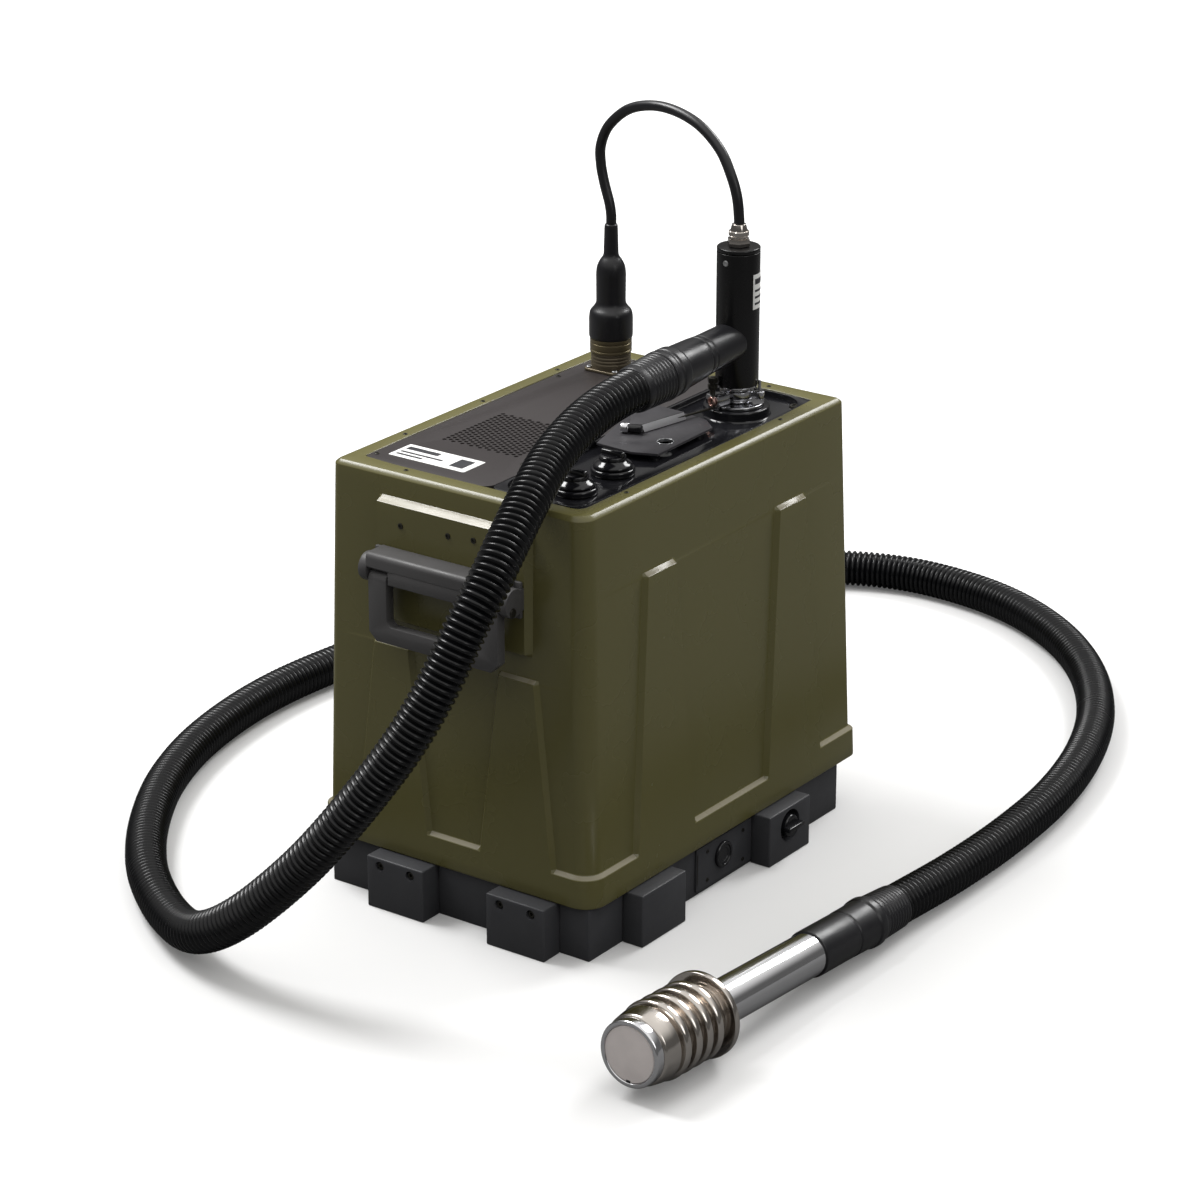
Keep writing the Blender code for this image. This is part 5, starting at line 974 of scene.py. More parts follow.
def make_flanges():
    turned_piece("base_flange", [
        (0, FLANGE_TOP), (0.0132, FLANGE_TOP), (0.0132, FLANGE_TOP - 0.0025), (0.0115, CONE_LOW),
        (0.0118, BASE_FLANGE_TOP + 0.001), (0.0135, BASE_FLANGE_TOP), (0.0250, BASE_FLANGE_TOP),
        (0.0250, BOSS_TOP + 0.0003), (0.0112, BOSS_TOP + 0.0003), (0.0110, STEM_FOOT), (0, STEM_FOOT)],
        DARK_CHROME, "polished_steel", ["inlet_flange"], ON_AXIS, edge=0.0010, steps=128)
    turned_piece("lip_flange", [
        (0, LIP_TOP), (0.0190, LIP_TOP), (0.0190, LIP_LOW + 0.0004), (0.0128, LIP_LOW),
        (0.0115, LIP_LOW - 0.0008), (0.0115, UPPER_CONE_TOP), (0.0132, FLANGE_TOP + 0.0028),
        (0.0132, FLANGE_TOP + 0.0003), (0, FLANGE_TOP + 0.0003)], DARK_CHROME, "polished_steel",
        ["column_flange"], ON_AXIS, edge=0.0007, steps=128)


make_flanges()
print("vacuum joint: %.1f mm from boss to column" % (1000 * (COLUMN_LOW - BOSS_TOP)))

# %% [markdown]
# ## The clamp
#
# A ring presses the two cones together. It has a bolted lug at the front, a toe below it for the
# lock rod, and a hinge further round. Lug, toe and hinge are drawn in plan along two directions,
# out and sideways, because the clamp sits at an angle to the case and would be awkward to measure
# along X and Y.

# %% The clamp
CLAMP_OUT = Vector((-0.2243, -0.9746)).normalized()
CLAMP_SIDE = Vector((-CLAMP_OUT.y, CLAMP_OUT.x))
HINGE_TURN = math.radians(-60)
LUG_LOW, LUG_HIGH = BASE_FLANGE_TOP + 0.0003, BASE_FLANGE_TOP + 0.0096
LUG_CORNERS = [(0.0288, 0.0055), (0.0200, 0.0060), (0.0134, 0.0060), (0.0134, -0.0060), (0.0190, -0.0115),
               (0.0265, -0.0115), (0.0288, -0.0095)]
TOE_CORNERS = [(0.0288, 0.0050), (0.0256, 0.0050), (0.0256, -0.0062), (0.0288, -0.0062)]
HINGE_CORNERS = [(-0.0134, 0.0040), (-0.0134, -0.0040), (-0.0214, -0.0040), (-0.0214, 0.0040)]


def clamp_plan(out, side, turn=0.0):
    flat = Matrix.Rotation(turn, 2) @ (CLAMP_OUT * out + CLAMP_SIDE * side)
    return COLUMN_X + flat.x, COLUMN_Y + flat.y


def anticlockwise(outline):
    area = sum(a[0] * b[1] - b[0] * a[1] for a, b in zip(outline, outline[1:] + outline[:1]))
    return outline if area > 0 else list(reversed(outline))


def make_clamp():
    low, high = CONE_LOW + 0.0005, UPPER_CONE_TOP - 0.0005
    bm = bmesh.new()
    turned(bm, softened([(0.0128, high), (0.0152, high), (0.0152, low), (0.0128, low)], 0.0009), 128,
           Matrix.Translation(ON_AXIS))
    plate_in(bm, [anticlockwise([clamp_plan(*c) for c in LUG_CORNERS])], LUG_LOW, LUG_HIGH, 0.0012)
    plate_in(bm, [anticlockwise([clamp_plan(*c) for c in TOE_CORNERS])], BOSS_TOP + 0.0003, LUG_LOW + 0.002,
             0.0006)
    plate_in(bm, [anticlockwise([clamp_plan(*c, HINGE_TURN) for c in HINGE_CORNERS])], low + 0.001,
             high - 0.001, 0.0006)
    barrel = Matrix.Translation((*clamp_plan(-0.0214, 0.0, HINGE_TURN), 0))
    turned(bm, softened([(0, high - 0.0002), (0.0045, high - 0.0002), (0.0045, low + 0.0002),
                         (0, low + 0.0002)],
                        0.0008), 48, barrel)
    turned(bm, softened([(0, high + 0.0100), (0.0014, high + 0.0100), (0.0014, high - 0.001)], 0.0004), 24,
           barrel)
    settle(finish_mesh("chrome_clamp", bm, DARK_CHROME, sharp=40), "case", "polished_steel", "flange_clamp")


make_clamp()
print("clamp: lug %.1f mm high" % (1000 * (LUG_HIGH - LUG_LOW)))

# %% [markdown]
# ## The clamp's bolt and the copper eye
#
# A bolt with two nuts stands up from the lug, and a copper eye sits in its face, the one warm
# colour on the top. The bolt is a thin turned rod with two six-sided plates. The eye is a turned
# ring whose profile closes on itself, like a doughnut.

# %% The clamp's bolt and the copper eye
NUTS = ((0.0046, 0.0049), (0.0109, 0.0050))
NUT_RADIUS, BOLT_RADIUS, BOLT_RISE = 0.0047, 0.0026, 0.0165


def make_clamp_bolt():
    bolt = bmesh.new()
    x, y = clamp_plan(0.0244, -0.0057)
    turned(bolt, softened([(0, LUG_HIGH + BOLT_RISE), (BOLT_RADIUS, LUG_HIGH + BOLT_RISE),
                           (BOLT_RADIUS, LUG_HIGH - 0.001)], 0.0005), 32, Matrix.Translation((x, y, 0)))
    for rise, height in NUTS:
        plate_in(bolt, [ring_loop(x, y, NUT_RADIUS, 6, 0.3)], LUG_HIGH + rise, LUG_HIGH + rise + height,
                 0.0008)
    settle(finish_mesh("clamp_bolt", bolt, SCREW_DARK, sharp=40), "case", "polished_steel")


def make_bush():
    bm = bmesh.new()
    outward = (CLAMP_OUT.x, CLAMP_OUT.y, 0.0)
    low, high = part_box("clamp_bush")
    middle = (low + high) / 2
    profile = softened([(0.0028, -0.0014), (0.0028, 0.0014), (0.0046, 0.0014), (0.0046, -0.0014),
                        (0.0028, -0.0014)],
                       0.0008)
    turned(bm, profile, 48, facing(outward, middle))
    settle(finish_mesh("copper_eye", bm, COPPER, sharp=60), "case", "copper_bush", "clamp_bush")


make_clamp_bolt()
make_bush()
print("clamp bolt: %d nuts" % len(NUTS))

# %% [markdown]
# ## The column
#
# The inlet column is a satin black tube with a cap, one small screw near the top and a label
# wrapped part of the way round. The label could be a decal, but a thin patch of geometry that
# follows the tube keeps its edge crisp. Its plain bars match those of the other label.

# %% The column
COLUMN_RADIUS = 0.0196
SCREW_TURN, SCREW_HEIGHT = math.radians(-91), 0.544
WRAP_LOW, WRAP_HIGH = 0.501, 0.533
WRAP_BARS = ((0.524, 0.529, 0.8), (0.517, 0.519, 0.6), (0.511, 0.513, 0.75), (0.505, 0.507, 0.5))
WRAP_FROM, WRAP_TO = math.radians(-14), math.radians(64)


def wrapped_in(bm, radius, low, high, start, end, steps=16):
    """A thin patch that follows a round wall."""
    rows = []
    for height, deep in ((low, 0.0004), (low, 0.0), (high, 0.0), (high, 0.0004)):
        rows.append([bm.verts.new((COLUMN_X + (radius - deep) * math.cos(start + (end - start) * i / steps),
                                   COLUMN_Y + (radius - deep) * math.sin(start + (end - start) * i / steps),
                                   height)) for i in range(steps + 1)])
    for lower, upper in zip(rows, rows[1:]):
        for i in range(steps):
            bm.faces.new((lower[i], lower[i + 1], upper[i + 1], upper[i]))


def make_column():
    bm = bmesh.new()
    turned(bm, softened([(0, COLUMN_TOP), (COLUMN_RADIUS, COLUMN_TOP), (COLUMN_RADIUS, COLUMN_LOW),
                         (0, COLUMN_LOW)],
                        0.0006), 128, Matrix.Translation(ON_AXIS))
    settle(finish_mesh("black_column", bm, COLUMN, sharp=40), "case", "gloss_black", "inlet_column")
    cap_low, cap_high = (corner.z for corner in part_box("column_cap"))
    turned_piece("cap_disc", [(0, cap_high), (COLUMN_RADIUS, cap_high), (COLUMN_RADIUS, cap_low),
                              (0, cap_low)],
                 COLUMN, "gloss_black", ["column_cap"], ON_AXIS, edge=0.0012, steps=128)
    bm = bmesh.new()
    wrapped_in(bm, COLUMN_RADIUS + 0.0003, WRAP_LOW, WRAP_HIGH, WRAP_FROM, WRAP_TO)
    settle(finish_mesh("column_label", bm, LABEL, sharp=60), "case", None)
    bm = bmesh.new()
    for low, high, share in WRAP_BARS:
        begin = WRAP_FROM + 0.08 * (WRAP_TO - WRAP_FROM)
        wrapped_in(bm, COLUMN_RADIUS + 0.0004, low, high, begin, begin + share * (WRAP_TO - WRAP_FROM))
    settle(finish_mesh("column_label_bars", bm, INK, sharp=60), "case", None)
    bm = bmesh.new()
    away = Vector((math.cos(SCREW_TURN), math.sin(SCREW_TURN), 0))
    screw_in(bm, Vector((COLUMN_X, COLUMN_Y, SCREW_HEIGHT)) + away * COLUMN_RADIUS, away, 0.0027, 0.0008)
    settle(finish_mesh("column_screw", bm, BRUSHED), "case", None)


make_column()
print("column: %.0f mm tall" % (1000 * (COLUMN_TOP - COLUMN_LOW)))

# %% [markdown]
# ## The cable gland
#
# The bright gland on the cap grips the cable. It has a six-sided foot, a knurled nut and a domed
# top. Knurling could be a bump, but at this size real grooves break up the reflections better:
# every second point of the nut's rings is simply drawn in a little.

# %% The cable gland
KNURLS, KNURL_DEPTH = 30, 0.0004


def knurled_in(bm, radius, low, high, teeth, depth, matrix):
    """A round body with fine upright grooves."""
    rows = []
    for height, share in ((low, 0.94), (low + 0.0006, 1.0), (high - 0.0006, 1.0), (high, 0.94)):
        row = []
        for i in range(teeth * 2):
            reach = radius * share - (depth if i % 2 else 0.0)
            turn = PI * i / teeth
            row.append(matrix @ Vector((reach * math.cos(turn), reach * math.sin(turn), height)))
        rows.append(row)
    bridge_loops(bm, rows, True, True)


def make_gland():
    bm = bmesh.new()
    stand = Matrix.Translation(ON_AXIS)
    plate_in(bm, [ring_loop(COLUMN_X, COLUMN_Y, 0.0106, 6, 0.2)], GLAND_LOW, GLAND_LOW + 0.0070, 0.0007)
    knurled_in(bm, 0.0092, GLAND_LOW + 0.0092, GLAND_TOP - 0.006, KNURLS, KNURL_DEPTH, stand)
    turned(bm, softened([(0.0050, GLAND_TOP - 0.001), (0.0052, GLAND_TOP), (0.0062, GLAND_TOP),
                         (0.0078, GLAND_TOP - 0.006), (0.0072, GLAND_TOP - 0.0065),
                         (0.0070, GLAND_LOW + 0.006)],
                        0.0005), 64, stand)
    settle(finish_mesh("bright_gland", bm, NICKEL, sharp=30), "case", "polished_steel", "cable_gland")


make_gland()
print("gland: %d grooves round its nut" % KNURLS)

# %% [markdown]
# ## The threaded receptacle
#
# The round connector stands on a square flange with four bright screws. Its shell is threaded, in
# worn olive plating. A true helix isn't needed: seen from outside, a row of closed ridges at the
# right pitch can't be told from a thread, and it is a plain turned profile.

# %% The threaded receptacle
SHELL_RADIUS, RING_RADIUS, BOOT_RADIUS = 0.0186, 0.0195, 0.0204
FLANGE_SIDE, FLANGE_HIGH, FLANGE_SCREW = 0.019, TOP_FACE + 0.0028, 0.0145
THREAD_PITCH, THREAD_DEPTH = 0.0032, 0.0007
RING_LOW, RING_HIGH = (corner.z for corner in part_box("coupling_ring"))
PLUG_AXIS = (CONNECTOR_X, CONNECTOR_Y, 0.0)


def thread(radius, low, high, pitch, depth):
    """Profile points of a threaded wall, from the top down."""
    points = []
    height = high
    while height > low + pitch:
        points += [(radius - depth, height), (radius, height - pitch * 0.35),
                   (radius, height - pitch * 0.60)]
        height -= pitch
    return points


def make_connector():
    bm = bmesh.new()
    plate_in(bm, [rounded_plan(CONNECTOR_X - FLANGE_SIDE, CONNECTOR_Y - FLANGE_SIDE,
                               CONNECTOR_X + FLANGE_SIDE, CONNECTOR_Y + FLANGE_SIDE, 0.005)],
             TOP_FACE + 0.0003, FLANGE_HIGH, 0.0005)
    ridges = thread(SHELL_RADIUS, FLANGE_HIGH, RING_LOW, THREAD_PITCH, THREAD_DEPTH)
    turned(bm, [(0.0150, RING_HIGH), (0.0150, RING_LOW), *ridges, (SHELL_RADIUS, FLANGE_HIGH)],
           96, Matrix.Translation(PLUG_AXIS))
    turned(bm, [(0.0152, FLANGE_HIGH), (0.0152, PLATE_LOW - 0.006), (0, PLATE_LOW - 0.006)], 64,
           Matrix.Translation(PLUG_AXIS))
    settle(finish_mesh("threaded_receptacle", bm, BRONZE, sharp=50), "case", "olive_metal", "receptacle")
    bm = bmesh.new()
    for sx in (-1, 1):
        for sy in (-1, 1):
            screw_in(bm, (CONNECTOR_X + sx * FLANGE_SCREW, CONNECTOR_Y + sy * FLANGE_SCREW, FLANGE_HIGH),
                     (0, 0, 1), 0.0027, 0.0016)
    settle(finish_mesh("receptacle_screws", bm, BRUSHED), "case", None)


make_connector()
print("connector: thread pitch %.1f mm" % (1000 * THREAD_PITCH))

# %% [markdown]
# ## The coupling ring
#
# This ring locks the plug. It could be part of the receptacle's profile, but it turns, by a third
# of a turn. So it is a piece of its own that rides on the ring's body, and everything else of the
# connector stays with the case. Two shallow grooves round it are what the picture shows of its
# grip.

# %% The coupling ring
def make_coupling_ring():
    bm = bmesh.new()
    high, low = RING_HIGH, RING_LOW
    turned(bm, softened([
        (0.0159, high), (RING_RADIUS, high), (RING_RADIUS, high - 0.0028),
        (RING_RADIUS - 0.0010, high - 0.0031), (RING_RADIUS - 0.0010, high - 0.0041),
        (RING_RADIUS, high - 0.0044), (RING_RADIUS, high - 0.0098), (RING_RADIUS - 0.0008, high - 0.0101),
        (RING_RADIUS - 0.0008, high - 0.0107), (RING_RADIUS, high - 0.0110), (RING_RADIUS, low),
        (0.0159, low), (0.0159, high)], 0.0003), 128, Matrix.Translation(PLUG_AXIS))
    settle(finish_mesh("plated_coupling_ring", bm, BRASS, sharp=50), "connector_ring", "olive_metal",
           "coupling_ring")


make_coupling_ring()
print("coupling ring: %.1f mm high" % (1000 * (RING_HIGH - RING_LOW)))

# %% [markdown]
# ## The moulded boot
#
# A long rubber boot keeps the cable from kinking where it leaves the plug: wide over the ring, then
# a neck, then a taper down to the cable. Plain cones would look machined, so its profile is rounded
# by two and a half millimetres, as a mould would leave it.

# %% The moulded boot
def make_boot():
    z = BOOT_LOW
    turned_piece("moulded_boot", [
        (0, BOOT_TOP), (0.0056, BOOT_TOP), (0.0062, BOOT_TOP - 0.002), (0.0070, z + 0.078),
        (0.0105, z + 0.0735), (0.0131, z + 0.0680), (0.0139, z + 0.0620), (0.0137, z + 0.0330),
        (0.0160, z + 0.0290), (0.0194, z + 0.0255), (BOOT_RADIUS, z + 0.0200), (BOOT_RADIUS, z + 0.0010),
        (0.0194, z), (0, z)], RUBBER, "black_rubber", ["connector_boot"], PLUG_AXIS, edge=0.0025, steps=96)


make_boot()
print("boot: %.0f mm tall" % (1000 * (BOOT_TOP - BOOT_LOW)))

# %% [markdown]
# ## The lock plate
#
# A grey plate with eight corners bridges the well and carries the lock. It has one round hole with
# a thin bright liner. As a filled outline it can follow the odd shape of the real plate exactly,
# and the hole costs nothing.

# %% The lock plate
LOCK_LOW, LOCK_TOP = (corner.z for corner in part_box("lock_plate"))
LOCK_CORNERS = [(-0.041, -0.159), (-0.002, -0.161), (0.020, -0.152), (0.018, -0.065), (0.002, -0.051),
                (-0.020, -0.047), (-0.056, -0.053), (-0.063, -0.079)]
LOCK_HOLE, LOCK_HOLE_RADIUS = (0.006, -0.121), 0.0075


def by_column(corners):
    return [(COLUMN_X + x, COLUMN_Y + y) for x, y in corners]


def make_lock_plate():
    bm = bmesh.new()
    hole_x, hole_y = by_column([LOCK_HOLE])[0]
    plate_in(bm, [by_column(LOCK_CORNERS), ring_loop(hole_x, hole_y, LOCK_HOLE_RADIUS)], LOCK_LOW, LOCK_TOP,
             0.0004)
    settle(finish_mesh("grey_lock_plate", bm, LOCK_GREY, sharp=30), "case", "panel_grey", "lock_plate")
    bm = bmesh.new()
    turned(bm, softened([(0.0068, LOCK_LOW), (0.0068, LOCK_TOP + 0.0003), (0.0078, LOCK_TOP + 0.0003),
                         (0.0078, LOCK_TOP - 0.0003)], 0.0003), 64, Matrix.Translation((hole_x, hole_y, 0)))
    settle(finish_mesh("lock_hole_liner", bm, BRUSHED), "case", "polished_steel")


make_lock_plate()
print("lock plate: %.1f mm thick" % (1000 * (LOCK_TOP - LOCK_LOW)))

# %% [markdown]
# ## The guide
#
# On the plate lies a thick block that guides the rod. Its long right side is a milled slope that
# shines light grey in the picture, while the rest is painted. Its lighter, part-metal grey is partly a
# milled finish and partly painted light: the slope is made paler than the lamps alone would light it.
# The slope is found again by the way it faces, and only that side gets this lighter finish.

# %% The guide
GUIDE_LOW, GUIDE_TOP = (corner.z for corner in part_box("rod_guide"))
GUIDE_CORNERS = [(-0.0216, -0.1132), (-0.0116, -0.0623), (-0.0515, -0.0600), (-0.0560, -0.0850),
                 (-0.0350, -0.1173)]
GUIDE_SLOPE = 0.0040
LIT_SLOPE_FACING = (0.7, 0.3)


def make_guide():
    bm = bmesh.new()
    low_plan = by_column(GUIDE_CORNERS)
    a, b = (Vector(corner) for corner in low_plan[:2])
    along = (b - a).normalized()
    inwards = Vector((-along.y, along.x))
    high_plan = [tuple(Vector(c) + inwards * (GUIDE_SLOPE if i < 2 else 0.0))
                 for i, c in enumerate(low_plan)]
    bridge_loops(bm, [[(*c, GUIDE_LOW) for c in low_plan], [(*c, GUIDE_TOP) for c in high_plan]],
                 True, True)
    bmesh.ops.bevel(bm, geom=list(bm.edges), offset=0.0005, segments=2, profile=0.5, affect="EDGES")
    guide = finish_mesh("grey_guide", bm, LOCK_GREY, sharp=30)
    # The slope facing up and to the right takes the lighter finish, which is partly painted light.
    guide.data.materials.append(GUIDE_MILLED_AND_LIT)
    milled_lit_faces = [face for face in guide.data.polygons
               if face.normal.x > LIT_SLOPE_FACING[0] and face.normal.z > LIT_SLOPE_FACING[1]]
    for face in milled_lit_faces:
        face.material_index = 1
    settle(guide, "case", "panel_grey", "rod_guide")
    return 1e6 * sum(face.area for face in milled_lit_faces)


print("guide: %.0f mm2 of milled slope" % make_guide())

# %% [markdown]
# ## The rod and the knob
#
# A thin rod slides in the guide and reaches the clamp's toe, so it rides on its own body. A bright
# knob with a dark barrel lies against the guide's near end. Each is a turned profile that is stood
# along its own direction by one matrix.

# %% The rod and the knob
LATCH_PLACE, LATCH_DIRECTION = (-0.0389, -0.1227), Vector((0.955, 0.296, 0.0)).normalized()
ROD_NEAR_OUT, ROD_LENGTH, ROD_RADIUS, ROD_TIP = 0.0780, 0.0513, 0.0011, 0.0009
LATCH_RISE = 0.0045


def make_rod():
    low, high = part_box("lock_rod")
    outward = Vector((CLAMP_OUT.x, CLAMP_OUT.y, 0))
    near = Vector((*clamp_plan(ROD_NEAR_OUT, 0.0), (low.z + high.z) / 2))
    bm = bmesh.new()
    turned(bm, softened([(0, ROD_LENGTH), (ROD_TIP, ROD_LENGTH), (ROD_TIP, ROD_LENGTH - 0.0025),
                         (ROD_RADIUS, ROD_LENGTH - 0.0030), (ROD_RADIUS, 0), (0, 0)], 0.0003), 24,
           facing(-outward, near))
    settle(finish_mesh("sliding_rod", bm, SCREW_DARK), "clamp_lock", "stainless_steel", "lock_rod")


def make_knob():
    stand = facing(LATCH_DIRECTION, (*by_column([LATCH_PLACE])[0], LOCK_TOP + LATCH_RISE))
    bm = bmesh.new()
    turned(bm, softened([(0, -0.0015), (0.0047, -0.0015), (0.0047, 0.0062), (0.0032, 0.0064)], 0.0015), 48,
           stand)
    settle(finish_mesh("latch_knob", bm, STEEL, sharp=60), "case", "polished_steel", "stop_stud")
    bm = bmesh.new()
    turned(bm, softened([(0.0034, 0.0062), (0.0034, 0.0182), (0, 0.0182)], 0.0006), 48, stand)
    settle(finish_mesh("latch_barrel", bm, GLOSS, sharp=60), "case", "gloss_black")


make_rod()
make_knob()
print("lock rod: %.0f mm long" % (1000 * ROD_LENGTH))

# %% [markdown]
# ## The calibration ports
#
# Two glossy sockets stand in the well, each under a bell-shaped cap with a grip bar. A cap turns a
# quarter turn, so it rides on its own body. The two are alike, and one function makes both from a
# small table of places, which keeps them alike when a size is changed.

# %% The calibration ports
PORTS = {1: (0.079, -0.1355, "port_cap_front"), 2: (0.0765, -0.077, "port_cap_back")}


def make_port(number):
    x, y, body = PORTS[number]
    stand = Matrix.Translation((x, y, 0))
    low, high = (corner.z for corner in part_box(f"port_socket_{number}"))
    bm = bmesh.new()
    turned(bm, softened([(0.0135, high - 0.003), (0.0135, high), (0.0195, high), (0.0195, low), (0, low)],
                        0.0020),
           96, stand)
    settle(finish_mesh(f"glossy_socket_{number}", bm, GLOSS, sharp=50), "case", "gloss_black",
           f"port_socket_{number}")
    low, high = (corner.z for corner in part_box(f"port_cap_{number}"))
    bm = bmesh.new()
    turned(bm, softened([
        (0, high - 0.0040), (0.0112, high - 0.0040), (0.0118, high - 0.0070), (0.0116, low + 0.0062),
        (0.0172, low + 0.0028), (0.0175, low), (0, low)], 0.0028, 5), 96, stand)
    box_in(bm, (-0.0114, -0.0027, high - 0.0085), (0.0114, 0.0027, high), 0.0014, 3, stand)
    settle(finish_mesh(f"glossy_cap_{number}", bm, GLOSS, sharp=50), body, "gloss_black",
           f"port_cap_{number}")


for number in PORTS:
    make_port(number)
print("%d capped ports" % len(PORTS))

# %% [markdown]
# ## The cuff on the column
#
# A moulded rubber cuff slips over the column's branch and the start of the hose. The picture shows
# a plain sleeve, a double bead, a raised flange and a ribbed end. All of it is round, so it is one
# turned profile, and a small helper adds the fine ribs to it as points.

# %% The cuff on the column
def soft_ribs(start, radius_start, end, radius_end, count, depth):
    """Profile points of fine round ribs between two places."""
    points = []
    for i in range(count):
        for share, lift in ((0.0, 0.0), (0.30, 1.0), (0.62, 1.0)):
            along = (i + share) / count
            radius = radius_start + (radius_end - radius_start) * along
            points.append((radius - depth * (1.0 - lift), start + (end - start) * along))
    return points


def make_column_cuff():
    branch = Vector((COLUMN_X, COLUMN_Y, BRANCH_HEIGHT))
    turned_piece("column_cuff_moulded", [
        (0.0176, 0.010), (0.0178, 0.012), (0.0184, 0.0525), (0.0178, 0.0535), (0.0178, 0.0552),
        (0.0188, 0.0560), (0.0190, 0.0600), (0.0184, 0.0608), (0.0184, 0.0625), (0.0194, 0.0635),
        (0.0208, 0.0965), (0.0224, 0.0990), (0.0226, 0.1075), (0.0216, 0.1085), (0.0218, 0.1110),
        (0.0230, 0.1140), (0.0229, 0.1190), *soft_ribs(0.1195, 0.0226, 0.1540, 0.0212, 8, 0.0010),
        (0.0210, 0.1555), (0.0203, 0.158), (0.0, 0.158)], RUBBER, "black_rubber", ["column_cuff"], branch,
        BRANCH_DIRECTION, edge=0.0010)


make_column_cuff()
print("column cuff: %.0f mm in the solid, longer here over the hose" % (1000 * CUFF_LENGTH))

# %% [markdown]
# ## The probe's handle end
#
# The hose ends in a second cuff on a polished tube, with a wide collar before the head. The tube is
# a plain mirror, so what makes it real is what it reflects: the white floor, the dark studio and
# the lamps. All profiles start from one point and one direction, so the pieces stay in line.

# %% The probe's handle end
def on_probe():
    return facing(PROBE_DIRECTION, PROBE_START)


def probe_piece(name, profile, material, slot, node, edge):
    turned_piece(name, profile, material, slot, [node], PROBE_START, PROBE_DIRECTION, edge=edge, steps=128)


def make_probe():
    probe_piece("probe_cuff_moulded", [
        (0, 0), (0.0198, 0), (0.0204, 0.0030), *soft_ribs(0.0045, 0.0204, 0.0390, 0.0216, 8, 0.0010),
        (0.0216, 0.0400), (0.0222, 0.042), (0.0234, 0.0432), (0.0232, 0.0505), (0.0218, 0.0520),
        (0.0214, 0.0795), (0.0206, 0.0805), (0.0206, 0.0820), (0.0212, 0.0830), (0.0212, 0.133),
        (0.0208, 0.134), (0.0190, 0.134)], RUBBER, "black_rubber", "probe_cuff", 0.0010)
    probe_piece("polished_tube", [(0.0196, 0.1023), (0.0196, 0.2870), (0, 0.2870)], STEEL, "polished_steel",
                "probe_tube", 0.0006)
    probe_piece("wide_collar", [(0, 0.2873), (0.0378, 0.2873), (0.0378, 0.2933), (0, 0.2933)], NICKEL,
                "nickel", "probe_collar", 0.0011)


make_probe()
print("probe: its tube starts at x %.0f mm, y %.0f mm" % (1000 * PROBE_START.x, 1000 * PROBE_START.y))

# %% [markdown]
# ## The probe's head
#
# The head has four round ribs that guard it, and the pale membrane lies in its end inside a bright
# rim with a small notch. Each rib is six points of the profile, written once and repeated for four
# places. The rounding of corners then makes them look turned from nickel.

# %% The probe's head
RIB_STARTS, RIB_WIDTH, RIB_RADIUS, HEAD_CORE = (0.304, 0.319, 0.334, 0.349), 0.008, 0.035, 0.027
HEAD_LOW, HEAD_END, RIM_END = 0.2936, 0.380, 0.3895


def make_probe_head():
    profile = [(0, HEAD_LOW), (HEAD_CORE, HEAD_LOW)]
    for start in RIB_STARTS:
        end = start + RIB_WIDTH
        profile += [(HEAD_CORE, start - 0.0004), (RIB_RADIUS - 0.0012, start), (RIB_RADIUS, start + 0.0022),
                    (RIB_RADIUS, end - 0.0022), (RIB_RADIUS - 0.0012, end), (HEAD_CORE, end + 0.0004)]
    profile += [(HEAD_CORE, HEAD_END - 0.021), (0.0330, HEAD_END - 0.018), (0.0325, HEAD_END - 0.012),
                (0.0310, HEAD_END - 0.002), (0.0292, HEAD_END), (0, HEAD_END)]
    probe_piece("ribbed_head", profile, NICKEL, "nickel", "probe_head", 0.0009)
    probe_piece("bright_rim", [
        (0, RIM_END - 0.004), (0.0245, RIM_END - 0.004), (0.0248, RIM_END - 0.0008), (0.0256, RIM_END),
        (0.0282, RIM_END), (0.0292, RIM_END - 0.0015), (0.0292, HEAD_END + 0.0003), (0, HEAD_END + 0.0003)],
        STEEL, "polished_steel", "probe_rim", 0.0006)
    probe_piece("membrane_face", [(0, RIM_END - 0.0006), (0.0240, RIM_END - 0.0006),
                                  (0.0245, RIM_END - 0.0010), (0.0245, RIM_END - 0.003)], MEMBRANE,
                                  "membrane", "membrane_disc", 0.0003)
    bm = bmesh.new()
    box_in(bm, (-0.0022, -0.0246, RIM_END - 0.0012), (0.0022, -0.0226, RIM_END - 0.0003), 0.0003, 2,
           on_probe())
    settle(finish_mesh("rim_notch", bm, RUBBER), "case", "black_rubber")


make_probe_head()
print("probe head: %d ribs" % len(RIB_STARTS))

# %% [markdown]
# ## The handle brackets
#
# Each end of the case has a fixed bracket: a stiff bar with a rounded front edge, a back plate and
# two round ears. They are outlines pushed sideways, because that is how the real one looks from the
# side. The rear handle is the front one turned half a turn about the case's middle.

# %% The handle brackets
END_TURNS = {"front": Matrix.Identity(4), "rear": Matrix.Rotation(PI, 4, "Z")}
HANDLE_AXIS_Y, HANDLE_AXIS_Z = -0.2265, 0.318
EAR_Y, EAR_Z, EAR_RADIUS, EAR_WEB = -0.2232, 0.3255, 0.0130, 0.0100
SIDEWAYS = Matrix(((0, 0, 1, 0), (1, 0, 0, 0), (0, 1, 0, 0), (0, 0, 0, 1)))
UPRIGHT = Matrix(((1, 0, 0, 0), (0, 0, -1, 0), (0, 1, 0, 0), (0, 0, 0, 1)))


def arc_points(x, y, radius, start, end, steps=10):
    turns = [start + (end - start) * i / steps for i in range(steps + 1)]
    return [(x + radius * math.cos(t), y + radius * math.sin(t)) for t in turns]


def ear_outline():
    lean = math.asin(EAR_WEB / EAR_RADIUS)
    return [(-0.2100, EAR_Z - EAR_WEB), (-0.2100, EAR_Z + EAR_WEB),
            *arc_points(EAR_Y, EAR_Z, EAR_RADIUS, lean, 2 * PI - lean, 28)]


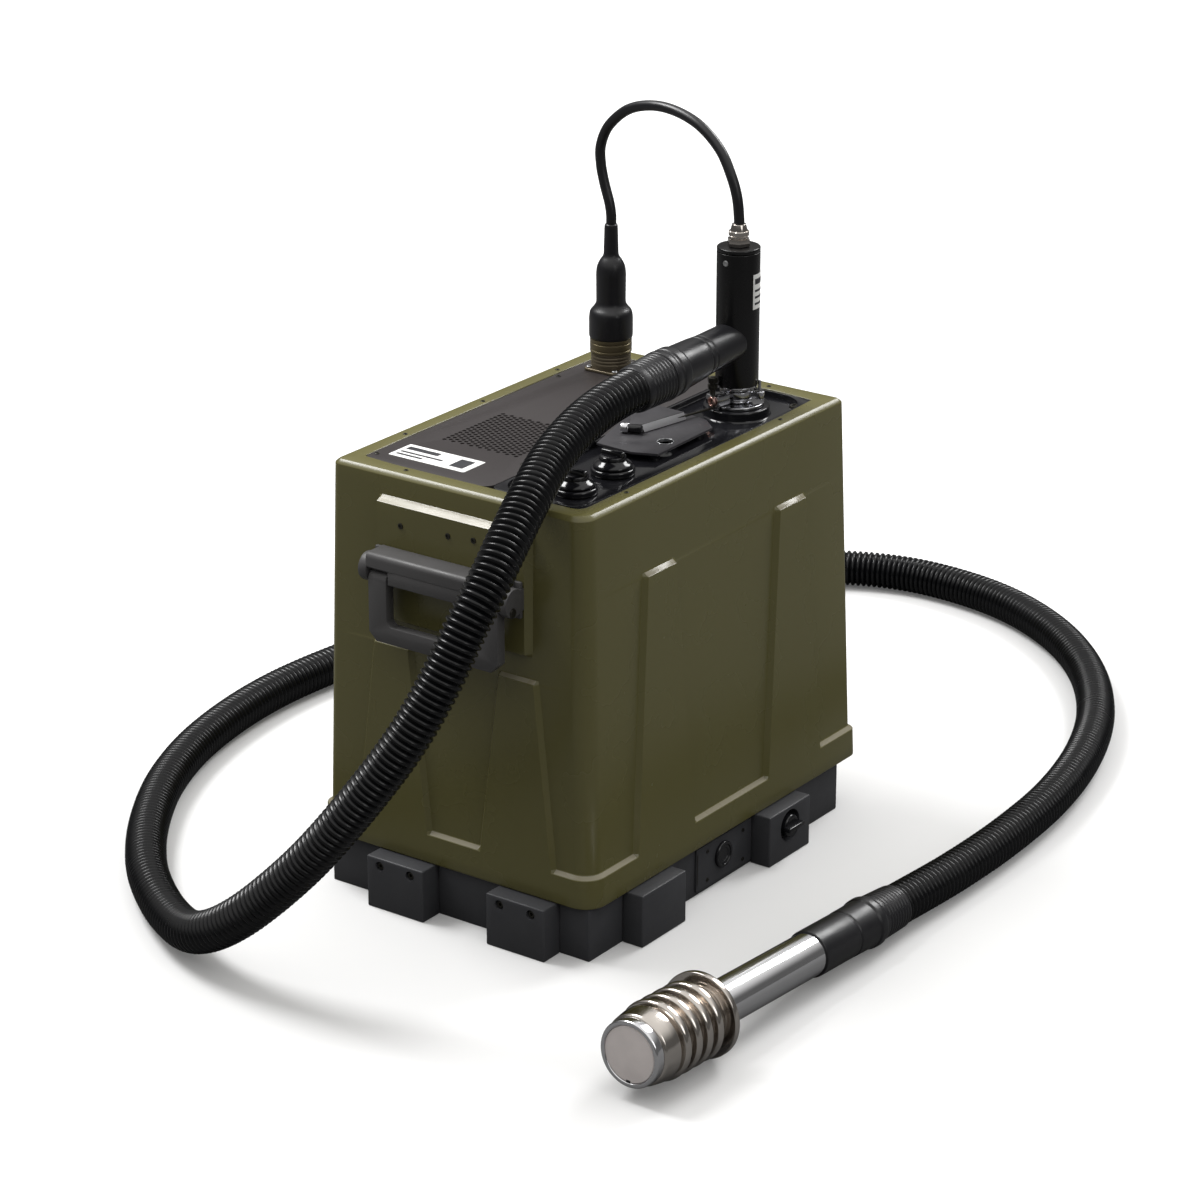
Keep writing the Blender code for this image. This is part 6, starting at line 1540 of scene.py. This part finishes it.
def bar_outline():
    """The bar's section, seen from the side: its front upper edge is the roundest."""
    front, back, low, high = -0.2350, -0.2098, 0.3275, 0.3420
    return [(front + 0.002, low), (back, low), *arc_points(back - 0.002, high - 0.002, 0.002, 0, PI / 2, 4),
            *arc_points(front + 0.005, high - 0.005, 0.005, PI / 2, PI, 8), (front, low + 0.002)]


def make_bracket(end):
    turn = END_TURNS[end]
    bm = bmesh.new()
    plate_in(bm, [bar_outline()], -0.0720, 0.0720, 0.0006, turn @ SIDEWAYS)
    box_in(bm, (-0.0485, -0.2346, 0.3165), (0.0485, -0.2300, 0.3295), 0.0008, 2, turn)
    box_in(bm, (-0.0785, -0.2138, 0.3080), (0.0785, -0.2099, 0.3410), 0.0010, 2, turn)
    for sign in (-1, 1):
        low, high = sorted((sign * 0.0710, sign * 0.0800))
        plate_in(bm, [ear_outline()], low, high, 0.0010, turn @ SIDEWAYS)
    settle(finish_mesh(f"{end}_bracket", bm, HANDLE, sharp=40), "case", "handle_charcoal",
           f"{end}_handle_bracket")


print("bracket ears: %.0f mm round" % (2000 * EAR_RADIUS))

# %% [markdown]
# ## The bails and their pins
#
# A flat bail with a finger window hangs from each bracket and swings up round a pin, so it rides on
# its own body. Its outline is a frame that is open at the top, with rounded inner corners where
# fingers go. The barrels round the pin are turned pieces joined to the plate.

# %% The bails and their pins
def bail_outline():
    half, arm, low, top, bar = 0.0700, 0.0200, 0.2620, 0.3193, 0.0160
    chamfer, window = 0.0080, 0.0060
    inner, sill = half - arm, low + bar
    return [(-half, top), (-half, low + chamfer), (chamfer - half, low), (half - chamfer, low),
            (half, low + chamfer), (half, top), (inner, top),
            *[(inner - window + x, sill + window + y)
              for x, y in arc_points(0, 0, window, 0, -PI / 2, 8)],
            *[(window - inner + x, sill + window + y)
              for x, y in arc_points(0, 0, window, -PI / 2, -PI, 8)],
            (-inner, top)]


def make_bail(end):
    turn = END_TURNS[end]
    bm = bmesh.new()
    plate_in(bm, [bail_outline()], 0.2240, 0.2350, 0.0013, turn @ UPRIGHT)
    for x in (-0.0600, 0.0600):
        turned(bm, softened([(0, -0.0098), (0.0083, -0.0098), (0.0083, 0.0098), (0, 0.0098)], 0.0010), 40,
               turn @ facing((1, 0, 0), (x, HANDLE_AXIS_Y, HANDLE_AXIS_Z)))
    settle(finish_mesh(f"{end}_bail_plate", bm, HANDLE, sharp=40), f"{end}_bail", "handle_charcoal",
           f"{end}_handle_bail")
    pin = bmesh.new()
    turned(pin, softened([(0, -0.0800), (0.0025, -0.0800), (0.0025, 0.0800), (0, 0.0800)], 0.0006), 32,
           turn @ facing((1, 0, 0), (0, HANDLE_AXIS_Y, HANDLE_AXIS_Z)))
    for sign in (-1, 1):
        turned(pin, softened([(0, sign * 0.0812), (0.0038, sign * 0.0812), (0.0044, sign * 0.0798)],
                             0.0006), 32,
               turn @ facing((1, 0, 0), (0, HANDLE_AXIS_Y, HANDLE_AXIS_Z)))
    settle(finish_mesh(f"{end}_hinge_pin", pin, SCREW_DARK, sharp=40), "case", "stainless_steel",
           f"{end}_handle_pin")


for end in END_TURNS:
    make_bracket(end)
    make_bail(end)
print("handles at:", ", ".join(END_TURNS))

# %% [markdown]
# ## Screws in the handle pads
#
# Three dark screws sit in the flat pad over each handle. They could be copied and moved by hand.
# Turning each place by the same half turn as the handle puts the rear ones right without a second
# table.

# %% Screws in the handle pads
PAD_SCREWS = ((-0.053, 0.3625), (-0.0015, 0.3645), (0.026, 0.3665))


def make_pad_screws():
    bm = bmesh.new()
    for turn in END_TURNS.values():
        for x, z in PAD_SCREWS:
            spot = turn @ Vector((x, -PAD_FACE, z))
            screw_in(bm, spot, turn @ Vector((0, -1, 0)), 0.0027, 0.0008)
    settle(finish_mesh("pad_screws", bm, SCREW_DARK), "case", None)


make_pad_screws()
print("%d pad screws" % (len(PAD_SCREWS) * len(END_TURNS)))

# %% [markdown]
# ## Drilling a block
#
# The end blocks have screws sunk in round bores, and one side block has a deep round recess. A bore
# in a closed block is where a boolean is the right tool: both shapes are closed and simple, and the
# exact solver leaves clean rims. The cutters are turned bodies that stand across the face.

# %% Drilling a block
def drilled(block, bores):
    """Cuts round bores (place, direction, radius, depth) into a closed bmesh and returns the result."""
    cutter = bmesh.new()
    for place, direction, radius, depth in bores:
        turned(cutter, [(0, -depth), (radius, -depth), (radius, depth), (0, depth)], 48,
               facing(direction, place))
    bmesh.ops.recalc_face_normals(cutter, faces=cutter.faces)
    bmesh.ops.recalc_face_normals(block, faces=block.faces)
    pieces = []
    for bm in (block, cutter):
        mesh = bpy.data.meshes.new("drilling")
        bm.to_mesh(mesh)
        bm.free()
        pieces.append(bpy.data.objects.new("drilling", mesh))
        bpy.context.scene.collection.objects.link(pieces[-1])
    change = pieces[0].modifiers.new("bore", "BOOLEAN")
    change.operation = "DIFFERENCE"
    change.solver = "EXACT"
    change.object = pieces[1]
    bpy.context.view_layer.update()
    mesh = bpy.data.meshes.new_from_object(pieces[0].evaluated_get(bpy.context.evaluated_depsgraph_get()))
    for piece in pieces:
        bpy.data.objects.remove(piece)
    bored = bmesh.new()
    bored.from_mesh(mesh)
    bpy.data.meshes.remove(mesh)
    return bored


print("bores are cut with 48 sides")

# %% [markdown]
# ## The base and its end blocks
#
# The case stands on a shallow dark tray with blocks all round it. The two at each end carry two
# sunk screws each. A block with perfectly sharp edges looks drawn, so each has a radius of 1.4 mm,
# and the soft light finds it.

# %% The base and its end blocks
BASE_X, BASE_FRONT, BASE_REAR, BASE_TOP = 0.1430, -0.2040, 0.1940, 0.0497
FOOT_X, FOOT_WIDTH, FOOT_DEPTH, FOOT_SHIFT, FOOT_SCREW_Z = (-0.0525, 0.0805), 0.063, 0.024, 0.017, 0.042
TRAY_WALL, BLOCK_EDGE = 0.006, 0.0014


def make_base_tray():
    bm = bmesh.new()
    outer = rounded_plan(-BASE_X, BASE_FRONT, BASE_X, BASE_REAR, 0.0012, 3)
    inner = rounded_plan(TRAY_WALL - BASE_X, BASE_FRONT + TRAY_WALL, BASE_X - TRAY_WALL,
                         BASE_REAR - TRAY_WALL, 0.004, 4)
    plate_in(bm, [outer, inner], 0.0, BASE_TOP, 0.0008)
    plate_in(bm, [inner], 0.0005, 0.0060, 0.0)
    settle(finish_mesh("dark_base_tray", bm, BASE), "case", "base_anodised", "base_tray")


def make_feet():
    screws = bmesh.new()
    for end, sign, wall in (("front", -1, BASE_FRONT), ("rear", 1, BASE_REAR)):
        outer = wall + sign * FOOT_DEPTH
        for side, middle in zip(("left", "right"), FOOT_X):
            bm = bmesh.new()
            ys = sorted((wall + sign * 0.0003, outer))
            box_in(bm, (middle - FOOT_WIDTH / 2, ys[0], 0), (middle + FOOT_WIDTH / 2, ys[1], BASE_TOP),
                   BLOCK_EDGE, 3)
            bores = [((middle + shift, outer, FOOT_SCREW_Z), (0, 1, 0), 0.0045, 0.004)
                     for shift in (-FOOT_SHIFT, FOOT_SHIFT)]
            bm = drilled(bm, bores)
            settle(finish_mesh(f"{end}_block_{side}", bm, BASE), "case", "base_anodised",
                   f"{end}_foot_{side}")
            for shift in (-FOOT_SHIFT, FOOT_SHIFT):
                screw_in(screws, (middle + shift, outer - sign * 0.0038, FOOT_SCREW_Z), (0, sign, 0),
                         0.0034, 0.0022)
    settle(finish_mesh("foot_screws", screws, SCREW_DARK), "case", None)


make_base_tray()
make_feet()
print("base: %.0f mm high, %d end blocks" % (1000 * BASE_TOP, 2 * len(FOOT_X)))

# %% [markdown]
# ## The side blocks
#
# Two blocks stand along each side. The rear one on the right has a deep round recess for the power
# inlet. The left side can't be seen in the picture, so it repeats the right one without the recess.
# Each block could be placed by itself, but one loop over sides and ends keeps them alike.

# %% The side blocks
SIDE_FOOT_Y, SIDE_FOOT_WIDTH, SIDE_FOOT_X = (-0.1215, 0.0795), 0.067, (0.1433, 0.1650)
POWER_Y, POWER_Z, POWER_RECESS, POWER_DEPTH = 0.0795, 0.031, 0.0155, 0.010


def make_side_feet():
    for side, sign in (("left", -1), ("right", 1)):
        for end, middle in zip(("front", "rear"), SIDE_FOOT_Y):
            bm = bmesh.new()
            xs = sorted((sign * SIDE_FOOT_X[0], sign * SIDE_FOOT_X[1]))
            half = SIDE_FOOT_WIDTH / 2
            box_in(bm, (xs[0], middle - half, 0), (xs[1], middle + half, BASE_TOP), BLOCK_EDGE, 3)
            if (side, end) == ("right", "rear"):
                bm = drilled(bm, [((SIDE_FOOT_X[1], POWER_Y, POWER_Z), (1, 0, 0), POWER_RECESS,
                                   POWER_DEPTH)])
            settle(finish_mesh(f"{side}_block_{end}", bm, BASE), "case", "base_anodised",
                   f"{side}_foot_{end}")


make_side_feet()
print("%d side blocks" % (2 * len(SIDE_FOOT_Y)))

# %% [markdown]
# ## The service plate
#
# Between the right side's blocks lies a thin plate with a round glossy port, four small screws and
# a groove. The port could be a plain disc. It is a low turned profile instead, because its rings
# then catch thin circles of light, which is all that the picture shows of it.

# %% The service plate
SERVICE_Y, SERVICE_Z, SERVICE_X = (-0.043, 0.045), (0.004, 0.046), (0.1433, 0.1453)
SERVICE_PORT = (-0.002, 0.028)
SERVICE_SCREWS = ((-0.026, 0.039), (0.031, 0.010), (-0.026, 0.011), (0.031, 0.039))
SERVICE_GROOVE = ((-0.0425, 0.011), (-0.0412, 0.041))


def make_service_plate():
    bm = bmesh.new()
    plate_in(bm, [rounded_plan(SERVICE_Y[0], SERVICE_Z[0], SERVICE_Y[1], SERVICE_Z[1], 0.0015, 4)],
             SERVICE_X[0], SERVICE_X[1], 0.0005, SIDEWAYS)
    settle(finish_mesh("dark_service_plate", bm, BASE), "case", "base_anodised", "service_plate")
    turned_piece("service_port", [
        (0, 0.0016), (0.0060, 0.0016), (0.0064, 0.0022), (0.0088, 0.0022), (0.0093, 0.0018),
        (0.0096, 0.0030), (0.0117, 0.0030), (0.0125, 0.0022), (0.0125, 0)], GLOSS, "gloss_black",
        ["service_plug"], (SERVICE_X[1] + 0.0003, *SERVICE_PORT), (1, 0, 0), edge=0.0003, steps=72)
    bm = bmesh.new()
    for y, z in SERVICE_SCREWS:
        screw_in(bm, (SERVICE_X[1], y, z), (1, 0, 0), 0.0020, 0.0006)
    box_in(bm, (SERVICE_X[1] - 0.0006, SERVICE_GROOVE[0][0], SERVICE_GROOVE[0][1]),
           (SERVICE_X[1] + 0.0002, SERVICE_GROOVE[1][0], SERVICE_GROOVE[1][1]), 0.0002)
    settle(finish_mesh("service_screws", bm, SCREW_DARK), "case", None)


make_service_plate()
print("service plate: %d screws" % len(SERVICE_SCREWS))

# %% [markdown]
# ## The power cap
#
# The power inlet has a round black cap with a grip bar, sunk in its recess. It turns a quarter
# turn, so it rides on its own body. Cap and bar could be two pieces, but they turn as one, so both
# go into one mesh.

# %% The power cap
def make_power_cap():
    bm = bmesh.new()
    stand = facing((1, 0, 0), (SIDE_FOOT_X[1] - POWER_DEPTH + 0.0003, POWER_Y, POWER_Z))
    turned(bm, softened([
        (0, 0.0120), (0.0095, 0.0120), (0.0105, 0.0110), (0.0110, 0.0052), (0.0135, 0.0045),
        (0.0140, 0.0035), (0.0140, 0), (0, 0)], 0.0006), 72, stand)
    box_in(bm, (0.1653, POWER_Y - 0.0125, POWER_Z - 0.0022), (0.1733, POWER_Y + 0.0125, POWER_Z + 0.0022),
           0.0010, 3)
    settle(finish_mesh("power_knob", bm, GLOSS, sharp=50), "power_inlet_cap", "gloss_black", "power_cap")


make_power_cap()
print("power cap: %.0f mm deep recess" % (1000 * POWER_DEPTH))

# %% [markdown]
# ## The inner works
#
# Inside the hood are the vacuum chamber, the filter, the pump and the electronics. They keep their
# CAD meshes, because their shapes are right already and hardly anything of them is seen. Each gets
# the material of what it is made of, in its own slots: bright steel, ceramic, green board, grey
# modules.

# %% The inner works
INNER_LOOKS = {
    "inner_frame": BRUSHED, "vacuum_chamber": BRUSHED, "chamber_cover": STEEL, "quadrupole": STEEL,
    "ion_source": CERAMIC, "getter_pump": MODULE, "rf_generator": MODULE, "power_supply": MODULE,
    "control_board": BOARD, "fan_frame": RUBBER, "fan_rotor": RUBBER,
}


def dress_inner_works():
    for name, material in INNER_LOOKS.items():
        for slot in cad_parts[name].material_slots:
            slot.link = "OBJECT"
            slot.material = material
    return len(INNER_LOOKS)


print("inner works: %d pieces dressed" % dress_inner_works())

# %% [markdown]
# ## The floor
#
# The case stands on plain white, with soft shadows. A floor that really is white would throw so
# much light back that the olive walls turn pale. So the camera sees it pale, with a glow that grows
# far off until it fades into the background, while all else sees it dim. The light path node tells
# the two apart.

# %% The floor
FLOOR_COLOUR, FLOOR_DIM, FLOOR_GLOW_NEAR, FLOOR_GLOW_FAR = 0.74, 0.12, 0.08, 0.62
GLOW_FROM, GLOW_TO, FLOOR_HALF = 0.7, 3.5, 30.0


def make_floor():
    """A matt floor: pale to the camera, dim to the case."""
    bm = bmesh.new()
    bmesh.ops.create_grid(bm, x_segments=1, y_segments=1, size=FLOOR_HALF)
    material = surface("floor_white", (FLOOR_COLOUR,) * 3, 0.9, relief=0.0, tint=0.005)
    tree = material.node_tree
    shader = tree.nodes["Principled BSDF"]
    place = tree.nodes.new("ShaderNodeTexCoord")
    length = tree.nodes.new("ShaderNodeVectorMath")
    length.operation = "LENGTH"
    tree.links.new(place.outputs["Object"], length.inputs[0])
    glow = tree.nodes.new("ShaderNodeMapRange")
    for socket, value in (("From Min", GLOW_FROM), ("From Max", GLOW_TO), ("To Min", FLOOR_GLOW_NEAR),
                          ("To Max", FLOOR_GLOW_FAR)):
        glow.inputs[socket].default_value = value
    tree.links.new(length.outputs["Value"], glow.inputs["Value"])
    path = tree.nodes.new("ShaderNodeLightPath")
    tone = tree.nodes.new("ShaderNodeMapRange")
    tone.inputs["To Min"].default_value = FLOOR_DIM
    tone.inputs["To Max"].default_value = FLOOR_COLOUR
    tree.links.new(path.outputs["Is Camera Ray"], tone.inputs["Value"])
    tree.links.new(tone.outputs["Result"], shader.inputs["Base Color"])
    seen = tree.nodes.new("ShaderNodeMath")
    seen.operation = "MULTIPLY"
    tree.links.new(glow.outputs["Result"], seen.inputs[0])
    tree.links.new(path.outputs["Is Camera Ray"], seen.inputs[1])
    shader.inputs["Emission Color"].default_value = (1.0, 1.0, 1.0, 1.0)
    tree.links.new(seen.outputs["Value"], shader.inputs["Emission Strength"])
    finish_mesh("floor", bm, material)


make_floor()
print("floor: %.0f m wide" % (2 * FLOOR_HALF))

# %% [markdown]
# ## The dome
#
# The studio is a dome, bright overhead and dim towards the horizon. Upright walls then stay deep in
# colour, while every edge that turns upwards catches light. An evenly grey world would be simpler,
# but it takes the shape out of everything. Where the camera looks past the floor it sees plain
# white.

# %% The dome
SKY_LOW, SKY_HIGH = 0.12, 1.05
SKY_FROM, SKY_TO = 0.25, 0.80


def make_world():
    world = bpy.data.worlds.new("studio")
    bpy.context.scene.world = world
    world.use_nodes = True
    tree = world.node_tree
    sky = tree.nodes["Background"]
    place = tree.nodes.new("ShaderNodeTexCoord")
    parts = tree.nodes.new("ShaderNodeSeparateXYZ")
    tree.links.new(place.outputs["Generated"], parts.inputs["Vector"])
    level = tree.nodes.new("ShaderNodeMapRange")
    level.interpolation_type = "SMOOTHSTEP"
    for socket, value in (("From Min", SKY_FROM), ("From Max", SKY_TO), ("To Min", SKY_LOW),
                          ("To Max", SKY_HIGH)):
        level.inputs[socket].default_value = value
    tree.links.new(parts.outputs["Z"], level.inputs["Value"])
    sky.inputs["Color"].default_value = (1.0, 0.99, 0.97, 1.0)
    tree.links.new(level.outputs["Result"], sky.inputs["Strength"])
    white = tree.nodes.new("ShaderNodeBackground")
    white.inputs["Color"].default_value = (1.0, 1.0, 1.0, 1.0)
    path = tree.nodes.new("ShaderNodeLightPath")
    choice = tree.nodes.new("ShaderNodeMixShader")
    tree.links.new(path.outputs["Is Camera Ray"], choice.inputs["Fac"])
    tree.links.new(sky.outputs["Background"], choice.inputs[1])
    tree.links.new(white.outputs["Background"], choice.inputs[2])
    tree.links.new(choice.outputs["Shader"], tree.nodes["World Output"].inputs["Surface"])


make_world()
print("dome: %.2f at the horizon, %.2f overhead" % (SKY_LOW, SKY_HIGH))

# %% [markdown]
# ## The lamps
#
# Long thin highlights along the hood's level edges are what the picture has most of. A flat bevel
# shows a lamp only where it mirrors it, so the two large lamps stand exactly where the front and
# the side bevels look: one over the left, one over the rear. A weak third one fills from the right.
# Below the rim, the paler paint of the level shoulders adds a painted highlight to theirs.

# %% The lamps
LAMPS = {
    "key": ((-1.86, -0.31, 3.04), 1.5, 96.0),
    "back": ((0.52, 2.57, 2.42), 1.4, 56.0),
    "fill": ((3.20, -0.60, 1.80), 1.4, 10.0),
}


def area_lamp(name, place, size, power):
    data = bpy.data.lights.new(name, "AREA")
    data.shape = "DISK"
    data.size = size
    data.energy = power
    lamp = bpy.data.objects.new(name, data)
    bpy.context.scene.collection.objects.link(lamp)
    lamp.location = place
    lamp.rotation_mode = "QUATERNION"
    lamp.rotation_quaternion = (Vector(place) - TARGET).to_track_quat("Z", "Y")


for name, (place, size, power) in LAMPS.items():
    area_lamp(name, place, size, power)
bpy.context.scene.view_settings.view_transform = "Standard"
print("%d lamps" % len(LAMPS))
